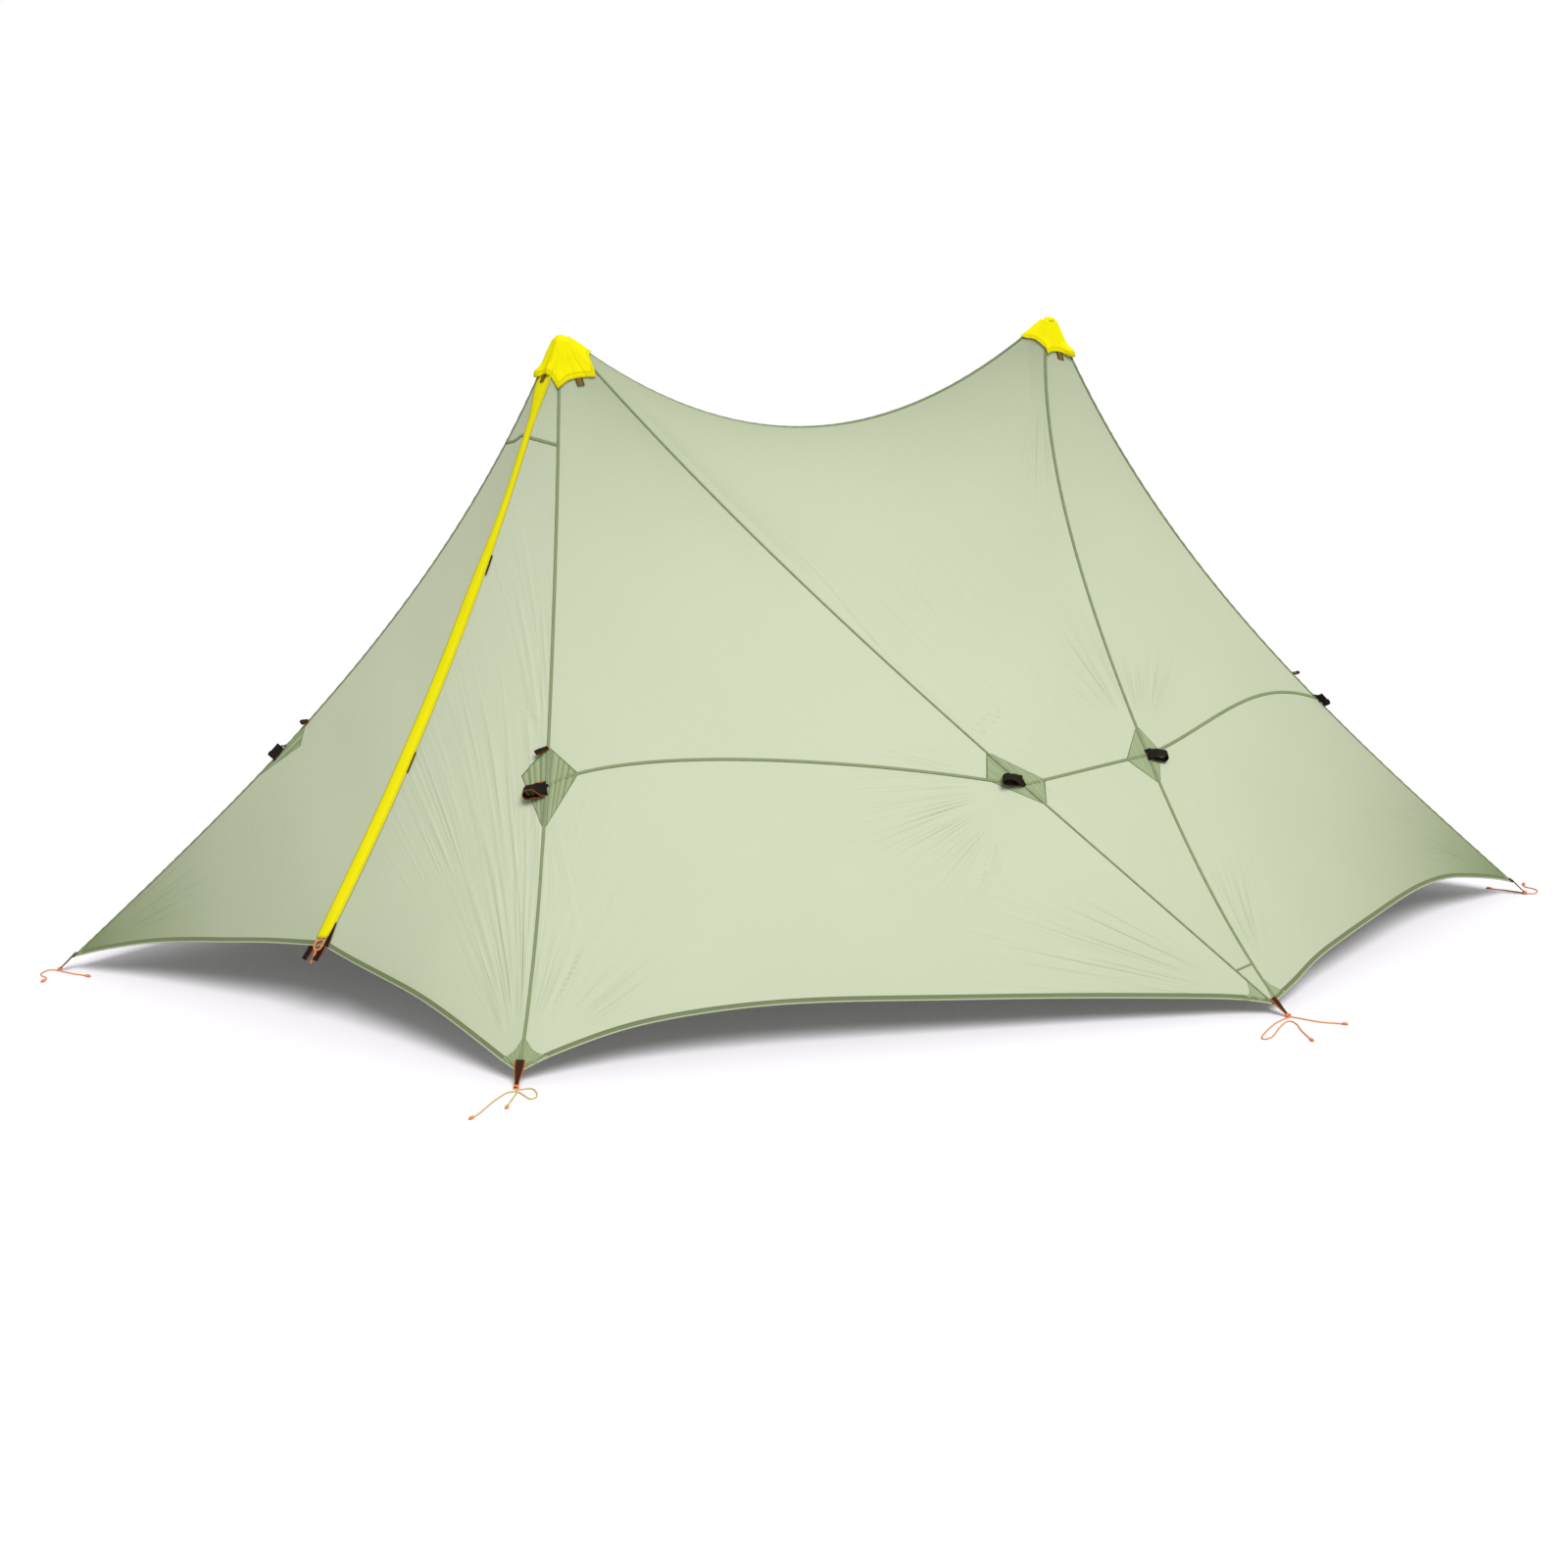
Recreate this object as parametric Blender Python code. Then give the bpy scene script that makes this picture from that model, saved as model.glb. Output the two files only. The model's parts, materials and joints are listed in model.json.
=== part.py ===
"""Two-pole ultralight tent: six-cornered pyramid canopy with two zipped doors, peak caps and trekking poles.

Metres, +Z up, origin on the floor under the middle of the ridge. The ridge lies on X, and the second half
is the first turned by half a turn about Z.
"""

import math

import bmesh
import bpy
import numpy as np
from mathutils import Vector
from mathutils.bvhtree import BVHTree

# Overall shape
PEAK_Z = 1.20
PEAK_X = 0.4732
CORNER_END = (-1.4713, 0.1746)
CORNER_FRONT = (-0.6969, -0.6602)
CORNER_SIDE = (0.7035, -0.6982)
RIDGE_SAG = 0.187

# Fabric
CLOTH = 0.0015
GAP = 0.0004
EDGE_INSET = 0.0003
PEAK_RADIUS = 0.0095
CAP_WALL = 0.0012
CAP_GAP = 0.0013
START = 0.034
TIP_CUT = {"end": 0.040, "front": 0.030, "side": 0.035}

# Catenary cut of each seam: (sag, skew, direction), and a sideways part (x, x skew, x bow)
END_SEAM = (0.0845, 0.35, (0.75, -0.13, -0.65), (0.0, 0.0, 0.0))
FRONT_SEAM = (0.113, 0.20, (0.0, 0.85, -0.53), (0.0322, -0.0064, 0.0082))
LONG_SEAM = (0.0808, 0.54, (0.01, 0.867, -0.497), (0.0, 0.0, 0.0))
SIDE_SEAM = (0.135, 0.15, (0.0, 0.84, -0.55), (-0.043, -0.014, -0.0428))
TIE_OUT_AT = {"end": 0.600, "front": 0.600, "long": 0.650, "side": 0.605}
ARC_AT = 0.145
UPPER_ROWS = (0.22, 0.44, 0.66, 0.84)
LOWER_ROWS = (0.22, 0.46, 0.72)

# Door: zip line, hinge lines and storm flap
DOOR_FOOT = (-0.972, -0.239, 0.176)
ZIP_SAG = 0.045
ZIP_ARC_AT = 0.2026
HINGE_TOP = 0.42
HINGE_FOOT_END = 0.160
HINGE_FOOT_FRONT = 0.118
HINGE_LIFT = 0.0003
FLAP_TOP_WIDTH = 0.012
FLAP_FOOT_WIDTH = 0.023
FLAP_WALL = 0.0010
SLIDER_INSET = 0.0058
SLIDER_CLEAR = 0.0024

# Trekking poles, standing grip down with the tip in the peak
POLE_TIP_R = 0.0020
POLE_LOWER_R = 0.0060
POLE_UPPER_R = 0.0085
POLE_BORE_R = 0.0064
GRIP_R = 0.0165
GRIP_TOP = 0.150
TUBE_TOP = 0.660
TIP_TUBE_FOOT = 0.560
COLLAR_R = 0.0120
COLLAR_H = 0.030

# Webbing and cords
STRAP_W = 0.015
STRAP_T = 0.002
FOOT_LENGTH = 0.016
LOOP_LENGTH = 0.036
LOOP_WIDTH = 0.016
LOOP_GAP = 0.0095
LOOP_BAND = 0.0016
CORD_R = 0.0011

HALF_TURN = np.diag([-1.0, -1.0, 1.0])

for old in list(bpy.data.objects):
    bpy.data.objects.remove(old, do_unlink=True)


def material(name, colour, roughness, metallic=0.0):
    found = bpy.data.materials.get(name)
    if found:
        return found
    made = bpy.data.materials.new(name)
    made.use_nodes = True
    shader = made.node_tree.nodes["Principled BSDF"]
    shader.inputs["Base Color"].default_value = (*colour, 1.0)
    shader.inputs["Roughness"].default_value = roughness
    shader.inputs["Metallic"].default_value = metallic
    made.diffuse_color = (*colour, 1.0)
    return made


CLOTH_GREEN = ("cloth_green", (0.66, 0.72, 0.55), 0.62)
CAP_YELLOW = ("cap_yellow", (0.95, 0.87, 0.02), 0.55)
WEB_BROWN = ("webbing_brown", (0.09, 0.035, 0.012), 0.80)
WEB_BLACK = ("webbing_black", (0.02, 0.018, 0.015), 0.80)
CORD_WHITE = ("cord_white", (0.78, 0.76, 0.62), 0.75)
CORD_ORANGE = ("cord_orange", (0.90, 0.22, 0.04), 0.70)
PLASTIC_BLACK = ("plastic_black", (0.03, 0.03, 0.03), 0.45)
ALUMINIUM = ("aluminium", (0.62, 0.63, 0.65), 0.30, 1.0)
FOAM_BLACK = ("foam_black", (0.045, 0.045, 0.045), 0.90)


def add_mesh(name, points, faces, finish, smooth=False, helper=False):
    mesh = bpy.data.meshes.new(name)
    mesh.from_pydata([tuple(map(float, p)) for p in points], [], [tuple(map(int, f)) for f in faces])
    mesh.validate()
    work = bmesh.new()
    work.from_mesh(mesh)
    bmesh.ops.recalc_face_normals(work, faces=work.faces)
    work.to_mesh(mesh)
    work.free()
    obj = bpy.data.objects.new(name, mesh)
    bpy.context.scene.collection.objects.link(obj)
    mesh.materials.append(material(*finish))
    for polygon in mesh.polygons:
        polygon.use_smooth = smooth
    if helper:
        obj.hide_render = True
        obj.display_type = "WIRE"
    return obj


def set_origin(obj, place):
    """Moves the object's origin to the joint, with the mesh left where it is."""
    place = Vector(place)
    for vertex in obj.data.vertices:
        vertex.co -= place
    obj.location = place


def boolean(obj, other, operation):
    change = obj.modifiers.new(operation.title(), "BOOLEAN")
    change.operation = operation
    change.solver = "EXACT"
    change.object = other
    other.hide_render = True
    other.display_type = "WIRE"


def unit(v):
    v = np.asarray(v, float)
    return v / np.linalg.norm(v, axis=-1, keepdims=v.ndim > 1)


# Seam curves

LEFT_PEAK = np.array([-PEAK_X, 0.0, PEAK_Z - 0.0016])
RIGHT_PEAK = np.array([PEAK_X, 0.0, PEAK_Z - 0.0016])
FOOT_END = np.array([*CORNER_END, 0.0])
FOOT_FRONT = np.array([*CORNER_FRONT, 0.0])
FOOT_SIDE = np.array([*CORNER_SIDE, 0.0])


def ring(peak, degrees):
    turn = math.radians(degrees)
    return peak + PEAK_RADIUS * np.array([math.cos(turn), math.sin(turn), 0.0])


def seam_points(start, foot, shape, t):
    sag, skew, direction, side = shape
    t = np.asarray(t, float)[:, None]
    bow = 4 * t * (1 - t)
    q = 1 - 2 * t
    across = bow * (side[0] + side[1] * q + side[2] * q * q) * np.array([1.0, 0.0, 0.0])
    return start + (foot - start) * t + sag * bow * (1 + skew * q) * np.array(direction) + across


def seam_rows(start, foot, shape, tie, cut):
    """Points of a seam at the rows that both neighbouring panels share, from under the cap to the corner."""
    length = np.linalg.norm(foot - start)
    first, last = START / length, 1 - cut / length
    upper = [first, 0.5 * (first + ARC_AT), ARC_AT] + [ARC_AT + (tie - ARC_AT) * k for k in UPPER_ROWS]
    lower = [tie + (last - tie) * k for k in (0.0, *LOWER_ROWS, 1.0)]
    return seam_points(start, foot, shape, upper + lower)


TIE_ROW = 3 + len(UPPER_ROWS)
SEAM_END = seam_rows(ring(LEFT_PEAK, 172), FOOT_END, END_SEAM, TIE_OUT_AT["end"], TIP_CUT["end"])
SEAM_FRONT = seam_rows(ring(LEFT_PEAK, -110), FOOT_FRONT, FRONT_SEAM, TIE_OUT_AT["front"], TIP_CUT["front"])
SEAM_LONG = seam_rows(ring(LEFT_PEAK, -45), FOOT_SIDE, LONG_SEAM, TIE_OUT_AT["long"], TIP_CUT["side"])
SEAM_SIDE = seam_rows(ring(RIGHT_PEAK, -135), FOOT_SIDE, SIDE_SEAM, TIE_OUT_AT["side"], TIP_CUT["side"])
ROWS = len(SEAM_END)
COLUMNS = 8
RIDGE_COLUMNS = 12

ridge_start = ring(LEFT_PEAK, 0)
ridge_end = ring(RIGHT_PEAK, 180)
ridge_length = np.linalg.norm(ridge_end - ridge_start)


def ridge_point(t):
    return ridge_start + (ridge_end - ridge_start) * t - np.array([0, 0, RIDGE_SAG * 4 * t * (1 - t)])


RIDGE_T = np.linspace(START / ridge_length, 1 - START / ridge_length, RIDGE_COLUMNS - 1)
RIDGE = np.array([ridge_point(t) for t in RIDGE_T])


# Face grids: rows run from the peak to the hem, columns from the left seam to the right one

class Plane:
    """Flat frame of one face: outward normal, and in-plane axes."""

    def __init__(self, top, left, right):
        self.origin = np.array(top, float)
        normal = np.cross(np.array(left) - top, np.array(right) - top)
        centre = (np.array(top) + left + right) / 3
        if normal @ (centre - np.array([0, 0, -1.0])) < 0:
            normal = -normal
        self.n = unit(normal)
        self.x = unit(np.cross([0, 0, 1.0], self.n))
        self.y = np.cross(self.n, self.x)

    def flat(self, points):
        d = np.asarray(points) - self.origin
        return np.stack([d @ self.x, d @ self.y, d @ self.n], axis=-1)

    def space(self, flat):
        flat = np.asarray(flat)
        return self.origin + flat[..., :1] * self.x + flat[..., 1:2] * self.y + flat[..., 2:] * self.n


def coons(top, bottom, left, right):
    """Fills a block of a grid from its four edges."""
    rows, columns = len(left), len(top)
    v = np.concatenate([[0], np.cumsum(np.linalg.norm(np.diff(left, axis=0), axis=1))])
    v = (v / v[-1])[:, None, None]
    u = np.linspace(0, 1, columns)[None, :, None]
    across = (1 - u) * left[:, None] + u * right[:, None]
    down = (1 - v) * top[None] + v * bottom[None]
    corners = (1 - v) * ((1 - u) * top[0] + u * top[-1]) + v * ((1 - u) * bottom[0] + u * bottom[-1])
    assert across.shape == (rows, columns, top.shape[1])
    return across + down - corners


def relax(flat, fixed):
    """Heights of the free points as a membrane stretched between the fixed ones."""
    rows, columns = flat.shape[:2]
    count = rows * columns
    system = np.zeros((count, count))
    index = np.arange(count).reshape(rows, columns)
    place = flat[..., :2]

    def span(i0, j0, i1, j1):
        return np.linalg.norm(place[i0, j0] - place[i1, j1]) + 1e-6

    for i in range(rows):
        for j in range(columns):
            for di, dj in ((0, 1), (1, 0)):
                k, m = i + di, j + dj
                if k >= rows or m >= columns:
                    continue
                length = span(i, j, k, m)
                if dj:
                    low, high = max(i - 1, 0), min(i + 1, rows - 1)
                    width = span(low, j, high, j) / (high - low)
                else:
                    low, high = max(j - 1, 0), min(j + 1, columns - 1)
                    width = span(i, low, i, high) / (high - low)
                weight = width / length
                a, b = index[i, j], index[k, m]
                system[a, a] += weight
                system[b, b] += weight
                system[a, b] -= weight
                system[b, a] -= weight
    keep = fixed.ravel()
    heights = flat[..., 2].ravel().copy()
    free = ~keep
    right = -system[np.ix_(free, keep)] @ heights[keep]
    heights[free] = np.linalg.solve(system[np.ix_(free, free)], right)
    result = flat.copy()
    result[..., 2] = heights.reshape(rows, columns)
    return result


def border(rows, columns, extra=()):
    fixed = np.zeros((rows, columns), bool)
    fixed[0] = fixed[-1] = True
    fixed[:, 0] = fixed[:, -1] = True
    for column in extra:
        fixed[:, column] = True
    return fixed


def lerp_row(a, b, columns):
    u = np.linspace(0, 1, columns + 1)[:, None]
    return (1 - u) * a + u * b


def arch(row, up, rise, power):
    """Lifts a straight row into an arch whose highest point is set by the power."""
    u = np.linspace(0, 1, len(row)) ** power
    return row + (rise * 4 * u * (1 - u))[:, None] * up


def plain_face(left, right, top, hem, tie_rise, tie_power, plane, hem_points):
    top, left, right, hem = (plane.flat(p) for p in (top, left, right, hem_points))
    up = np.array([0.0, 1.0, 0.0])
    tie = arch(lerp_row(left[TIE_ROW], right[TIE_ROW], len(top) - 1), up, tie_rise, tie_power)
    upper = coons(top, tie, left[: TIE_ROW + 1], right[: TIE_ROW + 1])
    lower = coons(tie, hem, left[TIE_ROW:], right[TIE_ROW:])
    flat = np.concatenate([upper, lower[1:]])
    return plane.space(relax(flat, border(*flat.shape[:2])))


def hem_row(left_tip, right_tip, curve, columns):
    points = [curve(u) for u in np.linspace(0, 1, columns + 1)]
    points[0], points[-1] = left_tip, right_tip
    return np.array(points)


FRONT_UP = unit([0.0, 0.49, 0.872])
END_UP = unit([-0.287, 0.421, 0.860])


def front_hem(u):
    return FOOT_FRONT + (FOOT_SIDE - FOOT_FRONT) * u + 4 * u * (1 - u) * (0.115 - 0.09 * u) * FRONT_UP


def end_hem(u):
    w = u ** 1.22
    return FOOT_SIDE + (-FOOT_END * [1, 1, 0] - FOOT_SIDE) * u + 4 * w * (1 - w) * 0.088 * END_UP


FOOT_FAR = -FOOT_END
SEAM_FAR = SEAM_END @ HALF_TURN
front_plane = Plane(LEFT_PEAK, FOOT_FRONT, FOOT_SIDE)
roof_plane = Plane(LEFT_PEAK, FOOT_SIDE, RIGHT_PEAK)
end_plane = Plane(RIGHT_PEAK, FOOT_SIDE, FOOT_FAR)
door_plane = Plane(LEFT_PEAK, FOOT_END, FOOT_FRONT)

front_grid = plain_face(
    SEAM_FRONT, SEAM_LONG, lerp_row(SEAM_FRONT[0], SEAM_LONG[0], COLUMNS), None, 0.048, 0.6425,
    front_plane, hem_row(SEAM_FRONT[-1], SEAM_LONG[-1], front_hem, COLUMNS),
)
end_grid = plain_face(
    SEAM_SIDE, SEAM_FAR, lerp_row(SEAM_SIDE[0], SEAM_FAR[0], COLUMNS), None, 0.040, 1.609,
    end_plane, hem_row(SEAM_SIDE[-1], SEAM_FAR[-1], end_hem, COLUMNS),
)
roof_top = np.concatenate([[SEAM_LONG[0]], RIDGE, [SEAM_SIDE[0]]])
roof_grid = plain_face(
    SEAM_LONG, SEAM_SIDE, roof_top, None, 0.0, 1.0,
    roof_plane, lerp_row(SEAM_LONG[-1], SEAM_SIDE[-1], RIDGE_COLUMNS),
)


# Door face: its columns are seam, hinge line, middle, flap edge, parting line, two between, hinge line, seam

def cross_point(a, b, c, d):
    """Where line a-b meets line c-d in the plane."""
    (x1, y1), (x2, y2), (x3, y3), (x4, y4) = a[:2], b[:2], c[:2], d[:2]
    under = (x1 - x2) * (y3 - y4) - (y1 - y2) * (x3 - x4)
    s = ((x1 - x3) * (y3 - y4) - (y1 - y3) * (x3 - x4)) / under
    return np.array([x1 + s * (x2 - x1), y1 + s * (y2 - y1)])


zip_start = ring(LEFT_PEAK, -150)
zip_foot = np.array(DOOR_FOOT)
zip_down = unit(zip_foot - zip_start)
zip_right = unit(np.cross(door_plane.n, zip_down))
part_start = zip_start + zip_right * FLAP_TOP_WIDTH / 2
part_foot = zip_foot + zip_right * FLAP_FOOT_WIDTH / 2
part_length = np.linalg.norm(part_foot - part_start)
part_down = unit(part_foot - part_start)
part_right = unit(np.cross(door_plane.n, part_down))
part_out = np.cross(part_down, part_right)
if part_out @ door_plane.n < 0:
    part_out = -part_out
ZIP_RADIUS = (part_length ** 2 / 4 + ZIP_SAG ** 2) / (2 * ZIP_SAG)
arc_centre = (part_start + part_foot) / 2 + part_out * (ZIP_RADIUS - ZIP_SAG)


def part_point(s):
    """Point of the parting arc at distance s down its chord."""
    drop = math.sqrt(ZIP_RADIUS ** 2 - (s - part_length / 2) ** 2) - (ZIP_RADIUS - ZIP_SAG)
    return part_start + part_down * s - part_out * drop


seam_t = np.concatenate([[0], np.cumsum(np.linalg.norm(np.diff(SEAM_END, axis=0), axis=1))])
row_share = (seam_t - seam_t[2]) / (seam_t[-1] - seam_t[2])
part_s = [START, 0.5 * (START + ZIP_ARC_AT), ZIP_ARC_AT]
part_s += [ZIP_ARC_AT + (part_length - ZIP_ARC_AT) * share for share in row_share[3:]]
part_rows = np.array([part_point(s) for s in part_s])
flap_share = [(s - ZIP_ARC_AT) / (part_length - ZIP_ARC_AT) for s in part_s]
flap_width = [FLAP_TOP_WIDTH + (FLAP_FOOT_WIDTH - FLAP_TOP_WIDTH) * max(share, 0.0) for share in flap_share]

left_flat = door_plane.flat(SEAM_END)
right_flat = door_plane.flat(SEAM_FRONT)
part_flat = door_plane.flat(part_rows)
hinge_left = [
    left_flat[2] + HINGE_TOP * (part_flat[2] - left_flat[2]),
    door_plane.flat(FOOT_END + HINGE_FOOT_END * unit(zip_foot - FOOT_END)),
]
hinge_right = [
    right_flat[2] + HINGE_TOP * (part_flat[2] - right_flat[2]),
    door_plane.flat(FOOT_FRONT + HINGE_FOOT_FRONT * unit(zip_foot - FOOT_FRONT)),
]
DOOR_COLUMNS = 8
door_flat = np.zeros((ROWS, DOOR_COLUMNS + 1, 3))
for i in range(ROWS):
    left, part, right = left_flat[i], part_flat[i], right_flat[i]
    edge = part + (left - part) * flap_width[i] / np.linalg.norm((left - part)[:2])
    if i < 2:
        h1 = (left + HINGE_TOP * (part - left))[:2]
        h2 = (right + HINGE_TOP * (part - right))[:2]
        edge = part + (left - part) * 0.33
    else:
        h1 = cross_point(left, part, hinge_left[0], hinge_left[1])
        h2 = cross_point(right, part, hinge_right[0], hinge_right[1])
    h1 = np.array([*h1, 0.0])
    h2 = np.array([*h2, 0.0])
    row = [left, h1, (h1 + edge) / 2, edge, part, part + (h2 - part) / 3, part + (h2 - part) * 2 / 3, h2, right]
    door_flat[i] = row
    if i == 0:
        flat_u = [0.0, HINGE_TOP, (HINGE_TOP + 0.67) / 2, 0.67]
        for j, u in enumerate(flat_u):
            door_flat[i, j, 2] = left[2] + (part[2] - left[2]) * u
        for j, u in zip((5, 6, 7), ((1 - HINGE_TOP) / 3, 2 * (1 - HINGE_TOP) / 3, 1 - HINGE_TOP)):
            door_flat[i, j, 2] = part[2] + (right[2] - part[2]) * u
for j, rise in ((1, 0.4), (2, 1.0), (3, 0.4), (5, 0.9), (6, 1.0), (7, 0.5)):
    door_flat[-1, j, 1] += rise * (0.012 if j < 4 else 0.021)
    door_flat[-1, j, 2] = 0.0
door_grid = door_plane.space(relax(door_flat, border(ROWS, DOOR_COLUMNS + 1, (4,))))


# Mitred thickness

def grid_normals(grid, plane):
    down = np.gradient(grid, axis=0)
    across = np.gradient(grid, axis=1)
    normals = unit(np.cross(across, down))
    if (normals @ plane.n).sum() < 0:
        normals = -normals
    return normals


NORMALS = {
    "front": grid_normals(front_grid, front_plane),
    "roof": grid_normals(roof_grid, roof_plane),
    "end": grid_normals(end_grid, end_plane),
    "door": grid_normals(door_grid, door_plane),
}


def thickness(normals):
    return -CLOTH * normals


OFFSETS = {name: thickness(normals) for name, normals in NORMALS.items()}


def mitre(first, second):
    """Offset of a seam point shared by two faces with these normals."""
    middle = unit(first + second)
    return -CLOTH * middle / np.maximum((middle * first).sum(-1, keepdims=True), 0.6)


def share_seam(face_a, at_a, face_b, at_b, turned):
    a = NORMALS[face_a][at_a]
    b = NORMALS[face_b][at_b]
    if turned:
        b = b @ HALF_TURN
    offset = mitre(a, b)
    OFFSETS[face_a][at_a] = offset
    OFFSETS[face_b][at_b] = offset @ HALF_TURN if turned else offset


every = slice(None)
share_seam("door", (every, -1), "front", (every, 0), False)
share_seam("front", (every, -1), "roof", (every, 0), False)
share_seam("roof", (every, -1), "end", (every, 0), False)
share_seam("door", (every, 0), "end", (every, -1), True)
ridge_own = NORMALS["roof"][0, 1:-1]
ridge_other = ridge_own[::-1] @ HALF_TURN
OFFSETS["roof"][0, 1:-1] = mitre(ridge_own, ridge_other)


def quads_of(rows, columns):
    return [(i, j) for i in rows for j in columns]


def sheet_solid(outer, inner, quads, inset=EDGE_INSET):
    """Closed body between two point grids over the chosen quads, drawn in a little at its free edges."""
    quads = list(quads)
    edges = {}
    for i, j in quads:
        loop = [(i, j), (i + 1, j), (i + 1, j + 1), (i, j + 1)]
        centre = outer[i : i + 2, j : j + 2].reshape(-1, 3).mean(axis=0)
        for a, b in zip(loop, loop[1:] + loop[:1]):
            key = frozenset((a, b))
            if key in edges:
                edges[key] = None
            else:
                edges[key] = (a, b, centre)
    rim = [edge for edge in edges.values() if edge]
    moves = {}
    for a, b, centre in rim:
        along = unit(outer[b] - outer[a])
        inward = centre - outer[a]
        inward = unit(inward - (inward @ along) * along)
        moves.setdefault(a, []).append(inward)
        moves.setdefault(b, []).append(inward)
    used = sorted({corner for i, j in quads for corner in ((i, j), (i + 1, j), (i + 1, j + 1), (i, j + 1))})
    number = {corner: k for k, corner in enumerate(used)}
    shift = {}
    for corner in used:
        normals = moves.get(corner)
        if not normals:
            shift[corner] = np.zeros(3)
        else:
            n1, n2 = normals[0], normals[-1]
            shift[corner] = inset * (n1 + n2) / max(1 + n1 @ n2, 0.35)
    points = [outer[c] + shift[c] for c in used] + [inner[c] + shift[c] for c in used]
    low = len(used)
    faces = []
    for i, j in quads:
        a, b, c, d = (number[k] for k in ((i, j), (i + 1, j), (i + 1, j + 1), (i, j + 1)))
        faces += [(a, b, c), (a, c, d), (low + a, low + c, low + b), (low + a, low + d, low + c)]
    for a, b, _ in rim:
        a, b = number[a], number[b]
        faces += [(b, a, low + a), (b, low + a, low + b)]
    return points, faces


def build_half(name, points, faces, finish, turned, smooth=False, helper=False):
    points = np.asarray(points, float)
    if turned:
        points = points @ HALF_TURN
    return add_mesh(f"{name}_{2 if turned else 1}", points, faces, finish, smooth, helper)


def half_point(place, turned):
    place = np.asarray(place, float)
    return place @ HALF_TURN if turned else place


def panel(name, face, grid, quads, turned, finish=CLOTH_GREEN, deepen=None):
    offsets = OFFSETS[face].copy()
    if deepen:
        deepen(offsets)
    points, faces = sheet_solid(grid, grid + offsets, quads)
    return build_half(name, points, faces, finish, turned, smooth=True)


def zip_bead(offsets):
    """Thickens the left door half along the parting line into the zip tape and coil."""
    offsets[2:, 4] *= 2.0


door_hinge_left = (door_grid[2, 1], door_grid[-1, 1])
door_hinge_right = (door_grid[2, 7], door_grid[-1, 7])


def hinge_axis(top, foot):
    """Straight axis just outside both ends of the hinge line, so that the bowed cloth turns away from its frame."""
    return top + door_plane.n * HINGE_LIFT, foot + door_plane.n * HINGE_LIFT


AXIS_LEFT = hinge_axis(*door_hinge_left)
AXIS_RIGHT = hinge_axis(*door_hinge_right)


# Cap

def along_line(points, distance):
    """Point at this distance down a seam's polyline."""
    for a, b in zip(points, points[1:]):
        length = np.linalg.norm(b - a)
        if distance <= length:
            return a + (b - a) * distance / length
        distance -= length
    return points[-1]


def face_trees():
    trees = []
    for grid in (front_grid, roof_grid, end_grid, door_grid):
        for turned in (False, True):
            placed = grid @ HALF_TURN if turned else grid
            rows, columns = placed.shape[:2]
            points = [Vector(p) for p in placed.reshape(-1, 3)]
            faces = []
            for i in range(rows - 1):
                for j in range(columns - 1):
                    a, b = i * columns + j, (i + 1) * columns + j
                    faces += [(a, b, b + 1), (a, b + 1, a + 1)]
            trees.append(BVHTree.FromPolygons(points, faces))
    return trees


TREES = face_trees()


def surface_near(point, outward, reach=0.010):
    """Outermost fabric point on the line through the point along the outward direction."""
    best = None
    for tree in TREES:
        hit, _, _, distance = tree.ray_cast(Vector(point + outward * reach), Vector(-outward), 2 * reach)
        if hit is not None and (best is None or distance < best[0]):
            best = (distance, np.array(hit))
    return point if best is None else best[1]


def peak_seams():
    """Polylines that meet at the left peak, in turn round it: how far the cap runs down
    each, its dip after it and the columns up to the next."""
    side_turned = SEAM_SIDE @ HALF_TURN
    return [
        (np.vstack([ring(LEFT_PEAK, 0), RIDGE]), 0.078, 0.026, 6),
        (np.vstack([ring(LEFT_PEAK, -45), SEAM_LONG]), 0.098, 0.016, 4),
        (np.vstack([ring(LEFT_PEAK, -110), SEAM_FRONT]), 0.108, 0.006, 2),
        (np.vstack([part_start, door_grid[:, 4]]), 0.086, 0.004, 2),
        (np.vstack([ring(LEFT_PEAK, 172), SEAM_END]), 0.090, 0.022, 4),
        (np.vstack([ring(RIGHT_PEAK, -135) @ HALF_TURN, side_turned]), 0.080, 0.020, 4),
    ]


CAP_ROWS = (0.12, 0.35, 0.60, 0.80, 1.0)


def cap_grid():
    seams = peak_seams()
    columns = []
    for k, (line, depth, dip, between) in enumerate(seams):
        next_line, next_depth = seams[(k + 1) % len(seams)][:2]
        out_a = unit((along_line(line, 0.05) - LEFT_PEAK) * [1, 1, 0])
        out_b = unit((along_line(next_line, 0.05) - LEFT_PEAK) * [1, 1, 0])
        for step in range(between):
            f = step / between
            reach = depth + (next_depth - depth) * f - dip * 4 * f * (1 - f)
            outward = unit((1 - f) * out_a + f * out_b + [0, 0, 0.35])
            column = []
            for row in CAP_ROWS:
                a = along_line(line, row * reach)
                b = along_line(next_line, row * reach)
                column.append(surface_near((1 - f) * a + f * b, outward))
            columns.append(column)
    return np.array(columns).transpose(1, 0, 2)


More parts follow.
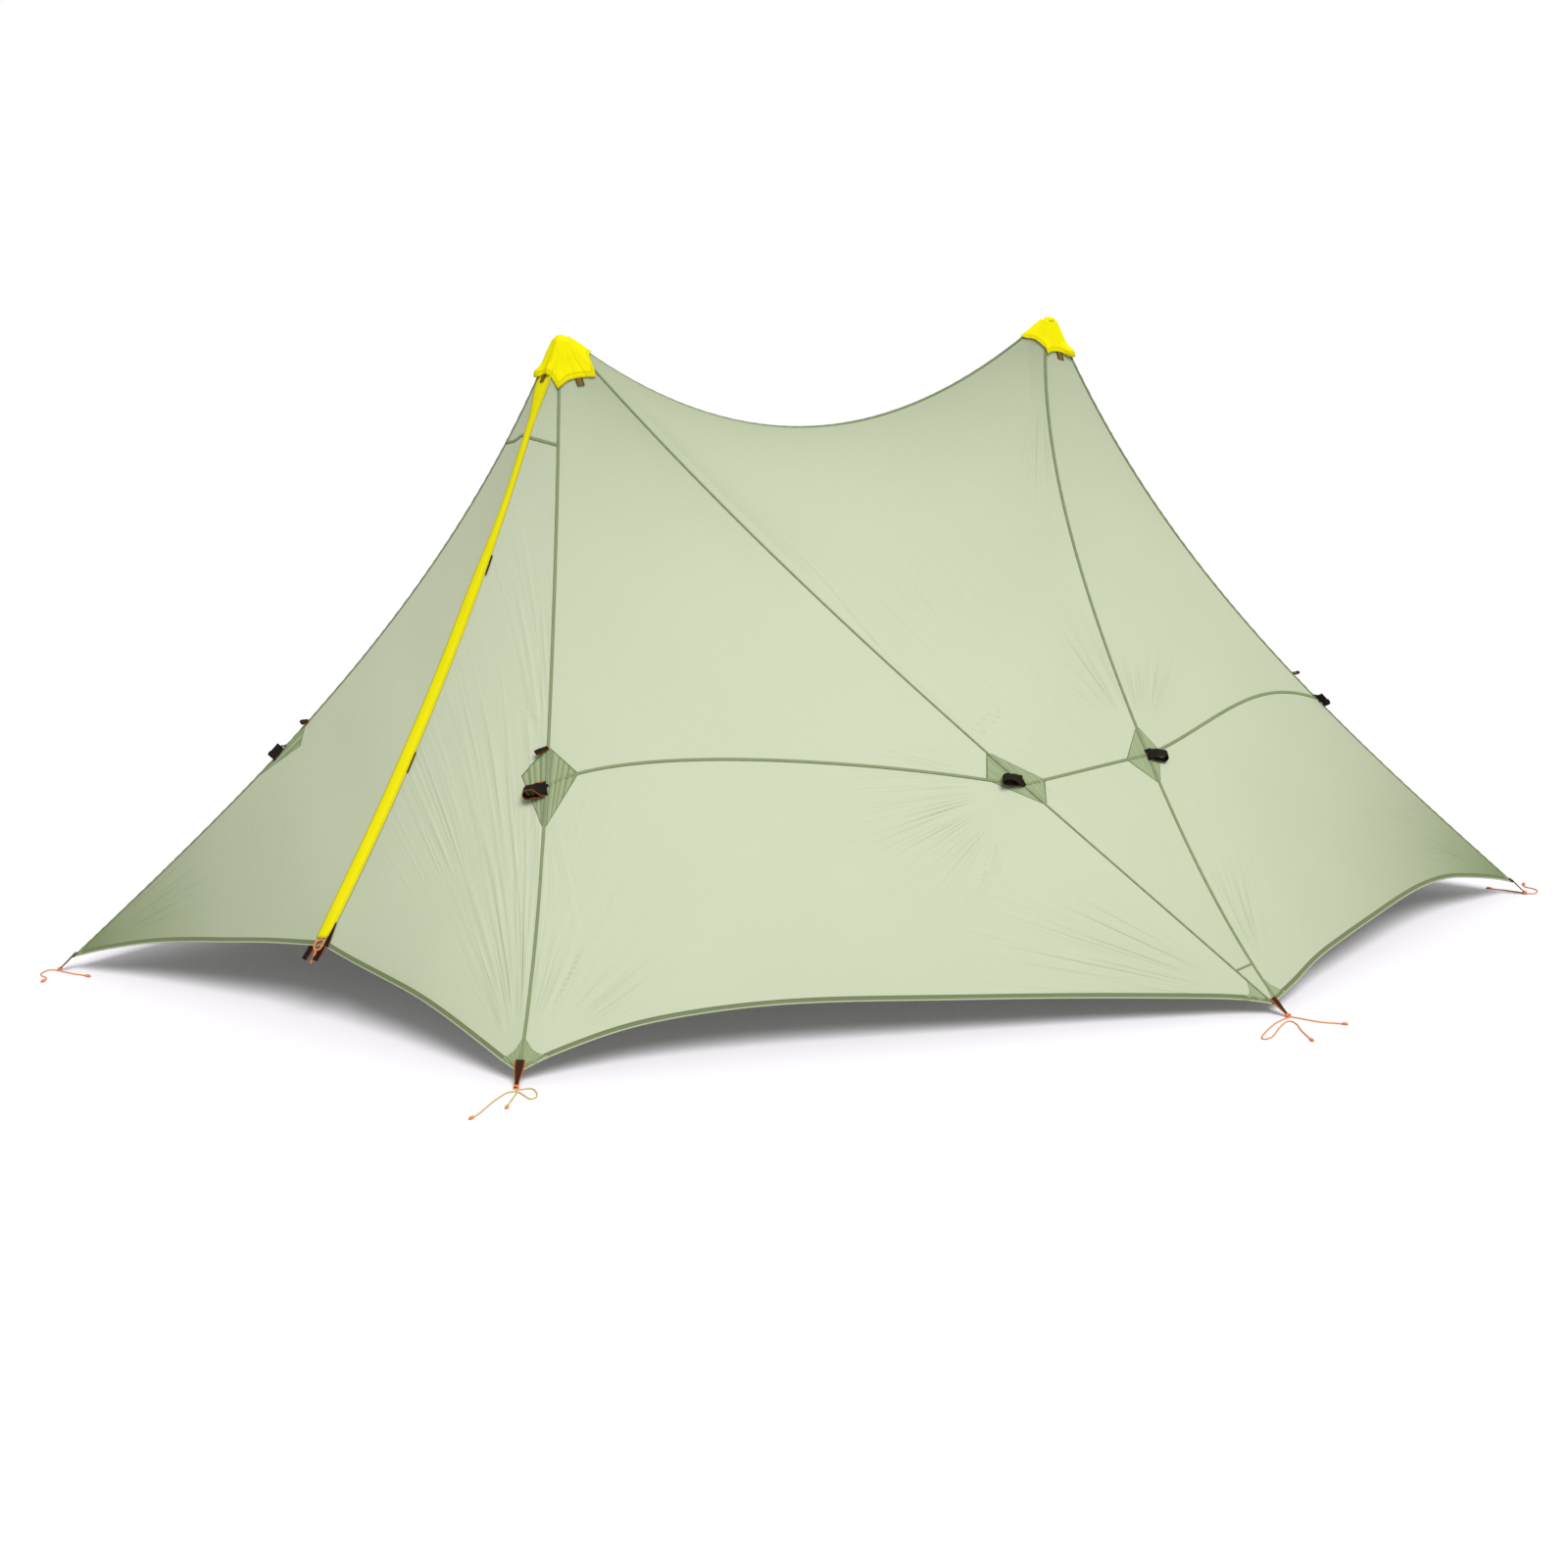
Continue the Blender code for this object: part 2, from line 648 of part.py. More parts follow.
def cap_solid():
    base = cap_grid()
    rows, count = base.shape[:2]
    wrapped = np.concatenate([base[:, -1:], base, base[:, :1]], axis=1)
    across = wrapped[:, 2:] - wrapped[:, :-2]
    down = np.gradient(base, axis=0)
    normals = unit(np.cross(across, down))
    if (normals * (base - LEFT_PEAK) * [1, 1, 0]).sum() < 0:
        normals = -normals
    side_a = unit(np.cross(wrapped[:, 1:-1] - wrapped[:, :-2], down))
    side_b = unit(np.cross(wrapped[:, 2:] - wrapped[:, 1:-1], down))
    spread = np.abs((side_a * side_b).sum(-1, keepdims=True)).clip(0, 1)
    normals = normals / np.sqrt((1 + spread) / 2).clip(0.6, 1)
    inner = base + normals * CAP_GAP
    outer = base + normals * (CAP_GAP + CAP_WALL)
    centre = LEFT_PEAK * [1, 1, 0]
    rim_out, rim_in = [], []
    for j in range(count):
        way = unit((base[0, j] - LEFT_PEAK) * [1, 1, 0])
        rim_out.append(centre + way * (PEAK_RADIUS + CAP_WALL) + [0, 0, PEAK_Z])
        rim_in.append(centre + way * PEAK_RADIUS + [0, 0, PEAK_Z - CAP_WALL])
    outer = np.concatenate([[rim_out], outer])
    inner = np.concatenate([[rim_in], inner])
    rows += 1
    points = [centre + [0, 0, PEAK_Z], centre + [0, 0, PEAK_Z - CAP_WALL]]
    points += list(outer.reshape(-1, 3)) + list(inner.reshape(-1, 3))
    first_out, first_in = 2, 2 + rows * count
    faces = []
    for j in range(count):
        k = (j + 1) % count
        faces.append((0, first_out + j, first_out + k))
        faces.append((1, first_in + k, first_in + j))
        for i in range(rows - 1):
            a, b = first_out + i * count, first_out + (i + 1) * count
            faces += [(a + j, b + j, b + k), (a + j, b + k, a + k)]
            a, b = first_in + i * count, first_in + (i + 1) * count
            faces += [(a + j, b + k, b + j), (a + j, a + k, b + k)]
        a, b = first_out + (rows - 1) * count, first_in + (rows - 1) * count
        faces += [(a + k, a + j, b + j), (a + k, b + j, b + k)]
    return points, faces


# Solids of revolution, boxes and swept bands

def lathe(profile, place, segments=24):
    """Body turned about the vertical line through place from a closed (radius, height) outline."""
    points, faces, rings = [], [], []
    for radius, height in profile:
        if radius < 1e-6:
            rings.append([len(points)] * segments)
            points.append((place[0], place[1], height))
            continue
        rings.append([len(points) + k for k in range(segments)])
        for k in range(segments):
            turn = 2 * math.pi * k / segments
            points.append((place[0] + radius * math.cos(turn), place[1] + radius * math.sin(turn), height))
    for one, two in zip(rings, rings[1:] + rings[:1]):
        if one[0] == one[1] and two[0] == two[1]:
            continue
        for k in range(segments):
            m = (k + 1) % segments
            loop = [one[k], one[m], two[m], two[k]]
            faces.append([p for n, p in enumerate(loop) if p not in loop[:n]])
    return points, faces


def oriented_box(centre, axes, sides):
    points = []
    for sx in (-0.5, 0.5):
        for sy in (-0.5, 0.5):
            for sz in (-0.5, 0.5):
                points.append(centre + axes[0] * sx * sides[0] + axes[1] * sy * sides[1] + axes[2] * sz * sides[2])
    faces = [(0, 1, 3, 2), (4, 6, 7, 5), (0, 4, 5, 1), (2, 3, 7, 6), (0, 2, 6, 4), (1, 5, 7, 3)]
    return points, faces


def prism(outline, axis, length):
    """Body between an outline and the same outline moved along the axis."""
    outline = np.asarray(outline)
    count = len(outline)
    points = list(outline - axis * length / 2) + list(outline + axis * length / 2)
    faces = [tuple(range(count - 1, -1, -1)), tuple(range(count, 2 * count))]
    for k in range(count):
        m = (k + 1) % count
        faces.append((k, m, m + count, k + count))
    return points, faces


def ribbon(path, wide, width, thick):
    """Flat band that follows a path, its width along one direction."""
    path = np.asarray(path, float)
    wide = unit(wide)
    points, faces = [], []
    for k in range(len(path)):
        ahead = path[min(k + 1, len(path) - 1)] - path[max(k - 1, 0)]
        lift = unit(np.cross(wide, ahead))
        stretch = 1.0
        if 0 < k < len(path) - 1:
            stretch = 1 / max(abs(lift @ unit(np.cross(wide, path[k + 1] - path[k]))), 0.5)
        for across, up in ((-1, -1), (1, -1), (1, 1), (-1, 1)):
            points.append(path[k] + wide * across * width / 2 + lift * up * thick / 2 * stretch)
    last = len(path) - 1
    faces.append((3, 2, 1, 0))
    faces.append(tuple(4 * last + k for k in range(4)))
    for k in range(last):
        for m in range(4):
            n = (m + 1) % 4
            faces.append((4 * k + m, 4 * k + n, 4 * (k + 1) + n, 4 * (k + 1) + m))
    return points, faces


def band_loop(root, reach, through, length, gap, band, width):
    """Teardrop loop of webbing: two legs from the root that open round a bulb at the far end."""
    side = unit(np.cross(through, reach))
    radius = gap / 2
    outer, inner = [], []
    bulb = length - radius - band
    outer.append((0.0, -band * 1.2))
    inner.append((length * 0.24, -0.0009))
    for k in range(9):
        turn = math.radians(-100 + 200 * k / 8)
        outer.append((bulb + (radius + band) * math.cos(turn), (radius + band) * math.sin(turn)))
        inner.append((bulb + radius * math.cos(turn), radius * math.sin(turn)))
    outer.append((0.0, band * 1.2))
    inner.append((length * 0.24, 0.0009))
    place = lambda p: root + reach * p[0] + side * p[1]
    half = through * width / 2
    count = len(outer)
    points = [place(p) - half for p in outer] + [place(p) + half for p in outer]
    points += [place(p) - half for p in inner] + [place(p) + half for p in inner]
    faces = []
    for k in range(count):
        m = (k + 1) % count
        a, b = k, m
        faces.append((a, b, b + count, a + count))
        c, d = k + 2 * count, m + 2 * count
        faces.append((c, c + count, d + count, d))
        faces.append((a, c, d, b))
        faces.append((a + count, b + count, d + count, c + count))
    return points, faces


def hull(name, points, finish, turned=False):
    work = bmesh.new()
    for p in np.asarray(points, float) @ (HALF_TURN if turned else np.eye(3)):
        work.verts.new(tuple(p))
    made = bmesh.ops.convex_hull(work, input=work.verts)
    extra = [v for v in made["geom_interior"] if isinstance(v, bmesh.types.BMVert)]
    bmesh.ops.delete(work, geom=extra, context="VERTS")
    bmesh.ops.recalc_face_normals(work, faces=work.faces)
    mesh = bpy.data.meshes.new(name)
    work.to_mesh(mesh)
    work.free()
    obj = bpy.data.objects.new(name, mesh)
    bpy.context.scene.collection.objects.link(obj)
    mesh.materials.append(material(*finish))
    obj.hide_render = True
    obj.display_type = "WIRE"
    return obj


def tie_out(name, seam, normal, reach, through, turned):
    """Webbing loop sewn on a seam: a wedge that sits on the fabric, and the loop that stands off it."""
    node = seam[TIE_ROW]
    along = unit(seam[TIE_ROW + 1] - seam[TIE_ROW - 1])
    normal = unit(normal)
    across = unit(np.cross(normal, along))
    root = node + normal * 0.0080
    points, faces = band_loop(root, unit(reach), unit(through), LOOP_LENGTH, LOOP_GAP, LOOP_BAND, LOOP_WIDTH)
    loop = build_half(name, points, faces, WEB_BLACK, turned, smooth=False)
    low = node + normal * (GAP + 0.0003)
    side = unit(np.cross(unit(through), unit(reach)))
    corners = [low + along * a * 0.008 + across * b * 0.0045 for a in (-1, 1) for b in (-1, 1)]
    corners += [low + normal * 0.001 + along * a * 0.008 + across * b * 0.0045 for a in (-1, 1) for b in (-1, 1)]
    corners += [
        root + unit(reach) * 0.004 + unit(through) * a * LOOP_WIDTH * 0.46 + side * b * LOOP_BAND * 1.1
        for a in (-1, 1) for b in (-1, 1)
    ]
    wedge = hull(f"{name}_seat_{2 if turned else 1}", corners, WEB_BLACK, turned)
    boolean(loop, wedge, "UNION")
    return loop


def cord(name, points, finish, turned):
    """Round cord through the route's points."""
    curve = bpy.data.curves.new(f"{name}_{2 if turned else 1}", "CURVE")
    curve.dimensions = "3D"
    curve.bevel_depth = CORD_R
    curve.bevel_resolution = 1
    curve.use_fill_caps = True
    spline = curve.splines.new("POLY")
    placed = [half_point(p, turned) for p in points]
    spline.points.add(len(placed) - 1)
    for target, p in zip(spline.points, placed):
        target.co = (*p, 1.0)
    obj = bpy.data.objects.new(curve.name, curve)
    bpy.context.scene.collection.objects.link(obj)
    curve.materials.append(material(*finish))
    return obj


def smooth_route(points, step=0.0055):
    """Catmull-Rom through the route's points, resampled at even steps."""
    points = [np.asarray(p, float) for p in points]
    padded = [2 * points[0] - points[1], *points, 2 * points[-1] - points[-2]]
    dense = []
    for a, b, c, d in zip(padded, padded[1:], padded[2:], padded[3:]):
        for k in range(12):
            t = k / 12
            dense.append(
                0.5 * (2 * b + (c - a) * t + (2 * a - 5 * b + 4 * c - d) * t * t + (3 * b - a - 3 * c + d) * t ** 3)
            )
    dense.append(points[-1])
    dense = np.array(dense)
    reach = np.concatenate([[0], np.cumsum(np.linalg.norm(np.diff(dense, axis=0), axis=1))])
    count = max(int(round(reach[-1] / step)), 4)
    marks = np.linspace(0, reach[-1], count + 1)
    return np.stack([np.interp(marks, reach, dense[:, k]) for k in range(3)], axis=1)


# Routes of the corner cords on the floor in millimetres from each strap's end: out, round a loop, back, tail
CORD_ROUTES = {
    "end": [(-12, 5), (-20, 4), (-28, -4), (-33, -15), (-29, -28), (-22, -38), (-22, -48), (-27, -57)],
    "front": [(9, -7), (21, -6), (29, -13), (31, -33), (27, -48), (17, -53), (9, -34), (3, -18), (-7, -13),
              (-20, -17), (-47, -50), (-71, -87), (-89, -108)],
    "side": [(-15, -10), (-44, -31), (-84, -74), (-90, -92), (-70, -84), (-42, -50), (-17, -24), (-6, -24),
             (-3, -42), (-8, -70), (-11, -119)],
}


def strap_path(top, foot, clear):
    """Centre line of a corner strap: down from the fabric tip, then flat on the floor to the anchor point."""
    way = unit((foot - top) * [1, 1, 0])
    bend = foot - way * FOOT_LENGTH + [0, 0, STRAP_T / 2]
    start = top + unit(bend - top) * clear
    ease = bend + unit(start - bend) * 0.004
    settle = bend + way * 0.003
    return [start, ease, settle, foot + [0, 0, STRAP_T / 2]], way


# The two halves

for turned in (False, True):
    side = 2 if turned else 1
    upper = range(TIE_ROW)
    lower = range(TIE_ROW, ROWS - 1)
    for face, grid in (("front", front_grid), ("roof", roof_grid), ("end", end_grid)):
        columns = range(grid.shape[1] - 1)
        panel(f"panel_{face}_upper", face, grid, quads_of(upper, columns), turned)
        panel(f"panel_{face}_lower", face, grid, quads_of(lower, columns), turned)

    arc = 2
    frame_quads = quads_of(range(arc), range(8)) + quads_of(range(arc, ROWS - 1), (0, 7))
    panel("door_surround", "door", door_grid, frame_quads, turned)
    left_half = panel(
        "door_left", "door", door_grid, quads_of(range(arc, ROWS - 1), (1, 2, 3)), turned, deepen=zip_bead
    )
    right_half = panel("door_right", "door", door_grid, quads_of(range(arc, ROWS - 1), (4, 5, 6)), turned)
    set_origin(left_half, half_point(AXIS_LEFT[0], turned))
    set_origin(right_half, half_point(AXIS_RIGHT[0], turned))

    normals = NORMALS["door"]
    flap_low = door_grid + normals * GAP
    flap_high = door_grid + normals * (GAP + FLAP_WALL)
    points, faces = sheet_solid(flap_high, flap_low, quads_of(range(arc, ROWS - 1), (3,)), inset=0.0010)
    flap = build_half("storm_flap", points, faces, CAP_YELLOW, turned, smooth=True)
    set_origin(flap, half_point(AXIS_LEFT[0], turned))

    points, faces = cap_solid()
    cap = build_half("peak_cap", points, faces, CAP_YELLOW, turned, smooth=True)
    top_edge = []
    for i in range(arc + 1):
        middle = door_grid[i, 4]
        leftward = unit(door_grid[i, 3] - middle) * FLAP_TOP_WIDTH
        top_edge.append((middle, middle + leftward))
    strip = []
    start = top_edge[0][0] + 0.20 * (top_edge[1][0] - top_edge[0][0])
    start_left = start + unit(top_edge[1][1] - top_edge[1][0]) * FLAP_TOP_WIDTH
    stations = [(start, start_left), top_edge[1], top_edge[2]]
    for k, (a, b) in enumerate(stations):
        lift = normals[min(k, 2), 4]
        pull = unit(stations[1][0] - stations[2][0]) * (0.0012 if k == 2 else 0.0)
        strip += [a + pull + lift * (GAP + 0.0004), b + pull + lift * (GAP + 0.0004)]
        strip += [b + pull + lift * (GAP + 0.0020), a + pull + lift * (GAP + 0.0020)]
    strip_faces = [(0, 1, 2, 3), (8, 9, 10, 11)]
    for k in range(2):
        for m in range(4):
            n = (m + 1) % 4
            strip_faces.append((4 * k + m, 4 * k + n, 4 * k + 4 + n, 4 * k + 4 + m))
    flap_top = build_half("cap_flap", strip, strip_faces, CAP_YELLOW, turned, helper=True)
    boolean(cap, flap_top, "UNION")

    # Zip slider and pull under the flap at the foot of the parting line
    slider_s = part_length - 0.016
    on_arc = part_point(slider_s)
    out = unit(arc_centre - on_arc)
    down = unit(np.cross(out, part_right))
    if down @ part_down < 0:
        down = -down
    below = next(k for k, s in enumerate(part_s) if s > slider_s)
    share = (slider_s - part_s[below - 1]) / (part_s[below] - part_s[below - 1])
    middle, edge = (door_grid[below - 1, j] * (1 - share) + door_grid[below, j] * share for j in (4, 3))
    cloth_at = middle + unit(edge - middle) * SLIDER_INSET
    depth = (cloth_at - on_arc) @ out
    seat = on_arc - out * (2 * CLOTH + SLIDER_CLEAR - depth) - part_right * SLIDER_INSET
    axes = (down, part_right, out)
    points, faces = oriented_box(seat, axes, (0.013, 0.0085, 0.0040))
    slider = build_half("zip_slider", points, faces, PLASTIC_BLACK, turned)
    bevel = slider.modifiers.new("Edges", "BEVEL")
    bevel.width = 0.0012
    bevel.segments = 2
    bridge_centre = seat - out * 0.0034 + down * 0.0015
    points, faces = oriented_box(bridge_centre, axes, (0.0022, 0.0060, 0.0036))
    bridge = build_half("slider_bridge", points, faces, PLASTIC_BLACK, turned, helper=True)
    boolean(slider, bridge, "UNION")
    set_origin(slider, half_point(arc_centre, turned))
    pull_axis = seat - out * 0.0034 + down * 0.0045
    pull_root = pull_axis
    points, faces = band_loop(pull_root, down, out, 0.030, 0.0038, 0.0018, 0.0020)
    pull = build_half("zip_pull", points, faces, CORD_ORANGE, turned)
    points, faces = oriented_box(pull_root + down * 0.0365, axes, (0.0160, 0.0026, 0.0019))
    tail = build_half("pull_tail", points, faces, CORD_ORANGE, turned, helper=True)
    boolean(pull, tail, "UNION")
    set_origin(pull, half_point(pull_axis, turned))

    # Webbing tabs at the foot of the door
    for name, column, share, origin in (
        ("door_tab_left", 3, -0.036, AXIS_LEFT[0]), ("door_tab_right", 4, 0.070, AXIS_RIGHT[0]),
    ):
        other = column + (1 if share > 0 else -1)
        hem_at, above_at = (
            door_grid[row, column] + abs(share) * (door_grid[row, other] - door_grid[row, column]) for row in (-1, -2)
        )
        along = unit(hem_at - above_at)
        across = unit(door_grid[-1, other] - door_grid[-1, column])
        lift = unit(np.cross(along, across))
        if lift @ door_plane.n < 0:
            lift = -lift
        middle = hem_at - lift * (CLOTH + 0.0009 + GAP)
        path = [middle - along * 0.016, middle, middle + along * 0.030]
        points, faces = ribbon(path, np.cross(lift, along), 0.0115, 0.0018)
        tab = build_half(name, points, faces, WEB_BLACK, turned)
        set_origin(tab, half_point(origin, turned))

    # Trekking pole
    pole = LEFT_PEAK
    grip_outline = [
        (0.0, 0.0), (0.0105, 0.0), (0.0150, 0.003), (GRIP_R, 0.010), (GRIP_R * 0.86, 0.030),
        (GRIP_R * 0.92, 0.070), (GRIP_R * 0.84, 0.110), (GRIP_R * 0.90, 0.140), (0.0125, GRIP_TOP),
        (POLE_UPPER_R + 0.0003, GRIP_TOP), (POLE_UPPER_R + 0.0003, 0.030), (0.0, 0.030),
    ]
    points, faces = lathe(grip_outline, pole)
    grip = build_half("pole_grip", points, faces, FOAM_BLACK, turned, smooth=True)
    collar_low = TUBE_TOP - COLLAR_H
    tube_outline = [
        (POLE_BORE_R, 0.0305), (POLE_UPPER_R, 0.0305), (POLE_UPPER_R, collar_low), (COLLAR_R, collar_low + 0.002),
        (COLLAR_R, TUBE_TOP - 0.002), (COLLAR_R - 0.002, TUBE_TOP), (POLE_BORE_R, TUBE_TOP),
    ]
    points, faces = lathe(tube_outline, pole)
    tube = build_half("pole_grip_tube", points, faces, ALUMINIUM, turned, smooth=True)
    lock_z = TUBE_TOP - COLLAR_H / 2
    pin_at = np.array([pole[0] + COLLAR_R + 0.0042, pole[1], lock_z])
    world = (np.array([1.0, 0, 0]), np.array([0, 1.0, 0]), np.array([0, 0, 1.0]))
    for k, dz in enumerate((-0.0095, 0.0095)):
        points, faces = oriented_box(pin_at + [-0.0030, 0, dz], world, (0.0110, 0.0060, 0.0035))
        ear = build_half(f"lock_ear{k}", points, faces, ALUMINIUM, turned, helper=True)
        boolean(tube, ear, "UNION")
    points, faces = lathe([(0, -0.0085), (0.0011, -0.0085), (0.0011, 0.0085), (0, 0.0085)], pin_at, 12)
    points = [(x, y, z + lock_z) for x, y, z in points]
    pin = build_half("lock_pin", points, faces, ALUMINIUM, turned, helper=True)
    boolean(tube, pin, "UNION")
    lever_outline = []
    inside, outside = COLLAR_R + 0.0006, COLLAR_R + 0.0031
    turns = [math.radians(16 + 114 * k / 12) for k in range(13)]
    middle_xy = np.array([pole[0], pole[1], lock_z])
    for turn in turns:
        lever_outline.append(middle_xy + [outside * math.cos(turn), outside * math.sin(turn), 0])
    for turn in reversed(turns):
        lever_outline.append(middle_xy + [inside * math.cos(turn), inside * math.sin(turn), 0])
    points, faces = prism(lever_outline, world[2], 0.0140)
    lever = build_half("pole_lock_lever", points, faces, PLASTIC_BLACK, turned)
    points, faces = lathe([(0, -0.0070), (0.0030, -0.0070), (0.0030, 0.0070), (0, 0.0070)], pin_at, 16)
    points = [(x, y, z + lock_z) for x, y, z in points]
    barrel = build_half("lever_barrel", points, faces, PLASTIC_BLACK, turned, helper=True)
    boolean(lever, barrel, "UNION")
    arm = [pin_at + [-0.0010, 0.0000, 0], pin_at + [0.0020, 0.0000, 0]]
    arm += [middle_xy + [(outside - 0.0004) * math.cos(turns[1]), (outside - 0.0004) * math.sin(turns[1]), 0]]
    arm += [middle_xy + [(inside + 0.0003) * math.cos(turns[1]), (inside + 0.0003) * math.sin(turns[1]), 0]]
    points, faces = prism(arm, world[2], 0.0138)
    link = build_half("lever_link", points, faces, PLASTIC_BLACK, turned, helper=True)
    boolean(lever, link, "UNION")
    points, faces = lathe([(0, -0.02), (0.0015, -0.02), (0.0015, 0.02), (0, 0.02)], pin_at, 12)
    points = [(x, y, z + lock_z) for x, y, z in points]
    bore = build_half("lever_bore", points, faces, PLASTIC_BLACK, turned, helper=True)
    boolean(lever, bore, "DIFFERENCE")
    set_origin(lever, half_point(pin_at, turned))
    tip_outline = [
        (0.0, TIP_TUBE_FOOT), (POLE_LOWER_R, TIP_TUBE_FOOT), (POLE_LOWER_R, PEAK_Z - 0.130),
        (POLE_LOWER_R * 0.9, PEAK_Z - 0.125), (POLE_LOWER_R * 0.62, PEAK_Z - 0.060), (POLE_TIP_R, PEAK_Z - 0.036),
        (POLE_TIP_R, PEAK_Z - CAP_WALL - 0.0004), (0.0, PEAK_Z - CAP_WALL - 0.0004),
    ]
    points, faces = lathe(tip_outline, pole)
    build_half("pole_tip_tube", points, faces, ALUMINIUM, turned, smooth=True)

    # Corner straps and their cords
    side_top = (SEAM_LONG[-1] + SEAM_SIDE[-1]) / 2
    corners = (
        ("end", SEAM_END[-1], FOOT_END, 0.0008),
        ("front", SEAM_FRONT[-1], FOOT_FRONT, 0.0008),
        ("side", side_top, FOOT_SIDE, 0.0022),
    )
    for key, top, foot, clear in corners:
        path, way = strap_path(top, foot, clear)
        points, faces = ribbon(path, np.cross(way, [0, 0, 1.0]), STRAP_W, STRAP_T)
        build_half(f"strap_{key}", points, faces, WEB_BROWN, turned)
        level = np.array([0, 0, CORD_R + 0.0001])
        route = [foot + way * reach + level for reach in (0.0004, 0.0040)]
        route += [foot + [x / 1000, y / 1000, 0] + level for x, y in CORD_ROUTES[key]]
        cord(f"cord_{key}", smooth_route(route), CORD_WHITE, turned)

    # Guy-line loops on the seams
    z_axis = np.array([0, 0, 1.0])
    door_n, front_n, roof_n, end_n = (NORMALS[k] for k in ("door", "front", "roof", "end"))
    tie_out(
        "tie_out_end", SEAM_END, door_n[TIE_ROW, 0] + end_n[TIE_ROW, -1] @ HALF_TURN,
        [-0.85, 0, -0.50], [0, 1.0, 0], turned,
    )
    tie_out(
        "tie_out_front", SEAM_FRONT, door_n[TIE_ROW, -1] + front_n[TIE_ROW, 0], [-0.961, 0.277, 0], z_axis, turned
    )
    tie_out(
        "tie_out_long", SEAM_LONG, front_n[TIE_ROW, -1] + roof_n[TIE_ROW, 0], [-0.94, -0.34, 0], z_axis, turned
    )
    tie_out(
        "tie_out_side", SEAM_SIDE, roof_n[TIE_ROW, -1] + end_n[TIE_ROW, 0], [0.985, 0.152, 0], z_axis, turned
    )

    # Loop that holds the rolled door back, on the front seam
    node = 0.35 * SEAM_FRONT[TIE_ROW - 1] + 0.65 * SEAM_FRONT[TIE_ROW]
    normal = unit(door_n[TIE_ROW, -1] + front_n[TIE_ROW, 0])
    points, faces = band_loop(node + normal * 0.0012, unit([-0.80, 0.0, 0.10] + normal * 0.9),
                              unit(np.cross([-0.80, 0.0, 0.10], normal)), 0.026, 0.0036, 0.0014, 0.0060)
    build_half("door_tie_back", points, faces, WEB_BLACK, turned)
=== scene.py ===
"""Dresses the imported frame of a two-pole ultralight tent: cloth, seams, caps, zips, webbing, cords and poles."""

import json
import logging
import math
import operator
from collections.abc import Iterable
from dataclasses import dataclass, field
from enum import Enum
from functools import partialmethod, reduce

import bmesh
import bpy
import numpy as np
from mathutils import Matrix, Vector
from mathutils.bvhtree import BVHTree

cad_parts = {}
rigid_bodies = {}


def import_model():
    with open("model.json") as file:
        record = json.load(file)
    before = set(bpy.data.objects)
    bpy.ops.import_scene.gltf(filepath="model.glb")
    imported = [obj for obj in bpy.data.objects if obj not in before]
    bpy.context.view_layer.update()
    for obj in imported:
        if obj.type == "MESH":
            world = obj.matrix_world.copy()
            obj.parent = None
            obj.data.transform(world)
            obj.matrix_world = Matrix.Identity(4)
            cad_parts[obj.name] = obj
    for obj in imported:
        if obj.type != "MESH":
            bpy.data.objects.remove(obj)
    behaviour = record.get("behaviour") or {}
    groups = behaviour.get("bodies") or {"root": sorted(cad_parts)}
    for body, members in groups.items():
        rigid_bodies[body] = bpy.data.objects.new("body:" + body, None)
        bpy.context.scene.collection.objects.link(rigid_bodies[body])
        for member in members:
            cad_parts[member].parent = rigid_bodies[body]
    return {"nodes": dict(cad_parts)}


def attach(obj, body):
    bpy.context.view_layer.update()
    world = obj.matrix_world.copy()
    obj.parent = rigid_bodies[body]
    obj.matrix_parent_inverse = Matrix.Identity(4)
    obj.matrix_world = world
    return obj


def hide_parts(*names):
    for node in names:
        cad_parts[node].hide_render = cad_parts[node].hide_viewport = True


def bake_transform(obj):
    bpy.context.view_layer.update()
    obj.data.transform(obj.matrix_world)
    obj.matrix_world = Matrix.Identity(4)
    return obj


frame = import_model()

Array = np.ndarray
Piece = bpy.types.Object
Socket = bpy.types.NodeSocket
Material = bpy.types.Material
Pair = tuple[float, float]
Triple = tuple[float, float, float]
Curve = tuple[Pair, ...]
LOG = logging.getLogger("tent")
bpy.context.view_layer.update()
HALF_TURN = np.diag([-1.0, -1.0, 1.0])
UP = np.array([0.0, 0.0, 1.0])
MM = 0.001
# Where the seams start on the ring at the pole's tip, in degrees
TURNS = {"end": 172, "front": -110, "long": -45, "side": -135, "part": -150}


# Small helpers

def unit(v: Array) -> Array:
    """Vector or vectors of length one."""
    v = np.asarray(v, float)
    return v / np.maximum(np.linalg.norm(v, axis=-1, keepdims=True), 1e-12)


def ease(x: Array) -> Array:
    """Smooth step from 0 to 1."""
    x = np.clip(x, 0.0, 1.0)
    return x * x * (3 - 2 * x)


def reach_along(points: Array) -> Array:
    """Distance along a polyline at each of its points."""
    return np.concatenate([[0.0], np.cumsum(np.linalg.norm(np.diff(points, axis=0), axis=1))])


def resample(marks: Array, reach: Array, values: Array) -> Array:
    """Rows of values read at new distances along a line."""
    return np.stack([np.interp(marks, reach, values[:, k]) for k in range(values.shape[1])], axis=1)


def square_to(way: Array, along: Array) -> Array:
    """Directions with their share along a line taken out."""
    return unit(way - (way * along).sum(-1, keepdims=True) * along)


def chart_of(down: Array, across: Array) -> Array:
    """Chart of a grid from a value for each row and one for each column."""
    return np.stack(np.broadcast_arrays(down[:, None], across[None]), axis=-1)


def mirrored(side: Curve) -> list[Pair]:
    """Outline of a loop from one of its two matching sides."""
    return [*side, *((x, -y) for x, y in reversed(side[:-1]))]


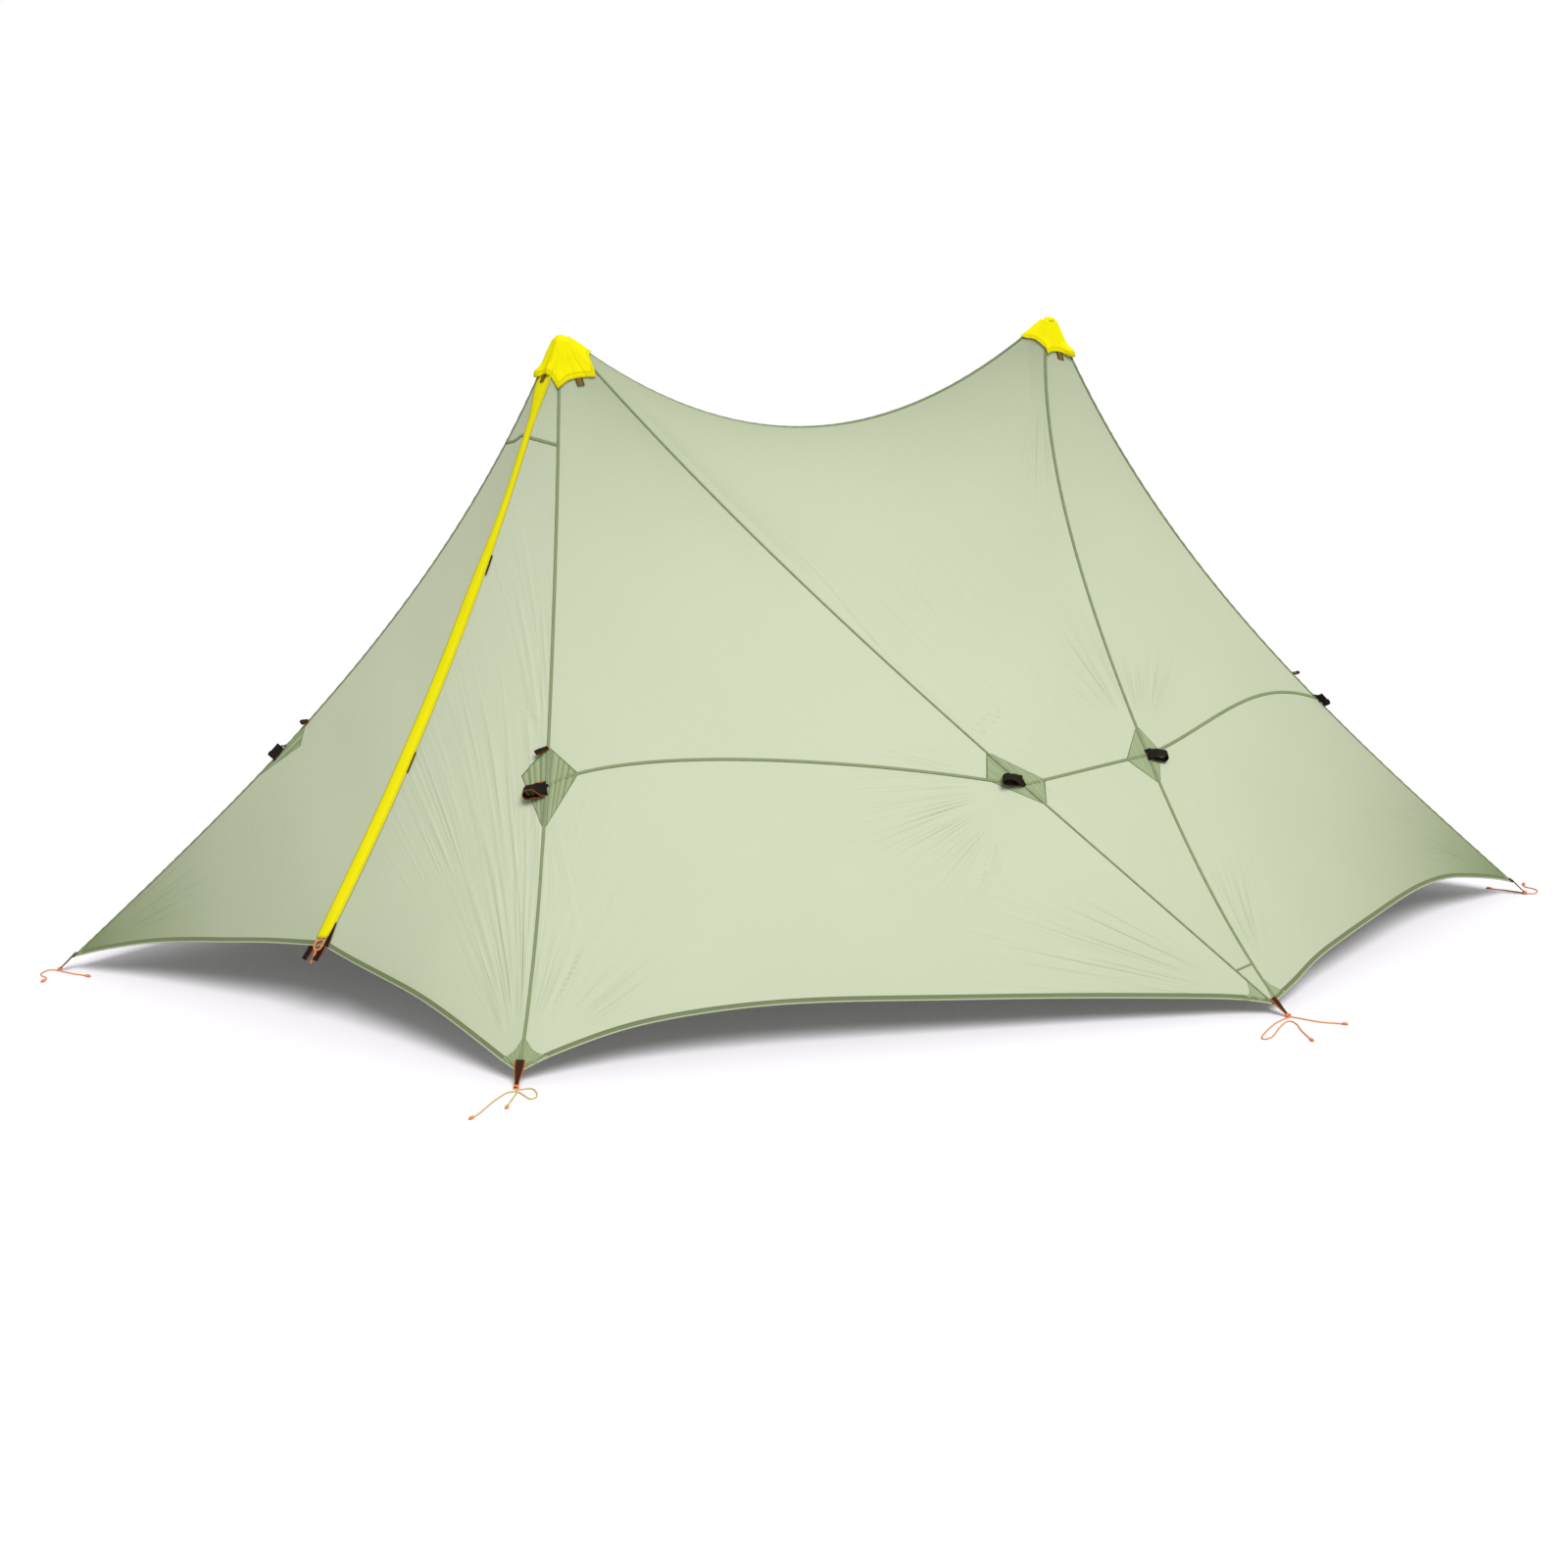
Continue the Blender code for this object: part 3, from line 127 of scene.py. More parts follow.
class Half(Enum):
    """The two matching halves of the tent."""

    FRONT = ("front", 1)
    REAR = ("rear", 2)

    @property
    def prefix(self) -> str:
        """First word of this half's body names."""
        return self.value[0]

    @property
    def number(self) -> int:
        """Suffix of this half's node names."""
        return self.value[1]

    def place(self, points: Array) -> Array:
        """Points of the first half, put where this half has them."""
        points = np.asarray(points, float)
        return points if self is Half.FRONT else points @ HALF_TURN

    def node(self, name: str) -> str:
        """Name of a CAD node or piece of this half."""
        return f"{name}_{self.number}"


# Shader maths

class Value:
    """Socket of a shader tree that sums and products can be written with."""

    def __init__(self, tree: bpy.types.NodeTree, socket: Socket) -> None:
        """Wraps a socket of the tree."""
        self.tree = tree
        self.socket = socket

    def apply(self, operation: str, *others: "Value | float", first: float | None = None) -> "Value":
        """Result of a Math node.

        Args:
            operation: the Math node's operation.
            others: further operands after this one.
            first: a number that goes before this one.

        Returns:
            The node's output.
        """
        node = self.tree.nodes.new("ShaderNodeMath")
        node.operation = operation
        operands = ([first] if first is not None else []) + [self, *others]
        for slot, operand in zip(node.inputs, operands):
            if isinstance(operand, Value):
                self.tree.links.new(operand.socket, slot)
            else:
                slot.default_value = operand
        return Value(self.tree, node.outputs[0])

    __add__ = __radd__ = partialmethod(apply, "ADD")
    __mul__ = __rmul__ = partialmethod(apply, "MULTIPLY")
    __sub__ = partialmethod(apply, "SUBTRACT")
    __truediv__ = partialmethod(apply, "DIVIDE")
    __gt__ = partialmethod(apply, "GREATER_THAN")
    __lt__ = partialmethod(apply, "LESS_THAN")
    __abs__ = partialmethod(apply, "ABSOLUTE")
    fraction = partialmethod(apply, "FRACT")

    def __rsub__(self, other: float) -> "Value":
        """Difference with this value taken away."""
        return self.apply("SUBTRACT", first=other)

    def ripple(self, pitch: float) -> "Value":
        """Sine with that pitch."""
        return (self * (math.tau / pitch)).apply("SINE")

    def clamp(self) -> "Value":
        """Kept between 0 and 1."""
        return self.apply("MINIMUM", 1.0).apply("MAXIMUM", 0.0)


class Shader:
    """Material under construction, with its Principled node."""

    def __init__(self, name: str) -> None:
        """Starts a material of that name."""
        self.material = bpy.data.materials.new(name)
        self.material.use_nodes = True
        self.tree = self.material.node_tree
        self.surface = self.tree.nodes["Principled BSDF"]

    def node(self, kind: str, settings: dict | None = None, **sockets: object) -> bpy.types.Node:
        """Adds one node.

        Args:
            kind: the node's type name without "ShaderNode".
            settings: the node's own settings, set before its sockets.
            sockets: values or links by socket name, with _ for a space.

        Returns:
            The node.
        """
        made = self.tree.nodes.new("ShaderNode" + kind)
        for key, setting in (settings or {}).items():
            setattr(made, key, setting)
        for key, given in sockets.items():
            self.put(made.inputs[key.replace("_", " ")], given)
        return made

    def put(self, slot: Socket, given: object) -> None:
        """Links or sets one socket."""
        if isinstance(given, Value):
            self.tree.links.new(given.socket, slot)
        elif isinstance(given, Socket):
            self.tree.links.new(given, slot)
        else:
            slot.default_value = given

    def number(self, socket: Socket) -> Value:
        """A socket as a value for expressions."""
        return Value(self.tree, socket)

    def attribute(self, name: str, output: str = "Fac") -> Socket:
        """Socket of an attribute of the mesh."""
        return self.node("Attribute", {"attribute_name": name}).outputs[output]

    def object_place(self) -> Socket:
        """Object coordinates."""
        return self.node("TexCoord").outputs["Object"]

    def cloth_place(self) -> tuple[Socket, Value, Value]:
        """The piece's own UV map as a vector and its two values."""
        chart = self.node("UVMap", {"uv_map": "Cloth"}).outputs["UV"]
        parts = self.node("SeparateXYZ", Vector=chart)
        return chart, self.number(parts.outputs["X"]), self.number(parts.outputs["Y"])

    def noise(self, place: Socket, scale: float, detail: float = 2.0) -> Value:
        """Noise around a half."""
        return self.number(self.node("TexNoise", None, Vector=place, Scale=scale, Detail=detail).outputs["Fac"])

    def stretched(self, place: Socket, scale: Triple) -> Socket:
        """Coordinates drawn out along the axes."""
        return self.node("Mapping", None, Vector=place, Scale=scale).outputs["Vector"]

    def blend(self, share: Value | float, first: object, second: object) -> Socket:
        """Mix of two colours.

        Args:
            share: how much of the second colour.
            first: colour or link.
            second: colour or link.

        Returns:
            The mixed colour's socket.
        """
        made = self.tree.nodes.new("ShaderNodeMix")
        made.data_type = "RGBA"
        self.put(made.inputs[0], share)
        self.put(made.inputs[6], first)
        self.put(made.inputs[7], second)
        return made.outputs[2]

    def bump(self, height: Value, distance: float, strength: float = 1.0,
             under: Socket | None = None) -> Socket:
        """Bump from a height.

        Args:
            height: relief from 0 to 1.
            distance: its depth in metres.
            strength: share of the effect.
            under: a normal that this relief stands on.

        Returns:
            The bumped normal's socket.
        """
        made = self.node("Bump", None, Height=height, Distance=distance, Strength=strength)
        if under is not None:
            self.put(made.inputs["Normal"], under)
        return made.outputs["Normal"]

    def finish(self, colour: object, roughness: object, normal: Socket | None = None,
               **constants: float) -> Material:
        """Fills the Principled node.

        Args:
            colour: base colour or link.
            roughness: number or link.
            normal: bumped normal.
            constants: plain values for other sockets, with _ for a space.

        Returns:
            The material.
        """
        self.put(self.surface.inputs["Base Color"], colour)
        self.put(self.surface.inputs["Roughness"], roughness)
        if normal is not None:
            self.put(self.surface.inputs["Normal"], normal)
        for key, number in constants.items():
            self.surface.inputs[key.replace("_", " ")].default_value = number
        return self.material


def sum_of(values: Iterable[Value]) -> Value:
    """Sum of one or more values."""
    return reduce(operator.add, values)


def rgba(colour: Triple, gain: float = 1.0) -> tuple[float, ...]:
    """Linear colour with alpha, made lighter or darker."""
    return (*(min(max(c * gain, 0.0), 1.0) for c in colour), 1.0)


# Finishes

@dataclass(frozen=True)
class CoatedCloth:
    """Thin coated ripstop cloth."""

    name: str
    colour: Triple
    # colour that the painted shade blends to
    deep: Triple
    ripstop: float = 0.0062
    thread: float = 0.0007
    thread_share: float = 0.09
    crumple_depth: float = 0.0007
    fold_depth: float = 0.0015
    weave_depth: float = 0.00012
    roughness: float = 0.56
    slot: str = "cloth_green"

    def make(self) -> Material:
        """Builds the material on the cloth's own chart, in metres."""
        shader = Shader(self.name)
        chart, u, v = shader.cloth_place()
        cloud = shader.noise(chart, 5.0, 3.0)
        crumple = shader.noise(chart, 90.0, 4.0)
        grid = sum_of((side / self.ripstop).fraction() < self.thread_share for side in (u, v))
        weave = u.ripple(self.thread) * v.ripple(self.thread)
        tint = shader.blend(cloud, rgba(self.colour, 0.965), rgba(self.colour, 1.03))
        tint = shader.blend(grid.clamp() * 0.16, tint, rgba(self.colour, 0.80))
        tint = shader.blend(crumple * 0.10, tint, rgba(self.colour, 0.88))
        # painted shade: the green darkens towards the shade colour near the ridge, the peaks, the end corners and the
        # floor
        depth = shader.number(shader.attribute("Depth"))
        tint = shader.blend(depth, tint, rgba(self.deep))
        fold = shader.attribute("Fold", "Vector")
        strain = shader.number(shader.node("SeparateXYZ", Vector=fold).outputs["Z"])
        run = shader.stretched(fold, (1.0, 1.0, 0.0))
        folds = ((shader.noise(run, 1.0, 1.0) - 0.5) * 4.0).clamp() + shader.noise(run, 2.3, 0.0) * 0.35
        relief = shader.bump(crumple, self.crumple_depth, 0.35)
        relief = shader.bump(folds * strain, self.fold_depth, 1.0, relief)
        relief = shader.bump(grid.clamp() * 0.7 + weave * 0.3, self.weave_depth, 0.6, relief)
        return shader.finish(
            tint, cloud * 0.10 + crumple * 0.06 + (self.roughness - 0.08), relief,
            Specular_IOR_Level=0.18,
        )


@dataclass(frozen=True)
class SeamTape:
    """Felled seam or hem: folded cloth layers with rows of stitches.

    The chart runs along it in metres and across from 0 to 1.
    """

    name: str
    colour: Triple
    dark: Triple
    thread: Triple = (0.20, 0.24, 0.12)
    stitch: float = 0.0034
    rows: Pair = (0.26, 0.74)
    row_width: float = 0.035
    dash: float = 0.72
    pucker: float = 0.0075
    pale_edge: float = 0.0
    slot: str = "cloth_green"

    def make(self) -> Material:
        """Builds the material."""
        shader = Shader(self.name)
        chart, u, v = shader.cloth_place()
        place = shader.object_place()
        cloud = shader.noise(place, 14.0, 3.0)
        crumple = shader.noise(place, 260.0, 2.0)
        edge = ((abs(v - 0.5) * 2.0 - 0.62) * 2.6).clamp()
        line = sum_of(abs(v - row) < self.row_width for row in self.rows)
        stitch = ((u / self.stitch).fraction() < self.dash) * line.clamp()
        tint = shader.blend(edge, rgba(self.colour), rgba(self.dark))
        tint = shader.blend((cloud - 0.45) * 0.8, tint, rgba(self.dark, 1.15))
        tint = shader.blend(stitch * 0.75, tint, rgba(self.thread))
        if self.pale_edge:
            tint = shader.blend((v < self.pale_edge) * 0.85, tint, rgba(GREEN, 0.92))
        pucker = u.ripple(self.pucker) * 0.5 + 0.5
        relief = shader.bump(pucker * 0.5 + crumple * 0.5, 0.0006, 0.5)
        relief = shader.bump(stitch, 0.0005, 0.8, relief)
        return shader.finish(tint, crumple * 0.1 + 0.60, relief, Specular_IOR_Level=0.2)


@dataclass(frozen=True)
class Patch:
    """Layer of reinforcing cloth, darker where the layers add up, with painted shade in the valleys of its pleats and
    a stitched rim.
    """

    name: str
    colour: Triple
    rim: Triple
    rim_at: float = 0.468
    slot: str = "cloth_green"

    def make(self) -> Material:
        """Builds the material. The chart runs from 0 to 1 both ways over the patch."""
        shader = Shader(self.name)
        chart, u, v = shader.cloth_place()
        place = shader.object_place()
        cloud = shader.noise(place, 30.0, 3.0)
        fine = shader.noise(place, 700.0, 2.0)
        near_rim = sum_of(abs(side - 0.5) > self.rim_at for side in (u, v))
        painted_pleat_shade = shader.number(shader.attribute("Depth"))
        tint = shader.blend(cloud, rgba(self.colour, 0.94), rgba(self.colour, 1.07))
        # painted shade in the valleys of the pleats, in the rim colour
        tint = shader.blend(painted_pleat_shade * 0.75, tint, rgba(self.rim))
        tint = shader.blend(near_rim.clamp() * 0.8, tint, rgba(self.rim))
        relief = shader.bump(fine, 0.0003, 0.4)
        return shader.finish(tint, fine * 0.08 + 0.60, relief, Specular_IOR_Level=0.2)


@dataclass(frozen=True)
class CapCloth:
    """Bright coated cloth of the peak caps and storm flaps, with stitched hems where the chart says."""

    name: str
    colour: Triple
    shade: Triple
    hems: tuple[float, ...]
    hem_width: float = 0.022
    stitch: float = 0.0036
    dash: float = 0.7
    slot: str = "cap_yellow"

    def make(self) -> Material:
        """Builds the material. The chart runs along the hem in metres and across it from 0 to 1."""
        shader = Shader(self.name)
        chart, u, v = shader.cloth_place()
        place = shader.object_place()
        cloud = shader.noise(place, 24.0, 3.0)
        fine = shader.noise(place, 420.0, 3.0)
        lines = sum_of(abs(v - hem) < self.hem_width for hem in self.hems)
        stitch = lines.clamp() * ((u / self.stitch).fraction() < self.dash)
        rim = (v - 0.86) * 12.0 if len(self.hems) < 2 else (abs(v - 0.5) * 2.0 - 0.74) * 8.0
        outer = rim.clamp()
        tint = shader.blend(cloud, rgba(self.colour, 0.97), rgba(self.colour, 1.03))
        tint = shader.blend(outer * 0.45, tint, rgba(self.shade))
        tint = shader.blend(stitch * 0.6, tint, rgba(self.shade, 0.8))
        relief = shader.bump(fine, 0.0005, 0.35)
        relief = shader.bump(outer * 0.5 + (1 - stitch) * 0.5, 0.0005, 0.6, relief)
        return shader.finish(tint, fine * 0.1 + 0.62, relief, Specular_IOR_Level=0.05)


@dataclass(frozen=True)
class Webbing:
    """Woven tape with a coloured selvedge. The chart runs along it in metres and across from 0 to 1."""

    name: str
    colour: Triple
    light: Triple
    selvedge: Triple
    selvedge_share: float = 0.07
    slot: str = "webbing_black"
    rib: float = 0.0018
    twill: float = 0.0036

    def make(self) -> Material:
        """Builds the material."""
        shader = Shader(self.name)
        chart, u, v = shader.cloth_place()
        place = shader.object_place()
        rib = u.ripple(self.rib) * 0.5 + 0.5
        twill = (u / self.twill + v * 4.0).ripple(1.0) * 0.5 + 0.5
        fuzz = shader.noise(place, 900.0, 3.0)
        wear = shader.noise(place, 60.0, 3.0)
        edge = (abs(v - 0.5) * 2.0) > (1.0 - 2 * self.selvedge_share)
        tint = shader.blend(rib * 0.35 + twill * 0.35 + fuzz * 0.2, rgba(self.colour), rgba(self.light))
        tint = shader.blend(edge * (wear * 0.5 + 0.6), tint, rgba(self.selvedge))
        relief = shader.bump(rib * 0.5 + twill * 0.5, 0.0004, 0.7)
        relief = shader.bump(fuzz, 0.0003, 0.5, relief)
        return shader.finish(tint, fuzz * 0.12 + 0.80, relief, Specular_IOR_Level=0.12)


@dataclass(frozen=True)
class Braid:
    """Thin braided cord with flecks."""

    name: str
    colour: Triple
    fleck: Triple
    slot: str = "cord_white"

    def make(self) -> Material:
        """Builds the material on Object coordinates, because the flecks have no direction."""
        shader = Shader(self.name)
        place = shader.object_place()
        cells = shader.node("TexVoronoi", {"feature": "F1"}, Vector=place, Scale=900.0)
        bead = 1 - shader.number(cells.outputs["Distance"])
        speck = shader.noise(place, 480.0, 2.0)
        tint = shader.blend(((speck - 0.5) * 5.0).clamp() * 0.55, rgba(self.colour), rgba(self.fleck))
        relief = shader.bump(bead, 0.0004, 0.7)
        return shader.finish(tint, speck * 0.1 + 0.66, relief, Sheen_Weight=0.2)


@dataclass(frozen=True)
class Moulded:
    """Moulded plastic, foam or rubber with a fine grain."""

    name: str
    colour: Triple
    roughness: float
    grain: float = 700.0
    depth: float = 0.0003
    slot: str = "plastic_black"

    def make(self) -> Material:
        """Builds the material on Object coordinates."""
        shader = Shader(self.name)
        place = shader.object_place()
        fine = shader.noise(place, self.grain, 4.0)
        wear = shader.noise(place, 40.0, 3.0)
        tint = shader.blend(wear * 0.5, rgba(self.colour), rgba(self.colour, 1.6))
        relief = shader.bump(fine, self.depth, 0.5)
        return shader.finish(tint, wear * 0.14 + (self.roughness - 0.06), relief, Specular_IOR_Level=0.5)


@dataclass(frozen=True)
class DrawnTube:
    """Anodised drawn aluminium tube."""

    name: str
    colour: Triple
    roughness: float
    slot: str = "aluminium"

    def make(self) -> Material:
        """Builds the material with drawing lines along the pole."""
        shader = Shader(self.name)
        place = shader.object_place()
        lines = shader.noise(shader.stretched(place, (900.0, 900.0, 12.0)), 1.0, 3.0)
        wear = shader.noise(place, 25.0, 4.0)
        tint = shader.blend(wear * 0.5, rgba(self.colour), rgba(self.colour, 0.82))
        relief = shader.bump(lines, 0.00008, 0.5)
        return shader.finish(tint, lines * 0.14 + wear * 0.08 + (self.roughness - 0.1), relief, Metallic=1.0)


GREEN = (0.556, 0.603, 0.432)
# green of the painted shade on the canopy cloth
PAINTED_SHADE_GREEN = (0.150, 0.200, 0.082)
SEAM_GREEN = (0.250, 0.305, 0.155)
SEAM_DARK = (0.140, 0.175, 0.072)
YELLOW = (0.91, 0.83, 0.002)
YELLOW_SHADE = (0.66, 0.54, 0.003)


@dataclass
class Wardrobe:
    """Every finish of the tent, made once."""

    cloth: CoatedCloth = CoatedCloth("canopy_cloth", GREEN, PAINTED_SHADE_GREEN)
    seam: SeamTape = SeamTape("seam_tape", SEAM_GREEN, SEAM_DARK)
    hem: SeamTape = SeamTape("hem_tape", (0.165, 0.20, 0.095), (0.11, 0.14, 0.058), pale_edge=0.26)
    patch: Patch = Patch("patch_cloth", (0.310, 0.372, 0.205), (0.135, 0.17, 0.075))
    cap: CapCloth = CapCloth("cap_cloth", YELLOW, YELLOW_SHADE, (0.88,))
    flap: CapCloth = CapCloth("flap_cloth", (0.88, 0.805, 0.006), (0.64, 0.53, 0.004), (0.12, 0.88))
    black_web: Webbing = Webbing(
        "loop_webbing", (0.006, 0.005, 0.004), (0.018, 0.013, 0.010), (0.26, 0.060, 0.016), 0.075
    )
    plain_web: Webbing = Webbing(
        "plain_loop_webbing", (0.006, 0.005, 0.004), (0.016, 0.012, 0.009), (0.030, 0.012, 0.007)
    )
    brown_web: Webbing = Webbing(
        "strap_webbing", (0.028, 0.012, 0.006), (0.060, 0.024, 0.010), (0.55, 0.14, 0.02), 0.12, "webbing_brown"
    )
    tab_web: Webbing = Webbing(
        "cap_tab_webbing", (0.15, 0.115, 0.030), (0.20, 0.155, 0.045), (0.12, 0.035, 0.006), 0.20, "webbing_brown"
    )
    zip_tape: Webbing = Webbing("zip_tape", (0.08, 0.10, 0.05), (0.12, 0.15, 0.08), (0.06, 0.08, 0.04))
    pale_cord: Braid = Braid("pale_cord", (0.68, 0.50, 0.13), (0.62, 0.26, 0.04))
    amber_cord: Braid = Braid("amber_cord", (0.78, 0.27, 0.05), (0.80, 0.50, 0.18))
    orange_cord: Braid = Braid("orange_cord", (0.88, 0.20, 0.035), (0.95, 0.42, 0.10), "cord_orange")
    plastic: Moulded = Moulded("moulded_black", (0.022, 0.022, 0.022), 0.42)
    foam: Moulded = Moulded("grip_foam", (0.035, 0.035, 0.036), 0.88, 1400.0, 0.0006, "foam_black")
    tube: DrawnTube = DrawnTube("pole_tube", (0.62, 0.63, 0.65), 0.34)
    made: dict[str, Material] = field(default_factory=dict)

    def get(self, finish: object) -> Material:
        """The finish's material, built at its first use."""
        if finish.name not in self.made:
            self.made[finish.name] = finish.make()
        return self.made[finish.name]

    def dress(self, piece: Piece, finish: object) -> Piece:
        """Gives a piece its material and reports it."""
        piece.data.materials.clear()
        piece.data.materials.append(self.get(finish))
        LOG.info("%s in %s", piece.name, finish.name)
        return piece


# Meshes

def add_object(name: str, data: bpy.types.ID) -> Piece:
    """Links a new object at the origin."""
    made = bpy.data.objects.new(name, data)
    bpy.context.scene.collection.objects.link(made)
    return made


def grid_area(points: Array) -> float:
    """Area of a grid of points, in square metres."""
    cells = np.cross(points[1:, 1:] - points[:-1, :-1], points[1:, :-1] - points[:-1, 1:])
    return float(np.linalg.norm(cells, axis=-1).sum() / 2)


def grid_mesh(name: str, points: Array, chart: Array, outward: Array, closed: bool = False) -> Piece:
    """Mesh of quads over a grid of points.

    Args:
        name: the object's name.
        points: rows x columns x 3.
        chart: rows x columns x 2, which becomes the UV map Cloth.
        outward: direction that the middle of the grid should face.
        closed: whether the last column joins the first.

    Returns:
        The object, smooth-shaded.
    """
    rows, columns = points.shape[:2]
    index = np.arange(rows * columns).reshape(rows, columns)
    step = columns if closed else columns - 1
    right = np.roll(index, -1, axis=1) if closed else index[:, 1:]
    left = index[:, :step]
    quads = np.stack([left[:-1], left[1:], right[1:, :step], right[:-1, :step]], axis=-1).reshape(-1, 4)
    middle = quads[len(quads) // 2]
    corner = points.reshape(-1, 3)[middle]
    facing = np.cross(corner[2] - corner[0], corner[3] - corner[1])
    if facing @ outward < 0:
        quads = quads[:, ::-1]
    mesh = bpy.data.meshes.new(name)
    mesh.vertices.add(rows * columns)
    mesh.vertices.foreach_set("co", points.reshape(-1).astype(np.float32))
    mesh.loops.add(quads.size)
    mesh.loops.foreach_set("vertex_index", quads.reshape(-1).astype(np.int32))
    mesh.polygons.add(len(quads))
    mesh.polygons.foreach_set("loop_start", np.arange(0, quads.size, 4, dtype=np.int32))
    mesh.update(calc_edges=True)
    layer = mesh.uv_layers.new(name="Cloth")
    flat = chart.reshape(-1, 2)[quads.reshape(-1)].astype(np.float32)
    layer.data.foreach_set("uv", flat.reshape(-1))
    mesh.polygons.foreach_set("use_smooth", np.ones(len(quads), bool))
    mesh.validate()
    return add_object(name, mesh)


def surface_tree(grid: Array) -> BVHTree:
    """Search tree over a grid of points."""
    rows, columns = grid.shape[:2]
    index = np.arange(rows * columns).reshape(rows, columns)
    quads = np.stack([index[:-1, :-1], index[1:, :-1], index[1:, 1:], index[:-1, 1:]], axis=-1).reshape(-1, 4)
    return BVHTree.FromPolygons([Vector(p) for p in grid.reshape(-1, 3)], quads.tolist())


def write_attribute(piece: Piece, name: str, kind: str, values: Array) -> None:
    """Stores a number or a vector for each vertex of a piece."""
    layer = piece.data.attributes.new(name, kind, "POINT")
    layer.data.foreach_set("value" if kind == "FLOAT" else "vector", values.reshape(-1).astype(np.float32))


def give_wall(piece: Piece, wall: float, offset: float = -1.0) -> Piece:
    """Solidify, inwards by default."""
    layer = piece.modifiers.new("Wall", "SOLIDIFY")
    layer.thickness = wall
    layer.offset = offset
    layer.use_even_offset = False
    return piece


def membrane(flat: Array) -> Array:
    """Heights of a cloth stretched between its four edges.

    Args:
        flat: rows x columns x 3, in-plane place and height, with the edges' heights right.

    Returns:
        The same grid with every inner height solved, row by row.
    """
    place = flat[..., :2]
    height = flat[..., 2]
    rows, columns = height.shape
    step_across = np.linalg.norm(np.diff(place, axis=1), axis=-1) + 1e-6
    step_down = np.linalg.norm(np.diff(place, axis=0), axis=-1) + 1e-6
    wide_down = np.linalg.norm(place[2:] - place[:-2], axis=-1) / 2
    wide_across = np.linalg.norm(place[:, 2:] - place[:, :-2], axis=-1) / 2
    across = (wide_down[:, :-1] + wide_down[:, 1:]) / 2 / step_across[1:-1]
    down = (wide_across[:-1] + wide_across[1:]) / 2 / step_down[:, 1:-1]
    inner = columns - 2
    carried, knowns = [], []
    for i in range(1, rows - 1):
        level = across[i - 1]
        system = np.diag(level[:-1] + level[1:] + down[i - 1] + down[i])
        system -= np.diag(level[1:-1], 1) + np.diag(level[1:-1], -1)
        known = np.zeros(inner)
        known[0] += level[0] * height[i, 0]
        known[-1] += level[-1] * height[i, -1]
        if i == 1:
            known += down[0] * height[0, 1:-1]
        else:
            link = down[i - 1]
            system -= link[:, None] * carried[-1] * link[None]
            known += link * (carried[-1] @ knowns[-1])
        if i == rows - 2:
            known += down[-1] * height[-1, 1:-1]
        carried.append(np.linalg.inv(system))
        knowns.append(known)
    solved = height.copy()
    below = np.zeros(inner)
    for i in range(rows - 2, 0, -1):
        pull = down[i] * below if i < rows - 2 else 0.0
        below = carried[i - 1] @ (knowns[i - 1] + pull)
        solved[i, 1:-1] = below
    result = flat.copy()
    result[..., 2] = solved
    return result


# Canopy shape

@dataclass(frozen=True)
class Plane:
    """Flat frame of one face: outward normal and in-plane axes."""

    origin: Array
    n: Array
    x: Array
    y: Array

    @classmethod
    def through(cls, top: Array, left: Array, right: Array) -> "Plane":
        """Frame through three corners, facing away from the floor's middle."""
        normal = np.cross(left - top, right - top)
        if normal @ ((top + left + right) / 3 + UP) < 0:
            normal = -normal
        n = unit(normal)
        x = unit(np.cross(UP, n))
        return cls(np.array(top, float), n, x, np.cross(n, x))

    def flat(self, points: Array) -> Array:
        """Points in this frame."""
        d = np.asarray(points) - self.origin
        return np.stack([d @ self.x, d @ self.y, d @ self.n], axis=-1)

    def space(self, flat: Array) -> Array:
        """Points of this frame back in the row frame."""
        return self.origin + flat[..., :1] * self.x + flat[..., 1:2] * self.y + flat[..., 2:] * self.n


@dataclass(frozen=True)
class RowPlan:
    """Rows of mesh above the door arc, between it and the tie-outs, and below them."""

    above: int = 14
    between: int = 56
    below: int = 60

    @property
    def tie(self) -> int:
        """Row of the tie-outs."""
        return self.above + self.between

    def shares(self, first: float, arc: float, tie: float, last: float) -> Array:
        """Even steps between the four marks."""
        return np.concatenate([
            np.linspace(first, arc, self.above + 1)[:-1],
            np.linspace(arc, tie, self.between + 1)[:-1],
            np.linspace(tie, last, self.below + 1),
        ])


@dataclass(frozen=True)
class SeamCut:
    """Catenary cut of one seam."""

    sag: float
    skew: float
    direction: Triple
    side: Triple
    tie_out: float
    tip_cut: float

    def points(self, start: Array, foot: Array, shares: Array) -> Array:
        """Points of the seam at shares of its straight length."""
        t = np.asarray(shares, float)[:, None]
        bow, q = 4 * t * (1 - t), 1 - 2 * t
        a, b, c = self.side
        across = bow * (a + b * q + c * q * q) * np.array([1.0, 0.0, 0.0])
        straight = start + (foot - start) * t
        return straight + self.sag * bow * (1 + self.skew * q) * np.array(self.direction) + across


@dataclass(frozen=True)
class HemCut:
    """Cut of a hem: its share and rise at a few stations above the straight line between its tips."""

    rise: Triple
    stations: Curve

    def heights(self, shares: Array) -> Array:
        """Rise at shares of the line, smooth between the stations."""
        curve = smooth_route([(0.0, 0.0), *self.stations, (1.0, 0.0)], 0.004)
        return np.interp(shares, curve[:, 0], curve[:, 1])

    def points(self, left: Array, right: Array, shares: Array) -> Array:
        """Points of the hem between its two tips."""
        rise = self.heights(shares)[:, None] * unit(np.array(self.rise))
        return left + (right - left) * shares[:, None] + rise


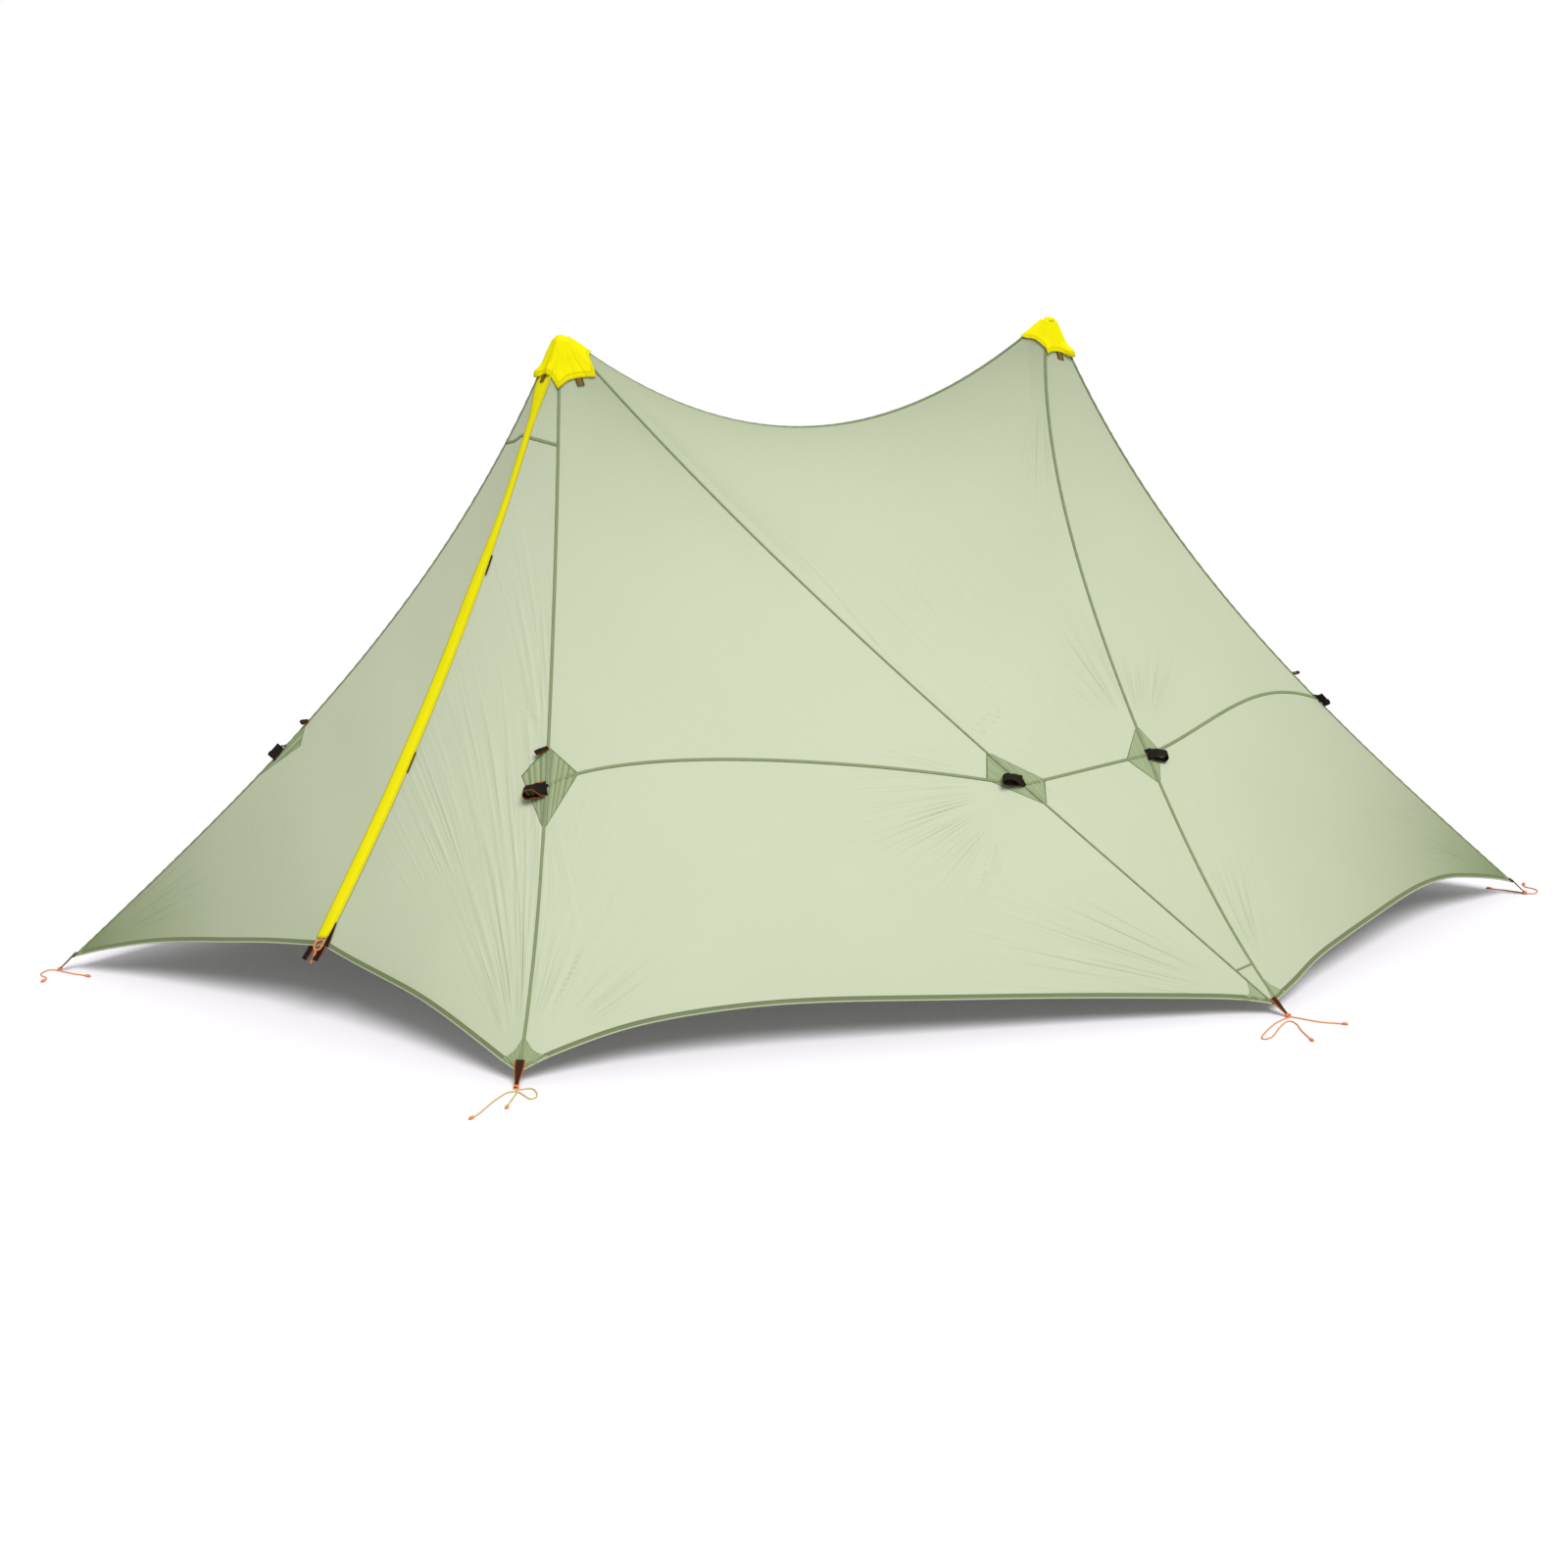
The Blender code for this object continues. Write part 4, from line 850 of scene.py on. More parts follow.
@dataclass
class Face:
    """One panel of the canopy as a fine grid of points, rows from the peak to the hem."""

    name: str
    plane: Plane
    grid: Array
    chart: Array
    tree: BVHTree | None = None
    fold: Array | None = None

    def normals(self) -> Array:
        """Outward normals at the grid's points."""
        made = unit(np.cross(np.gradient(self.grid, axis=1), np.gradient(self.grid, axis=0)))
        return -made if (made @ self.plane.n).sum() < 0 else made

    def rim_fade(self, width: float) -> Array:
        """0 on the side seams, 1 past that distance from them."""
        steps = np.linalg.norm(np.diff(self.grid, axis=1), axis=-1)
        left = np.concatenate([np.zeros((len(steps), 1)), np.cumsum(steps, axis=1)], axis=1)
        return ease(left / width) * ease((left[:, -1:] - left) / width)

    def seen_from(self, fan: "Fan") -> tuple[Array, Array]:
        """Distances along a fan's middle and across it, from its point of strain to each point of the chart."""
        rows, columns = self.grid.shape[:2]
        at, aim = (
            self.chart[round(down * (rows - 1)), round(across * (columns - 1))] for down, across in (fan.at, fan.aim)
        )
        aim = unit(aim - at)
        away = self.chart - at
        return away @ aim, away @ np.array([-aim[1], aim[0]])

    def drop(self, points: Array, lift: float = 0.0) -> Array:
        """Points moved along the plane's normal onto the cloth, and lifted off it."""
        n = Vector(self.plane.n)
        placed = []
        for p in np.asarray(points, float).reshape(-1, 3):
            hit, normal, _, _ = self.tree.ray_cast(Vector(p) + n * 0.35, -n, 0.7)
            if hit is None:
                hit, normal, _, _ = self.tree.find_nearest(Vector(p))
            if normal.dot(n) < 0:
                normal = -normal
            placed.append(np.array(hit + normal * lift))
        return np.array(placed).reshape(np.shape(points))


@dataclass(frozen=True)
class Fan:
    """Creases that run out from a point of strain.

    The point and the aim are given as (row, column) shares of the face's grid.
    """

    at: Pair
    aim: Pair
    spread: float
    near: float
    far: float
    count: int
    height: float
    width: float


@dataclass(frozen=True)
class FlapPlan:
    """Width of the storm flap, a waist that widens towards the foot and under the cap.

    The distances run down the parting line.
    """

    waist: float = 0.0185
    slope: float = 0.0025
    foot_gain: float = 0.0115
    foot_from: float = 0.28
    foot_over: float = 0.22
    top_gain: float = 0.0135
    top_from: float = 0.06
    top_over: float = 0.11

    def widths(self, s: Array) -> Array:
        """Widths at distances down the line."""
        lower = self.waist + self.foot_gain * ease((s - self.foot_from) / self.foot_over) + self.slope * s
        return lower + self.top_gain * (1 - ease((s - self.top_from) / self.top_over))


@dataclass(frozen=True)
class LeafPlan:
    """How the door's leaves hang: the rise under the cap's arc and the lift of the foot."""

    column_pull: float = 0.25
    arc_rise: float = 0.010
    arc_place: float = 0.70
    arc_width: float = 0.22
    arc_rows: float = 6.0
    foot_rows: int = 24
    foot_reach: float = 0.06
    seam_reach: float = 0.12


def spread_columns(count: int, pull: float = 0.55) -> Array:
    """Shares from 0 to 1, closer together near both ends."""
    x = np.linspace(0, 1, count + 1)
    return x - pull * np.sin(math.tau * x) / math.tau


@dataclass(frozen=True)
class CanopyPlan:
    """Cut of the canopy. The lengths are those of the CAD frame."""

    peak_z: float = 1.20
    peak_x: float = 0.4732
    corner_end: Pair = (-1.4713, 0.1746)
    corner_front: Pair = (-0.6969, -0.6602)
    corner_side: Pair = (0.7035, -0.6982)
    ridge_sag: float = 0.187
    peak_radius: float = 0.0095
    start: float = 0.034
    arc_at: float = 0.1355
    hinge_at: float = 0.145
    end_cut: SeamCut = SeamCut(0.0845, 0.35, (0.75, -0.13, -0.65), (0.0, 0.0, 0.0), 0.600, 0.040)
    front_cut: SeamCut = SeamCut(0.113, 0.20, (0, 0.85, -0.53), (0.0322, -0.0064, 0.0082), 0.600, 0.030)
    long_cut: SeamCut = SeamCut(0.0808, 0.54, (0.01, 0.867, -0.497), (0.0, 0.0, 0.0), 0.650, 0.035)
    side_cut: SeamCut = SeamCut(0.135, 0.15, (0, 0.84, -0.55), (-0.043, -0.014, -0.0428), 0.605, 0.035)
    door_foot: Triple = (-0.972, -0.239, 0.176)
    zip_sag: float = 0.045
    zip_arc_at: float = 0.190
    hinge_part_at: float = 0.2026
    hinge_top: float = 0.42
    hinge_foot_end: float = 0.160
    hinge_foot_front: float = 0.118
    flap_top: float = 0.012
    flap_foot: float = 0.023
    flap: FlapPlan = FlapPlan()
    leaf: LeafPlan = LeafPlan()
    foot_reach: float = 0.0325
    tail_before: float = 0.020
    tail_length: float = 0.0525
    tail_right: float = 0.006
    tail_in: float = 0.004
    front_hem: HemCut = HemCut((0.0, 0.49, 0.872), (
        (0.05, 0.0255), (0.13, 0.0545), (0.205, 0.0692), (0.30, 0.0763), (0.40, 0.0738), (0.55, 0.0600),
        (0.71, 0.0445), (0.87, 0.0255), (0.95, 0.0140),
    ))
    end_hem: HemCut = HemCut((-0.287, 0.421, 0.860), (
        (0.08, 0.0130), (0.19, 0.0345), (0.30, 0.0465), (0.45, 0.0590), (0.56, 0.0675), (0.66, 0.0708),
        (0.76, 0.0640), (0.85, 0.0450), (0.94, 0.0205),
    ))
    door_left_hem: HemCut = HemCut((0.0, 0.0, 1.0), (
        (0.14, 0.0116), (0.30, 0.0197), (0.45, 0.0197), (0.61, 0.0158), (0.77, 0.0120), (0.92, 0.0046),
    ))
    door_right_hem: HemCut = HemCut((0.0, 0.0, 1.0), (
        (0.13, 0.0018), (0.28, 0.0073), (0.43, 0.0127), (0.54, 0.0138), (0.66, 0.0117), (0.81, 0.0065),
        (0.93, 0.0010),
    ))
    front_arch: Pair = (0.048, 0.6425)
    end_arch: Pair = (0.040, 1.609)
    # strength and reach of the painted shade near the ridge, the end corners, the floor and the peaks
    ridge_shade: Pair = (0.29, 0.11)
    corner_shade: Pair = (0.95, 0.385)
    floor_shade: Pair = (0.12, 0.15)
    peak_shade: Pair = (0.17, 0.25)
    rows: RowPlan = RowPlan()
    face_columns: int = 170
    door_columns: int = 110


class Canopy:
    """Seams and faces of the first half, worked out from the plan."""

    def __init__(self, plan: CanopyPlan) -> None:
        """Works out every seam and face."""
        self.plan = plan
        self.peak = np.array([-plan.peak_x, 0.0, plan.peak_z - 0.0016])
        self.far_peak = self.peak * [-1, 1, 1]
        self.foot_end = np.array([*plan.corner_end, 0.0])
        self.foot_front = np.array([*plan.corner_front, 0.0])
        self.foot_side = np.array([*plan.corner_side, 0.0])
        self.foot_far = -self.foot_end
        self.seam_end = self.seam(self.ring(self.peak, TURNS["end"]), self.foot_end, plan.end_cut)
        self.seam_front = self.seam(self.ring(self.peak, TURNS["front"]), self.foot_front, plan.front_cut)
        self.seam_long = self.seam(self.ring(self.peak, TURNS["long"]), self.foot_side, plan.long_cut)
        self.seam_side = self.seam(self.ring(self.far_peak, TURNS["side"]), self.foot_side, plan.side_cut)
        self.lay_out_door()
        self.faces = {
            "front": self.front_face(), "roof": self.roof_face(), "end": self.end_face(),
            "door_left": self.door_face(True), "door_right": self.door_face(False),
        }

    def ring(self, peak: Array, degrees: float) -> Array:
        """Point of the pole tip's ring, where a seam starts."""
        turn = math.radians(degrees)
        return peak + self.plan.peak_radius * np.array([math.cos(turn), math.sin(turn), 0.0])

    def seam(self, start: Array, foot: Array, cut: SeamCut) -> Array:
        """One seam's points, a point for each row."""
        length = np.linalg.norm(foot - start)
        shares = self.plan.rows.shares(
            self.plan.start / length, self.plan.arc_at, cut.tie_out, 1 - cut.tip_cut / length
        )
        return cut.points(start, foot, shares)

    def depth(self, points: Array) -> Array:
        """Share of painted shade on the cloth's green, from 0 to 1, near the ridge, the peaks, the end corners and
        the floor.
        """
        plan = self.plan
        along = np.clip((points[..., 0] + plan.peak_x) / (2 * plan.peak_x), 0, 1)
        line = self.ridge(along.reshape(-1)).reshape(points.shape)
        corner = self.foot_end * np.sign(points[..., :1]) * -1
        peak = self.peak * np.where(points[..., :1] < 0, 1.0, [-1, 1, 1])
        from_ridge, from_corner, from_peak = (
            np.linalg.norm(points - place, axis=-1) for place in (line, corner, peak)
        )
        (ridge, ridge_reach), (corner, corner_reach) = plan.ridge_shade, plan.corner_shade
        (floor, floor_reach), (peak, peak_reach) = plan.floor_shade, plan.peak_shade
        deep = ridge * np.exp(-from_ridge / ridge_reach) + corner * np.exp(-((from_corner / corner_reach) ** 1.2))
        deep = deep + floor * np.exp(-np.abs(points[..., 2]) / floor_reach)
        return np.clip(deep + peak * np.exp(-from_peak / peak_reach), 0, 0.95)

    def ridge(self, shares: Array) -> Array:
        """Points of the sagging ridge."""
        start, end = self.ring(self.peak, 0), self.ring(self.far_peak, 180)
        t = np.asarray(shares, float)[:, None]
        return start + (end - start) * t - self.plan.ridge_sag * 4 * t * (1 - t) * UP

    def stretch(self, name: str, plane: Plane, left: Array, right: Array, top: Array, hem: Array,
                u: Array, arch: Pair) -> Face:
        """Stretches one face between its seams.

        Args:
            name: face name.
            plane: its flat frame.
            left: left seam.
            right: right seam.
            top: top row.
            hem: hem row.
            u: column shares.
            arch: how far the cross seam arches up, and where its highest point is.

        Returns:
            The face.
        """
        rise, power = arch
        left, right, top, hem = (plane.flat(p) for p in (left, right, top, hem))
        tie = self.plan.rows.tie
        share = u[:, None]
        bend = u ** power
        cross = left[tie] * (1 - share) + right[tie] * share
        cross[:, 1] += rise * 4 * bend * (1 - bend)
        upper = self.coons(top, cross, left[: tie + 1], right[: tie + 1], u)
        lower = self.coons(cross, hem, left[tie:], right[tie:], u)
        flat = membrane(np.concatenate([upper, lower[1:]]))
        return Face(name, plane, plane.space(flat), flat[..., :2].copy())

    @staticmethod
    def coons(top: Array, bottom: Array, left: Array, right: Array, u: Array) -> Array:
        """Fills a block of a grid from its four edges."""
        v = reach_along(left)
        v = (v / v[-1])[:, None, None]
        u = u[None, :, None]
        across = (1 - u) * left[:, None] + u * right[:, None]
        down = (1 - v) * top[None] + v * bottom[None]
        corners = (1 - v) * ((1 - u) * top[0] + u * top[-1]) + v * ((1 - u) * bottom[0] + u * bottom[-1])
        return across + down - corners

    def wall(self, name: str, plane: Plane, left: Array, right: Array, cut: HemCut,
             arch: Pair) -> Face:
        """Panel whose top row runs straight between its seams.

        Args:
            name: face name.
            plane: its flat frame.
            left: left seam.
            right: right seam.
            cut: its hem.
            arch: arch of the cross seam.

        Returns:
            The face.
        """
        u = spread_columns(self.plan.face_columns)
        top = left[0] * (1 - u[:, None]) + right[0] * u[:, None]
        return self.stretch(name, plane, left, right, top, cut.points(left[-1], right[-1], u), u, arch)

    def front_face(self) -> Face:
        """Front panel between the door's seam and the long seam."""
        plane = Plane.through(self.peak, self.foot_front, self.foot_side)
        return self.wall("front", plane, self.seam_front, self.seam_long, self.plan.front_hem, self.plan.front_arch)

    def end_face(self) -> Face:
        """End panel between the side seam and the far end's seam."""
        plane = Plane.through(self.far_peak, self.foot_side, self.foot_far)
        far = self.seam_end @ HALF_TURN
        return self.wall("end", plane, self.seam_side, far, self.plan.end_hem, self.plan.end_arch)

    def roof_face(self) -> Face:
        """Roof panel between the ridge and the corner where the two seams meet."""
        u = spread_columns(self.plan.face_columns)
        span = np.linalg.norm(self.ring(self.far_peak, 180) - self.ring(self.peak, 0))
        inset = self.plan.start / span
        cut = 1 / 12
        t = inset + (1 - 2 * inset) * (u - cut) / (1 - 2 * cut)
        top = self.ridge(np.clip(t, inset, 1 - inset))
        left = np.clip(1 - u / cut, 0, 1)[:, None]
        right = np.clip(1 - (1 - u) / cut, 0, 1)[:, None]
        top = top + left * (self.seam_long[0] - top[0]) + right * (self.seam_side[0] - top[-1])
        share = u[:, None]
        hem = self.seam_long[-1] * (1 - share) + self.seam_side[-1] * share
        plane = Plane.through(self.peak, self.foot_side, self.far_peak)
        return self.stretch("roof", plane, self.seam_long, self.seam_side, top, hem, u, (0.0, 1.0))

    def lay_out_door(self) -> None:
        """Parting line, flap width and hinge lines of the door."""
        plan = self.plan
        self.door_plane = Plane.through(self.peak, self.foot_end, self.foot_front)
        n = self.door_plane.n
        start, foot = self.ring(self.peak, TURNS["part"]), np.array(plan.door_foot)
        right = unit(np.cross(n, unit(foot - start)))
        self.part_start = start + right * plan.flap_top / 2
        self.part_foot = foot + right * plan.flap_foot / 2
        self.part_length = float(np.linalg.norm(self.part_foot - self.part_start))
        self.part_down = unit(self.part_foot - self.part_start)
        self.part_right = unit(np.cross(n, self.part_down))
        out = np.cross(self.part_down, self.part_right)
        self.part_out = out if out @ n > 0 else -out
        self.zip_radius = (self.part_length ** 2 / 4 + plan.zip_sag ** 2) / (2 * plan.zip_sag)
        reach = reach_along(self.seam_end)
        arc = plan.rows.above
        share = (reach - reach[arc]) / (reach[-1] - reach[arc])
        s = plan.zip_arc_at + (self.part_length + plan.foot_reach - plan.zip_arc_at) * share
        s[: arc + 1] = np.linspace(plan.start, plan.zip_arc_at, arc + 1)
        self.part_s = s
        self.part = self.part_points(s)
        self.flap_width = plan.flap.widths(s)
        part_top = self.part_points(np.array([plan.hinge_part_at]))[0]
        tops = []
        for degrees, seam_foot, cut in (
            (TURNS["end"], self.foot_end, plan.end_cut), (TURNS["front"], self.foot_front, plan.front_cut),
        ):
            seam_top = cut.points(self.ring(self.peak, degrees), seam_foot, np.array([plan.hinge_at]))[0]
            tops.append(seam_top + plan.hinge_top * (part_top - seam_top))
        top_left, top_right = tops
        foot_left = self.foot_end + plan.hinge_foot_end * unit(foot - self.foot_end)
        foot_right = self.foot_front + plan.hinge_foot_front * unit(foot - self.foot_front)
        self.hinges = {"left": (top_left, foot_left), "right": (top_right, foot_right)}

    def part_points(self, s: Array) -> Array:
        """Points of the parting arc at distances down its chord."""
        plan = self.plan
        s = np.asarray(s, float)
        drop = np.sqrt(self.zip_radius ** 2 - (s - self.part_length / 2) ** 2) - (self.zip_radius - plan.zip_sag)
        tail = np.clip((s - self.part_length + plan.tail_before) / plan.tail_length, 0, None)[:, None] ** 2
        arc = self.part_start + s[:, None] * self.part_down - drop[:, None] * self.part_out
        return arc - tail * (plan.tail_right * self.part_right + plan.tail_in * self.part_out)

    def door_face(self, left_side: bool) -> Face:
        """One half of the door, from its seam to the parting line or from the parting line to its seam."""
        plan, leaf = self.plan, self.plan.leaf
        u = spread_columns(plan.door_columns, leaf.column_pull)
        seam = self.door_plane.flat(self.seam_end if left_side else self.seam_front)
        part = self.door_plane.flat(self.part)
        first, last = (seam, part) if left_side else (part, seam)
        share = u[None, :, None]
        flat = first[:, None] * (1 - share) + last[:, None] * share
        rise = (plan.door_left_hem if left_side else plan.door_right_hem).heights(u)
        flat[-1, 1:-1, 1] += rise[1:-1]
        arc_lift = leaf.arc_rise if left_side else 0.0
        arc_lift = arc_lift * np.exp(-(((u - leaf.arc_place) / leaf.arc_width) ** 2)) * np.sin(math.pi * u)
        near_arc = np.exp(-(((np.arange(len(flat)) - plan.rows.above) / leaf.arc_rows) ** 2))
        flat[1:, :, 1] += near_arc[1:, None] * arc_lift
        lower = flat[-leaf.foot_rows:]
        lower[:-1, 1:-1, 1] += rise[1:-1] * np.linspace(0, 1, leaf.foot_rows)[:-1, None] ** 2
        away = np.linalg.norm((flat[-1] - part[-1])[:, :2], axis=-1)
        seam_away = np.linalg.norm((flat[-1] - seam[-1])[:, :2], axis=-1)
        reach = self.flap_width[-1] if left_side else leaf.foot_reach
        flat[-1, :, 2] = part[-1, 2] * np.clip(1 - away / reach, 0, 1)
        flat[-1, :, 2] += seam[-1, 2] * np.clip(1 - seam_away / leaf.seam_reach, 0, 1) ** 2
        solved = membrane(flat)
        name = "door_left" if left_side else "door_right"
        return Face(name, self.door_plane, self.door_plane.space(solved), solved[..., :2].copy())


FANS: dict[str, tuple[Fan, ...]] = {
    "front": (
        Fan((1.0, 0.0), (0.55, 0.09), 15, 0.07, 0.52, 20, 0.42, 4.6),
        Fan((1.0, 0.0), (0.80, 0.30), 14, 0.10, 0.40, 9, 0.30, 5.5),
        Fan((0.54, 0.0), (0.85, 0.10), 16, 0.06, 0.36, 14, 0.42, 3.8),
        Fan((1.0, 1.0), (0.80, 0.60), 13, 0.12, 0.62, 16, 0.34, 5.0),
        Fan((0.54, 1.0), (0.62, 0.70), 34, 0.07, 0.34, 14, 0.36, 4.4),
    ),
    "roof": (
        Fan((0.54, 1.0), (0.20, 0.60), 24, 0.06, 0.42, 16, 0.45, 4.4),
        Fan((0.54, 0.0), (0.25, 0.40), 22, 0.06, 0.38, 14, 0.42, 4.4),
        Fan((1.0, 0.5), (0.42, 0.46), 10, 0.55, 1.15, 26, 1.0, 3.8),
        Fan((0.0, 1.0), (0.35, 0.75), 14, 0.10, 0.34, 8, 0.30, 5.0),
    ),
    "end": (
        Fan((1.0, 0.0), (0.60, 0.16), 16, 0.07, 0.46, 16, 0.32, 4.8),
        Fan((0.54, 0.0), (0.80, 0.22), 20, 0.06, 0.26, 10, 0.30, 4.6),
        Fan((1.0, 1.0), (0.72, 0.62), 15, 0.10, 0.52, 16, 0.34, 5.0),
        Fan((0.54, 0.0), (0.35, 0.45), 18, 0.06, 0.26, 8, 0.26, 4.6),
    ),
    "door_left": (
        Fan((1.0, 0.0), (0.68, 0.42), 15, 0.12, 0.66, 26, 0.42, 4.0),
        Fan((0.54, 0.0), (0.80, 0.45), 17, 0.06, 0.34, 14, 0.36, 3.8),
    ),
    "door_right": (
        Fan((1.0, 1.0), (0.45, 0.52), 21, 0.08, 0.86, 46, 0.62, 3.6),
        Fan((0.54, 1.0), (0.22, 0.66), 12, 0.06, 0.50, 20, 0.60, 3.6),
        Fan((0.54, 1.0), (0.85, 0.55), 18, 0.06, 0.34, 16, 0.46, 3.6),
    ),
}


class CreasedCanopy:
    """The canopy of one half with its strain creases, different in each half."""

    FOLD_CHART = (42.0, 2.6)
    FOLD_SHIFT = (13.7, 5.1)
    FOLD_RIM = 0.012
    CREASE_RIM = 0.010
    SWELL_RIM = 0.12
    SWELL_HEIGHT = 0.00035
    SWELL_COUNT = 5
    SWELL_PITCHES = (0.22, 0.5)
    TOP_FADE = 0.12
    HEM_FADE = 0.02
    CREASE_STARTS = (0.8, 1.9)
    CREASE_REACHES = (0.30, 1.0)
    CREASE_HEIGHTS = (0.35, 1.0)
    CREASE_WIDTHS = (0.75, 1.3)
    CREASE_SWAY = 0.012
    HEIGHT_GAIN = 2.2
    WIDTH_GAIN = 0.85
    SIDE_LOSS = 0.45
    GROOVE_DEPTH = 0.45
    GROOVE_PLACE = 1.9

    def __init__(self, canopy: Canopy, half: Half) -> None:
        """Creases every face."""
        self.half = half
        self.faces = {name: self.crease(face) for name, face in canopy.faces.items()}

    def crease(self, face: Face) -> Face:
        """A copy of the face with creases pressed into it."""
        random = np.random.default_rng(37 * self.half.number + sum(map(ord, face.name)))
        relief = np.zeros(face.grid.shape[:2])
        for fan in FANS[face.name]:
            relief += self.fan_relief(face, fan, random)
        relief *= face.rim_fade(self.CREASE_RIM)
        swell = self.swell(face.chart, random) * face.rim_fade(self.SWELL_RIM)
        down = np.linspace(0, 1, len(relief))[:, None]
        fade = ease(down / self.TOP_FADE)
        lift = (relief * MM + swell) * fade * ease((1 - down) / self.HEM_FADE)
        lifted = face.grid + face.normals() * lift[..., None]
        return Face(face.name, face.plane, lifted, face.chart, surface_tree(lifted), self.fold_chart(face, fade))

    def fold_chart(self, face: Face, fade: Array) -> Array:
        """Chart of the finest folds round the nearest point of strain.

        Args:
            face: the face.
            fade: share of the folds in each row.

        Returns:
            Turn round the point, distance from it and strength, for each point of the grid.
        """
        charts, strengths = [], []
        for k, fan in enumerate(FANS[face.name]):
            along, across = face.seen_from(fan)
            radius, turn = np.hypot(along, across), np.arctan2(across, along)
            window = ease((radius - fan.near * 0.9) / 0.12) * (1 - ease((radius - fan.far * 0.4) / (fan.far * 0.85)))
            strengths.append(window * np.exp(-((turn / math.radians(fan.spread * 1.25)) ** 4)))
            pair = zip((turn, radius), self.FOLD_CHART, self.FOLD_SHIFT)
            charts.append(np.stack([value * scale + shift * k for value, scale, shift in pair], axis=-1))
        strengths, charts = np.array(strengths), np.array(charts)
        order = np.sort(strengths, axis=0)
        best = strengths.argmax(axis=0)
        chart = np.take_along_axis(charts, best[None, ..., None], axis=0)[0]
        strength = (order[-1] - order[-2]) * fade * face.rim_fade(self.FOLD_RIM)
        return np.concatenate([chart, strength[..., None]], axis=-1)

    def fan_relief(self, face: Face, fan: Fan, random: np.random.Generator) -> Array:
        """Height in millimetres of one fan's creases.

        Args:
            face: the face.
            fan: the fan's place and sizes.
            random: seeded numbers.

        Returns:
            The relief over the grid.
        """
        along, across = face.seen_from(fan)
        radius, angle = np.hypot(along, across), np.arctan2(across, along)
        relief = np.zeros(radius.shape)
        for k in range(fan.count):
            place = (k + random.uniform(0.1, 0.9)) / fan.count * 2 - 1
            turn = math.radians(fan.spread) * place
            begin = fan.near * random.uniform(*self.CREASE_STARTS)
            reach = (fan.far - fan.near) * random.uniform(*self.CREASE_REACHES)
            stop = begin + reach * (1 - self.SIDE_LOSS * place * place)
            height = self.HEIGHT_GAIN * fan.height * random.uniform(*self.CREASE_HEIGHTS)
            width = self.WIDTH_GAIN * fan.width * MM * random.uniform(*self.CREASE_WIDTHS)
            sway = random.uniform(-self.CREASE_SWAY, self.CREASE_SWAY)
            offset = radius * np.sin(angle - turn - sway * np.sin(radius * 14 + k))
            window = ease((radius - begin) / 0.05) * (1 - ease((radius - stop * 0.62) / (stop * 0.38)))
            groove = np.exp(-(((offset - self.GROOVE_PLACE * width) / width) ** 2))
            profile = np.exp(-((offset / width) ** 2)) - self.GROOVE_DEPTH * groove
            relief += height * window * profile * (along > 0)
        return relief

    def swell(self, chart: Array, random: np.random.Generator) -> Array:
        """Faint broad unevenness of the stretched cloth, in metres."""
        made = np.zeros(chart.shape[:2])
        for _ in range(self.SWELL_COUNT):
            direction = random.uniform(0, math.pi)
            wavelength = random.uniform(*self.SWELL_PITCHES)
            phase = random.uniform(0, 6.28)
            run = chart[..., 0] * math.cos(direction) + chart[..., 1] * math.sin(direction)
            made += self.SWELL_HEIGHT * np.sin(run * math.tau / wavelength + phase)
        return made


# What the makers share

@dataclass
class Maker:
    """Maker of pieces of one half. Its points are the first half's until they are placed."""

    wardrobe: Wardrobe
    half: Half

    RIBBON_STEPS = 9
    EDGE_SHARE = 0.35
    EDGE_ANGLE = 50

    def grid(self, name: str, points: Array, chart: Array, outward: Array, closed: bool = False) -> Piece:
        """Mesh over a grid of points, put where this half has them."""
        return grid_mesh(self.node_name(name), self.half.place(points), chart, self.half.place(outward), closed)

    def node_name(self, name: str) -> str:
        """Name of this half's piece or CAD node."""
        return self.half.node(name)

    def cad_points(self, name: str) -> Array:
        """Corners of this half's CAD node, put where the first half has them."""
        return self.half.place(np.array([v.co for v in bpy.data.objects[self.node_name(name)].data.vertices]))

    def ribbon(self, name: str, path: Array, wide: Array, widths: Array, wall: float, finish: Webbing,
               crown: float = 0.0) -> Piece:
        """Flat woven band that follows a path.

        Args:
            name: piece name.
            path: centre line.
            wide: direction of its width, one or a row for each point.
            widths: its width at each point.
            wall: its thickness.
            finish: its finish.
            crown: how far its middle stands up.

        Returns:
            The band with rounded edges.
        """
        path = np.asarray(path, float)
        wide = np.broadcast_to(unit(wide), path.shape)
        lift = unit(np.cross(wide, unit(np.gradient(path, axis=0))))
        steps = np.linspace(-1, 1, self.RIBBON_STEPS)
        widths = np.broadcast_to(widths, len(path))
        points = np.stack([
            path + wide * (widths * s / 2)[:, None] + lift * (crown * (1 - s * s)) for s in steps
        ], axis=1)
        piece = self.grid(name, points, chart_of(reach_along(path), steps / 2 + 0.5), lift[len(path) // 2])
        give_wall(piece, wall, 0.0)
        soft = piece.modifiers.new("Edges", "BEVEL")
        soft.width = wall * self.EDGE_SHARE
        soft.segments = 2
        soft.angle_limit = math.radians(self.EDGE_ANGLE)
        return self.wardrobe.dress(piece, finish)

    def tube(self, name: str, points: Array, radius: float) -> Piece:
        """Round cord as a curve of one spline, put where this half has it."""
        name = self.node_name(name)
        curve = bpy.data.curves.new(name, "CURVE")
        curve.dimensions = "3D"
        curve.bevel_depth = radius
        curve.bevel_resolution = 3
        curve.use_fill_caps = True
        spline = curve.splines.new("POLY")
        spline.points.add(len(points) - 1)
        for target, p in zip(spline.points, self.half.place(points)):
            target.co = (*p, 1.0)
        return add_object(name, curve)


# Tapes and patches

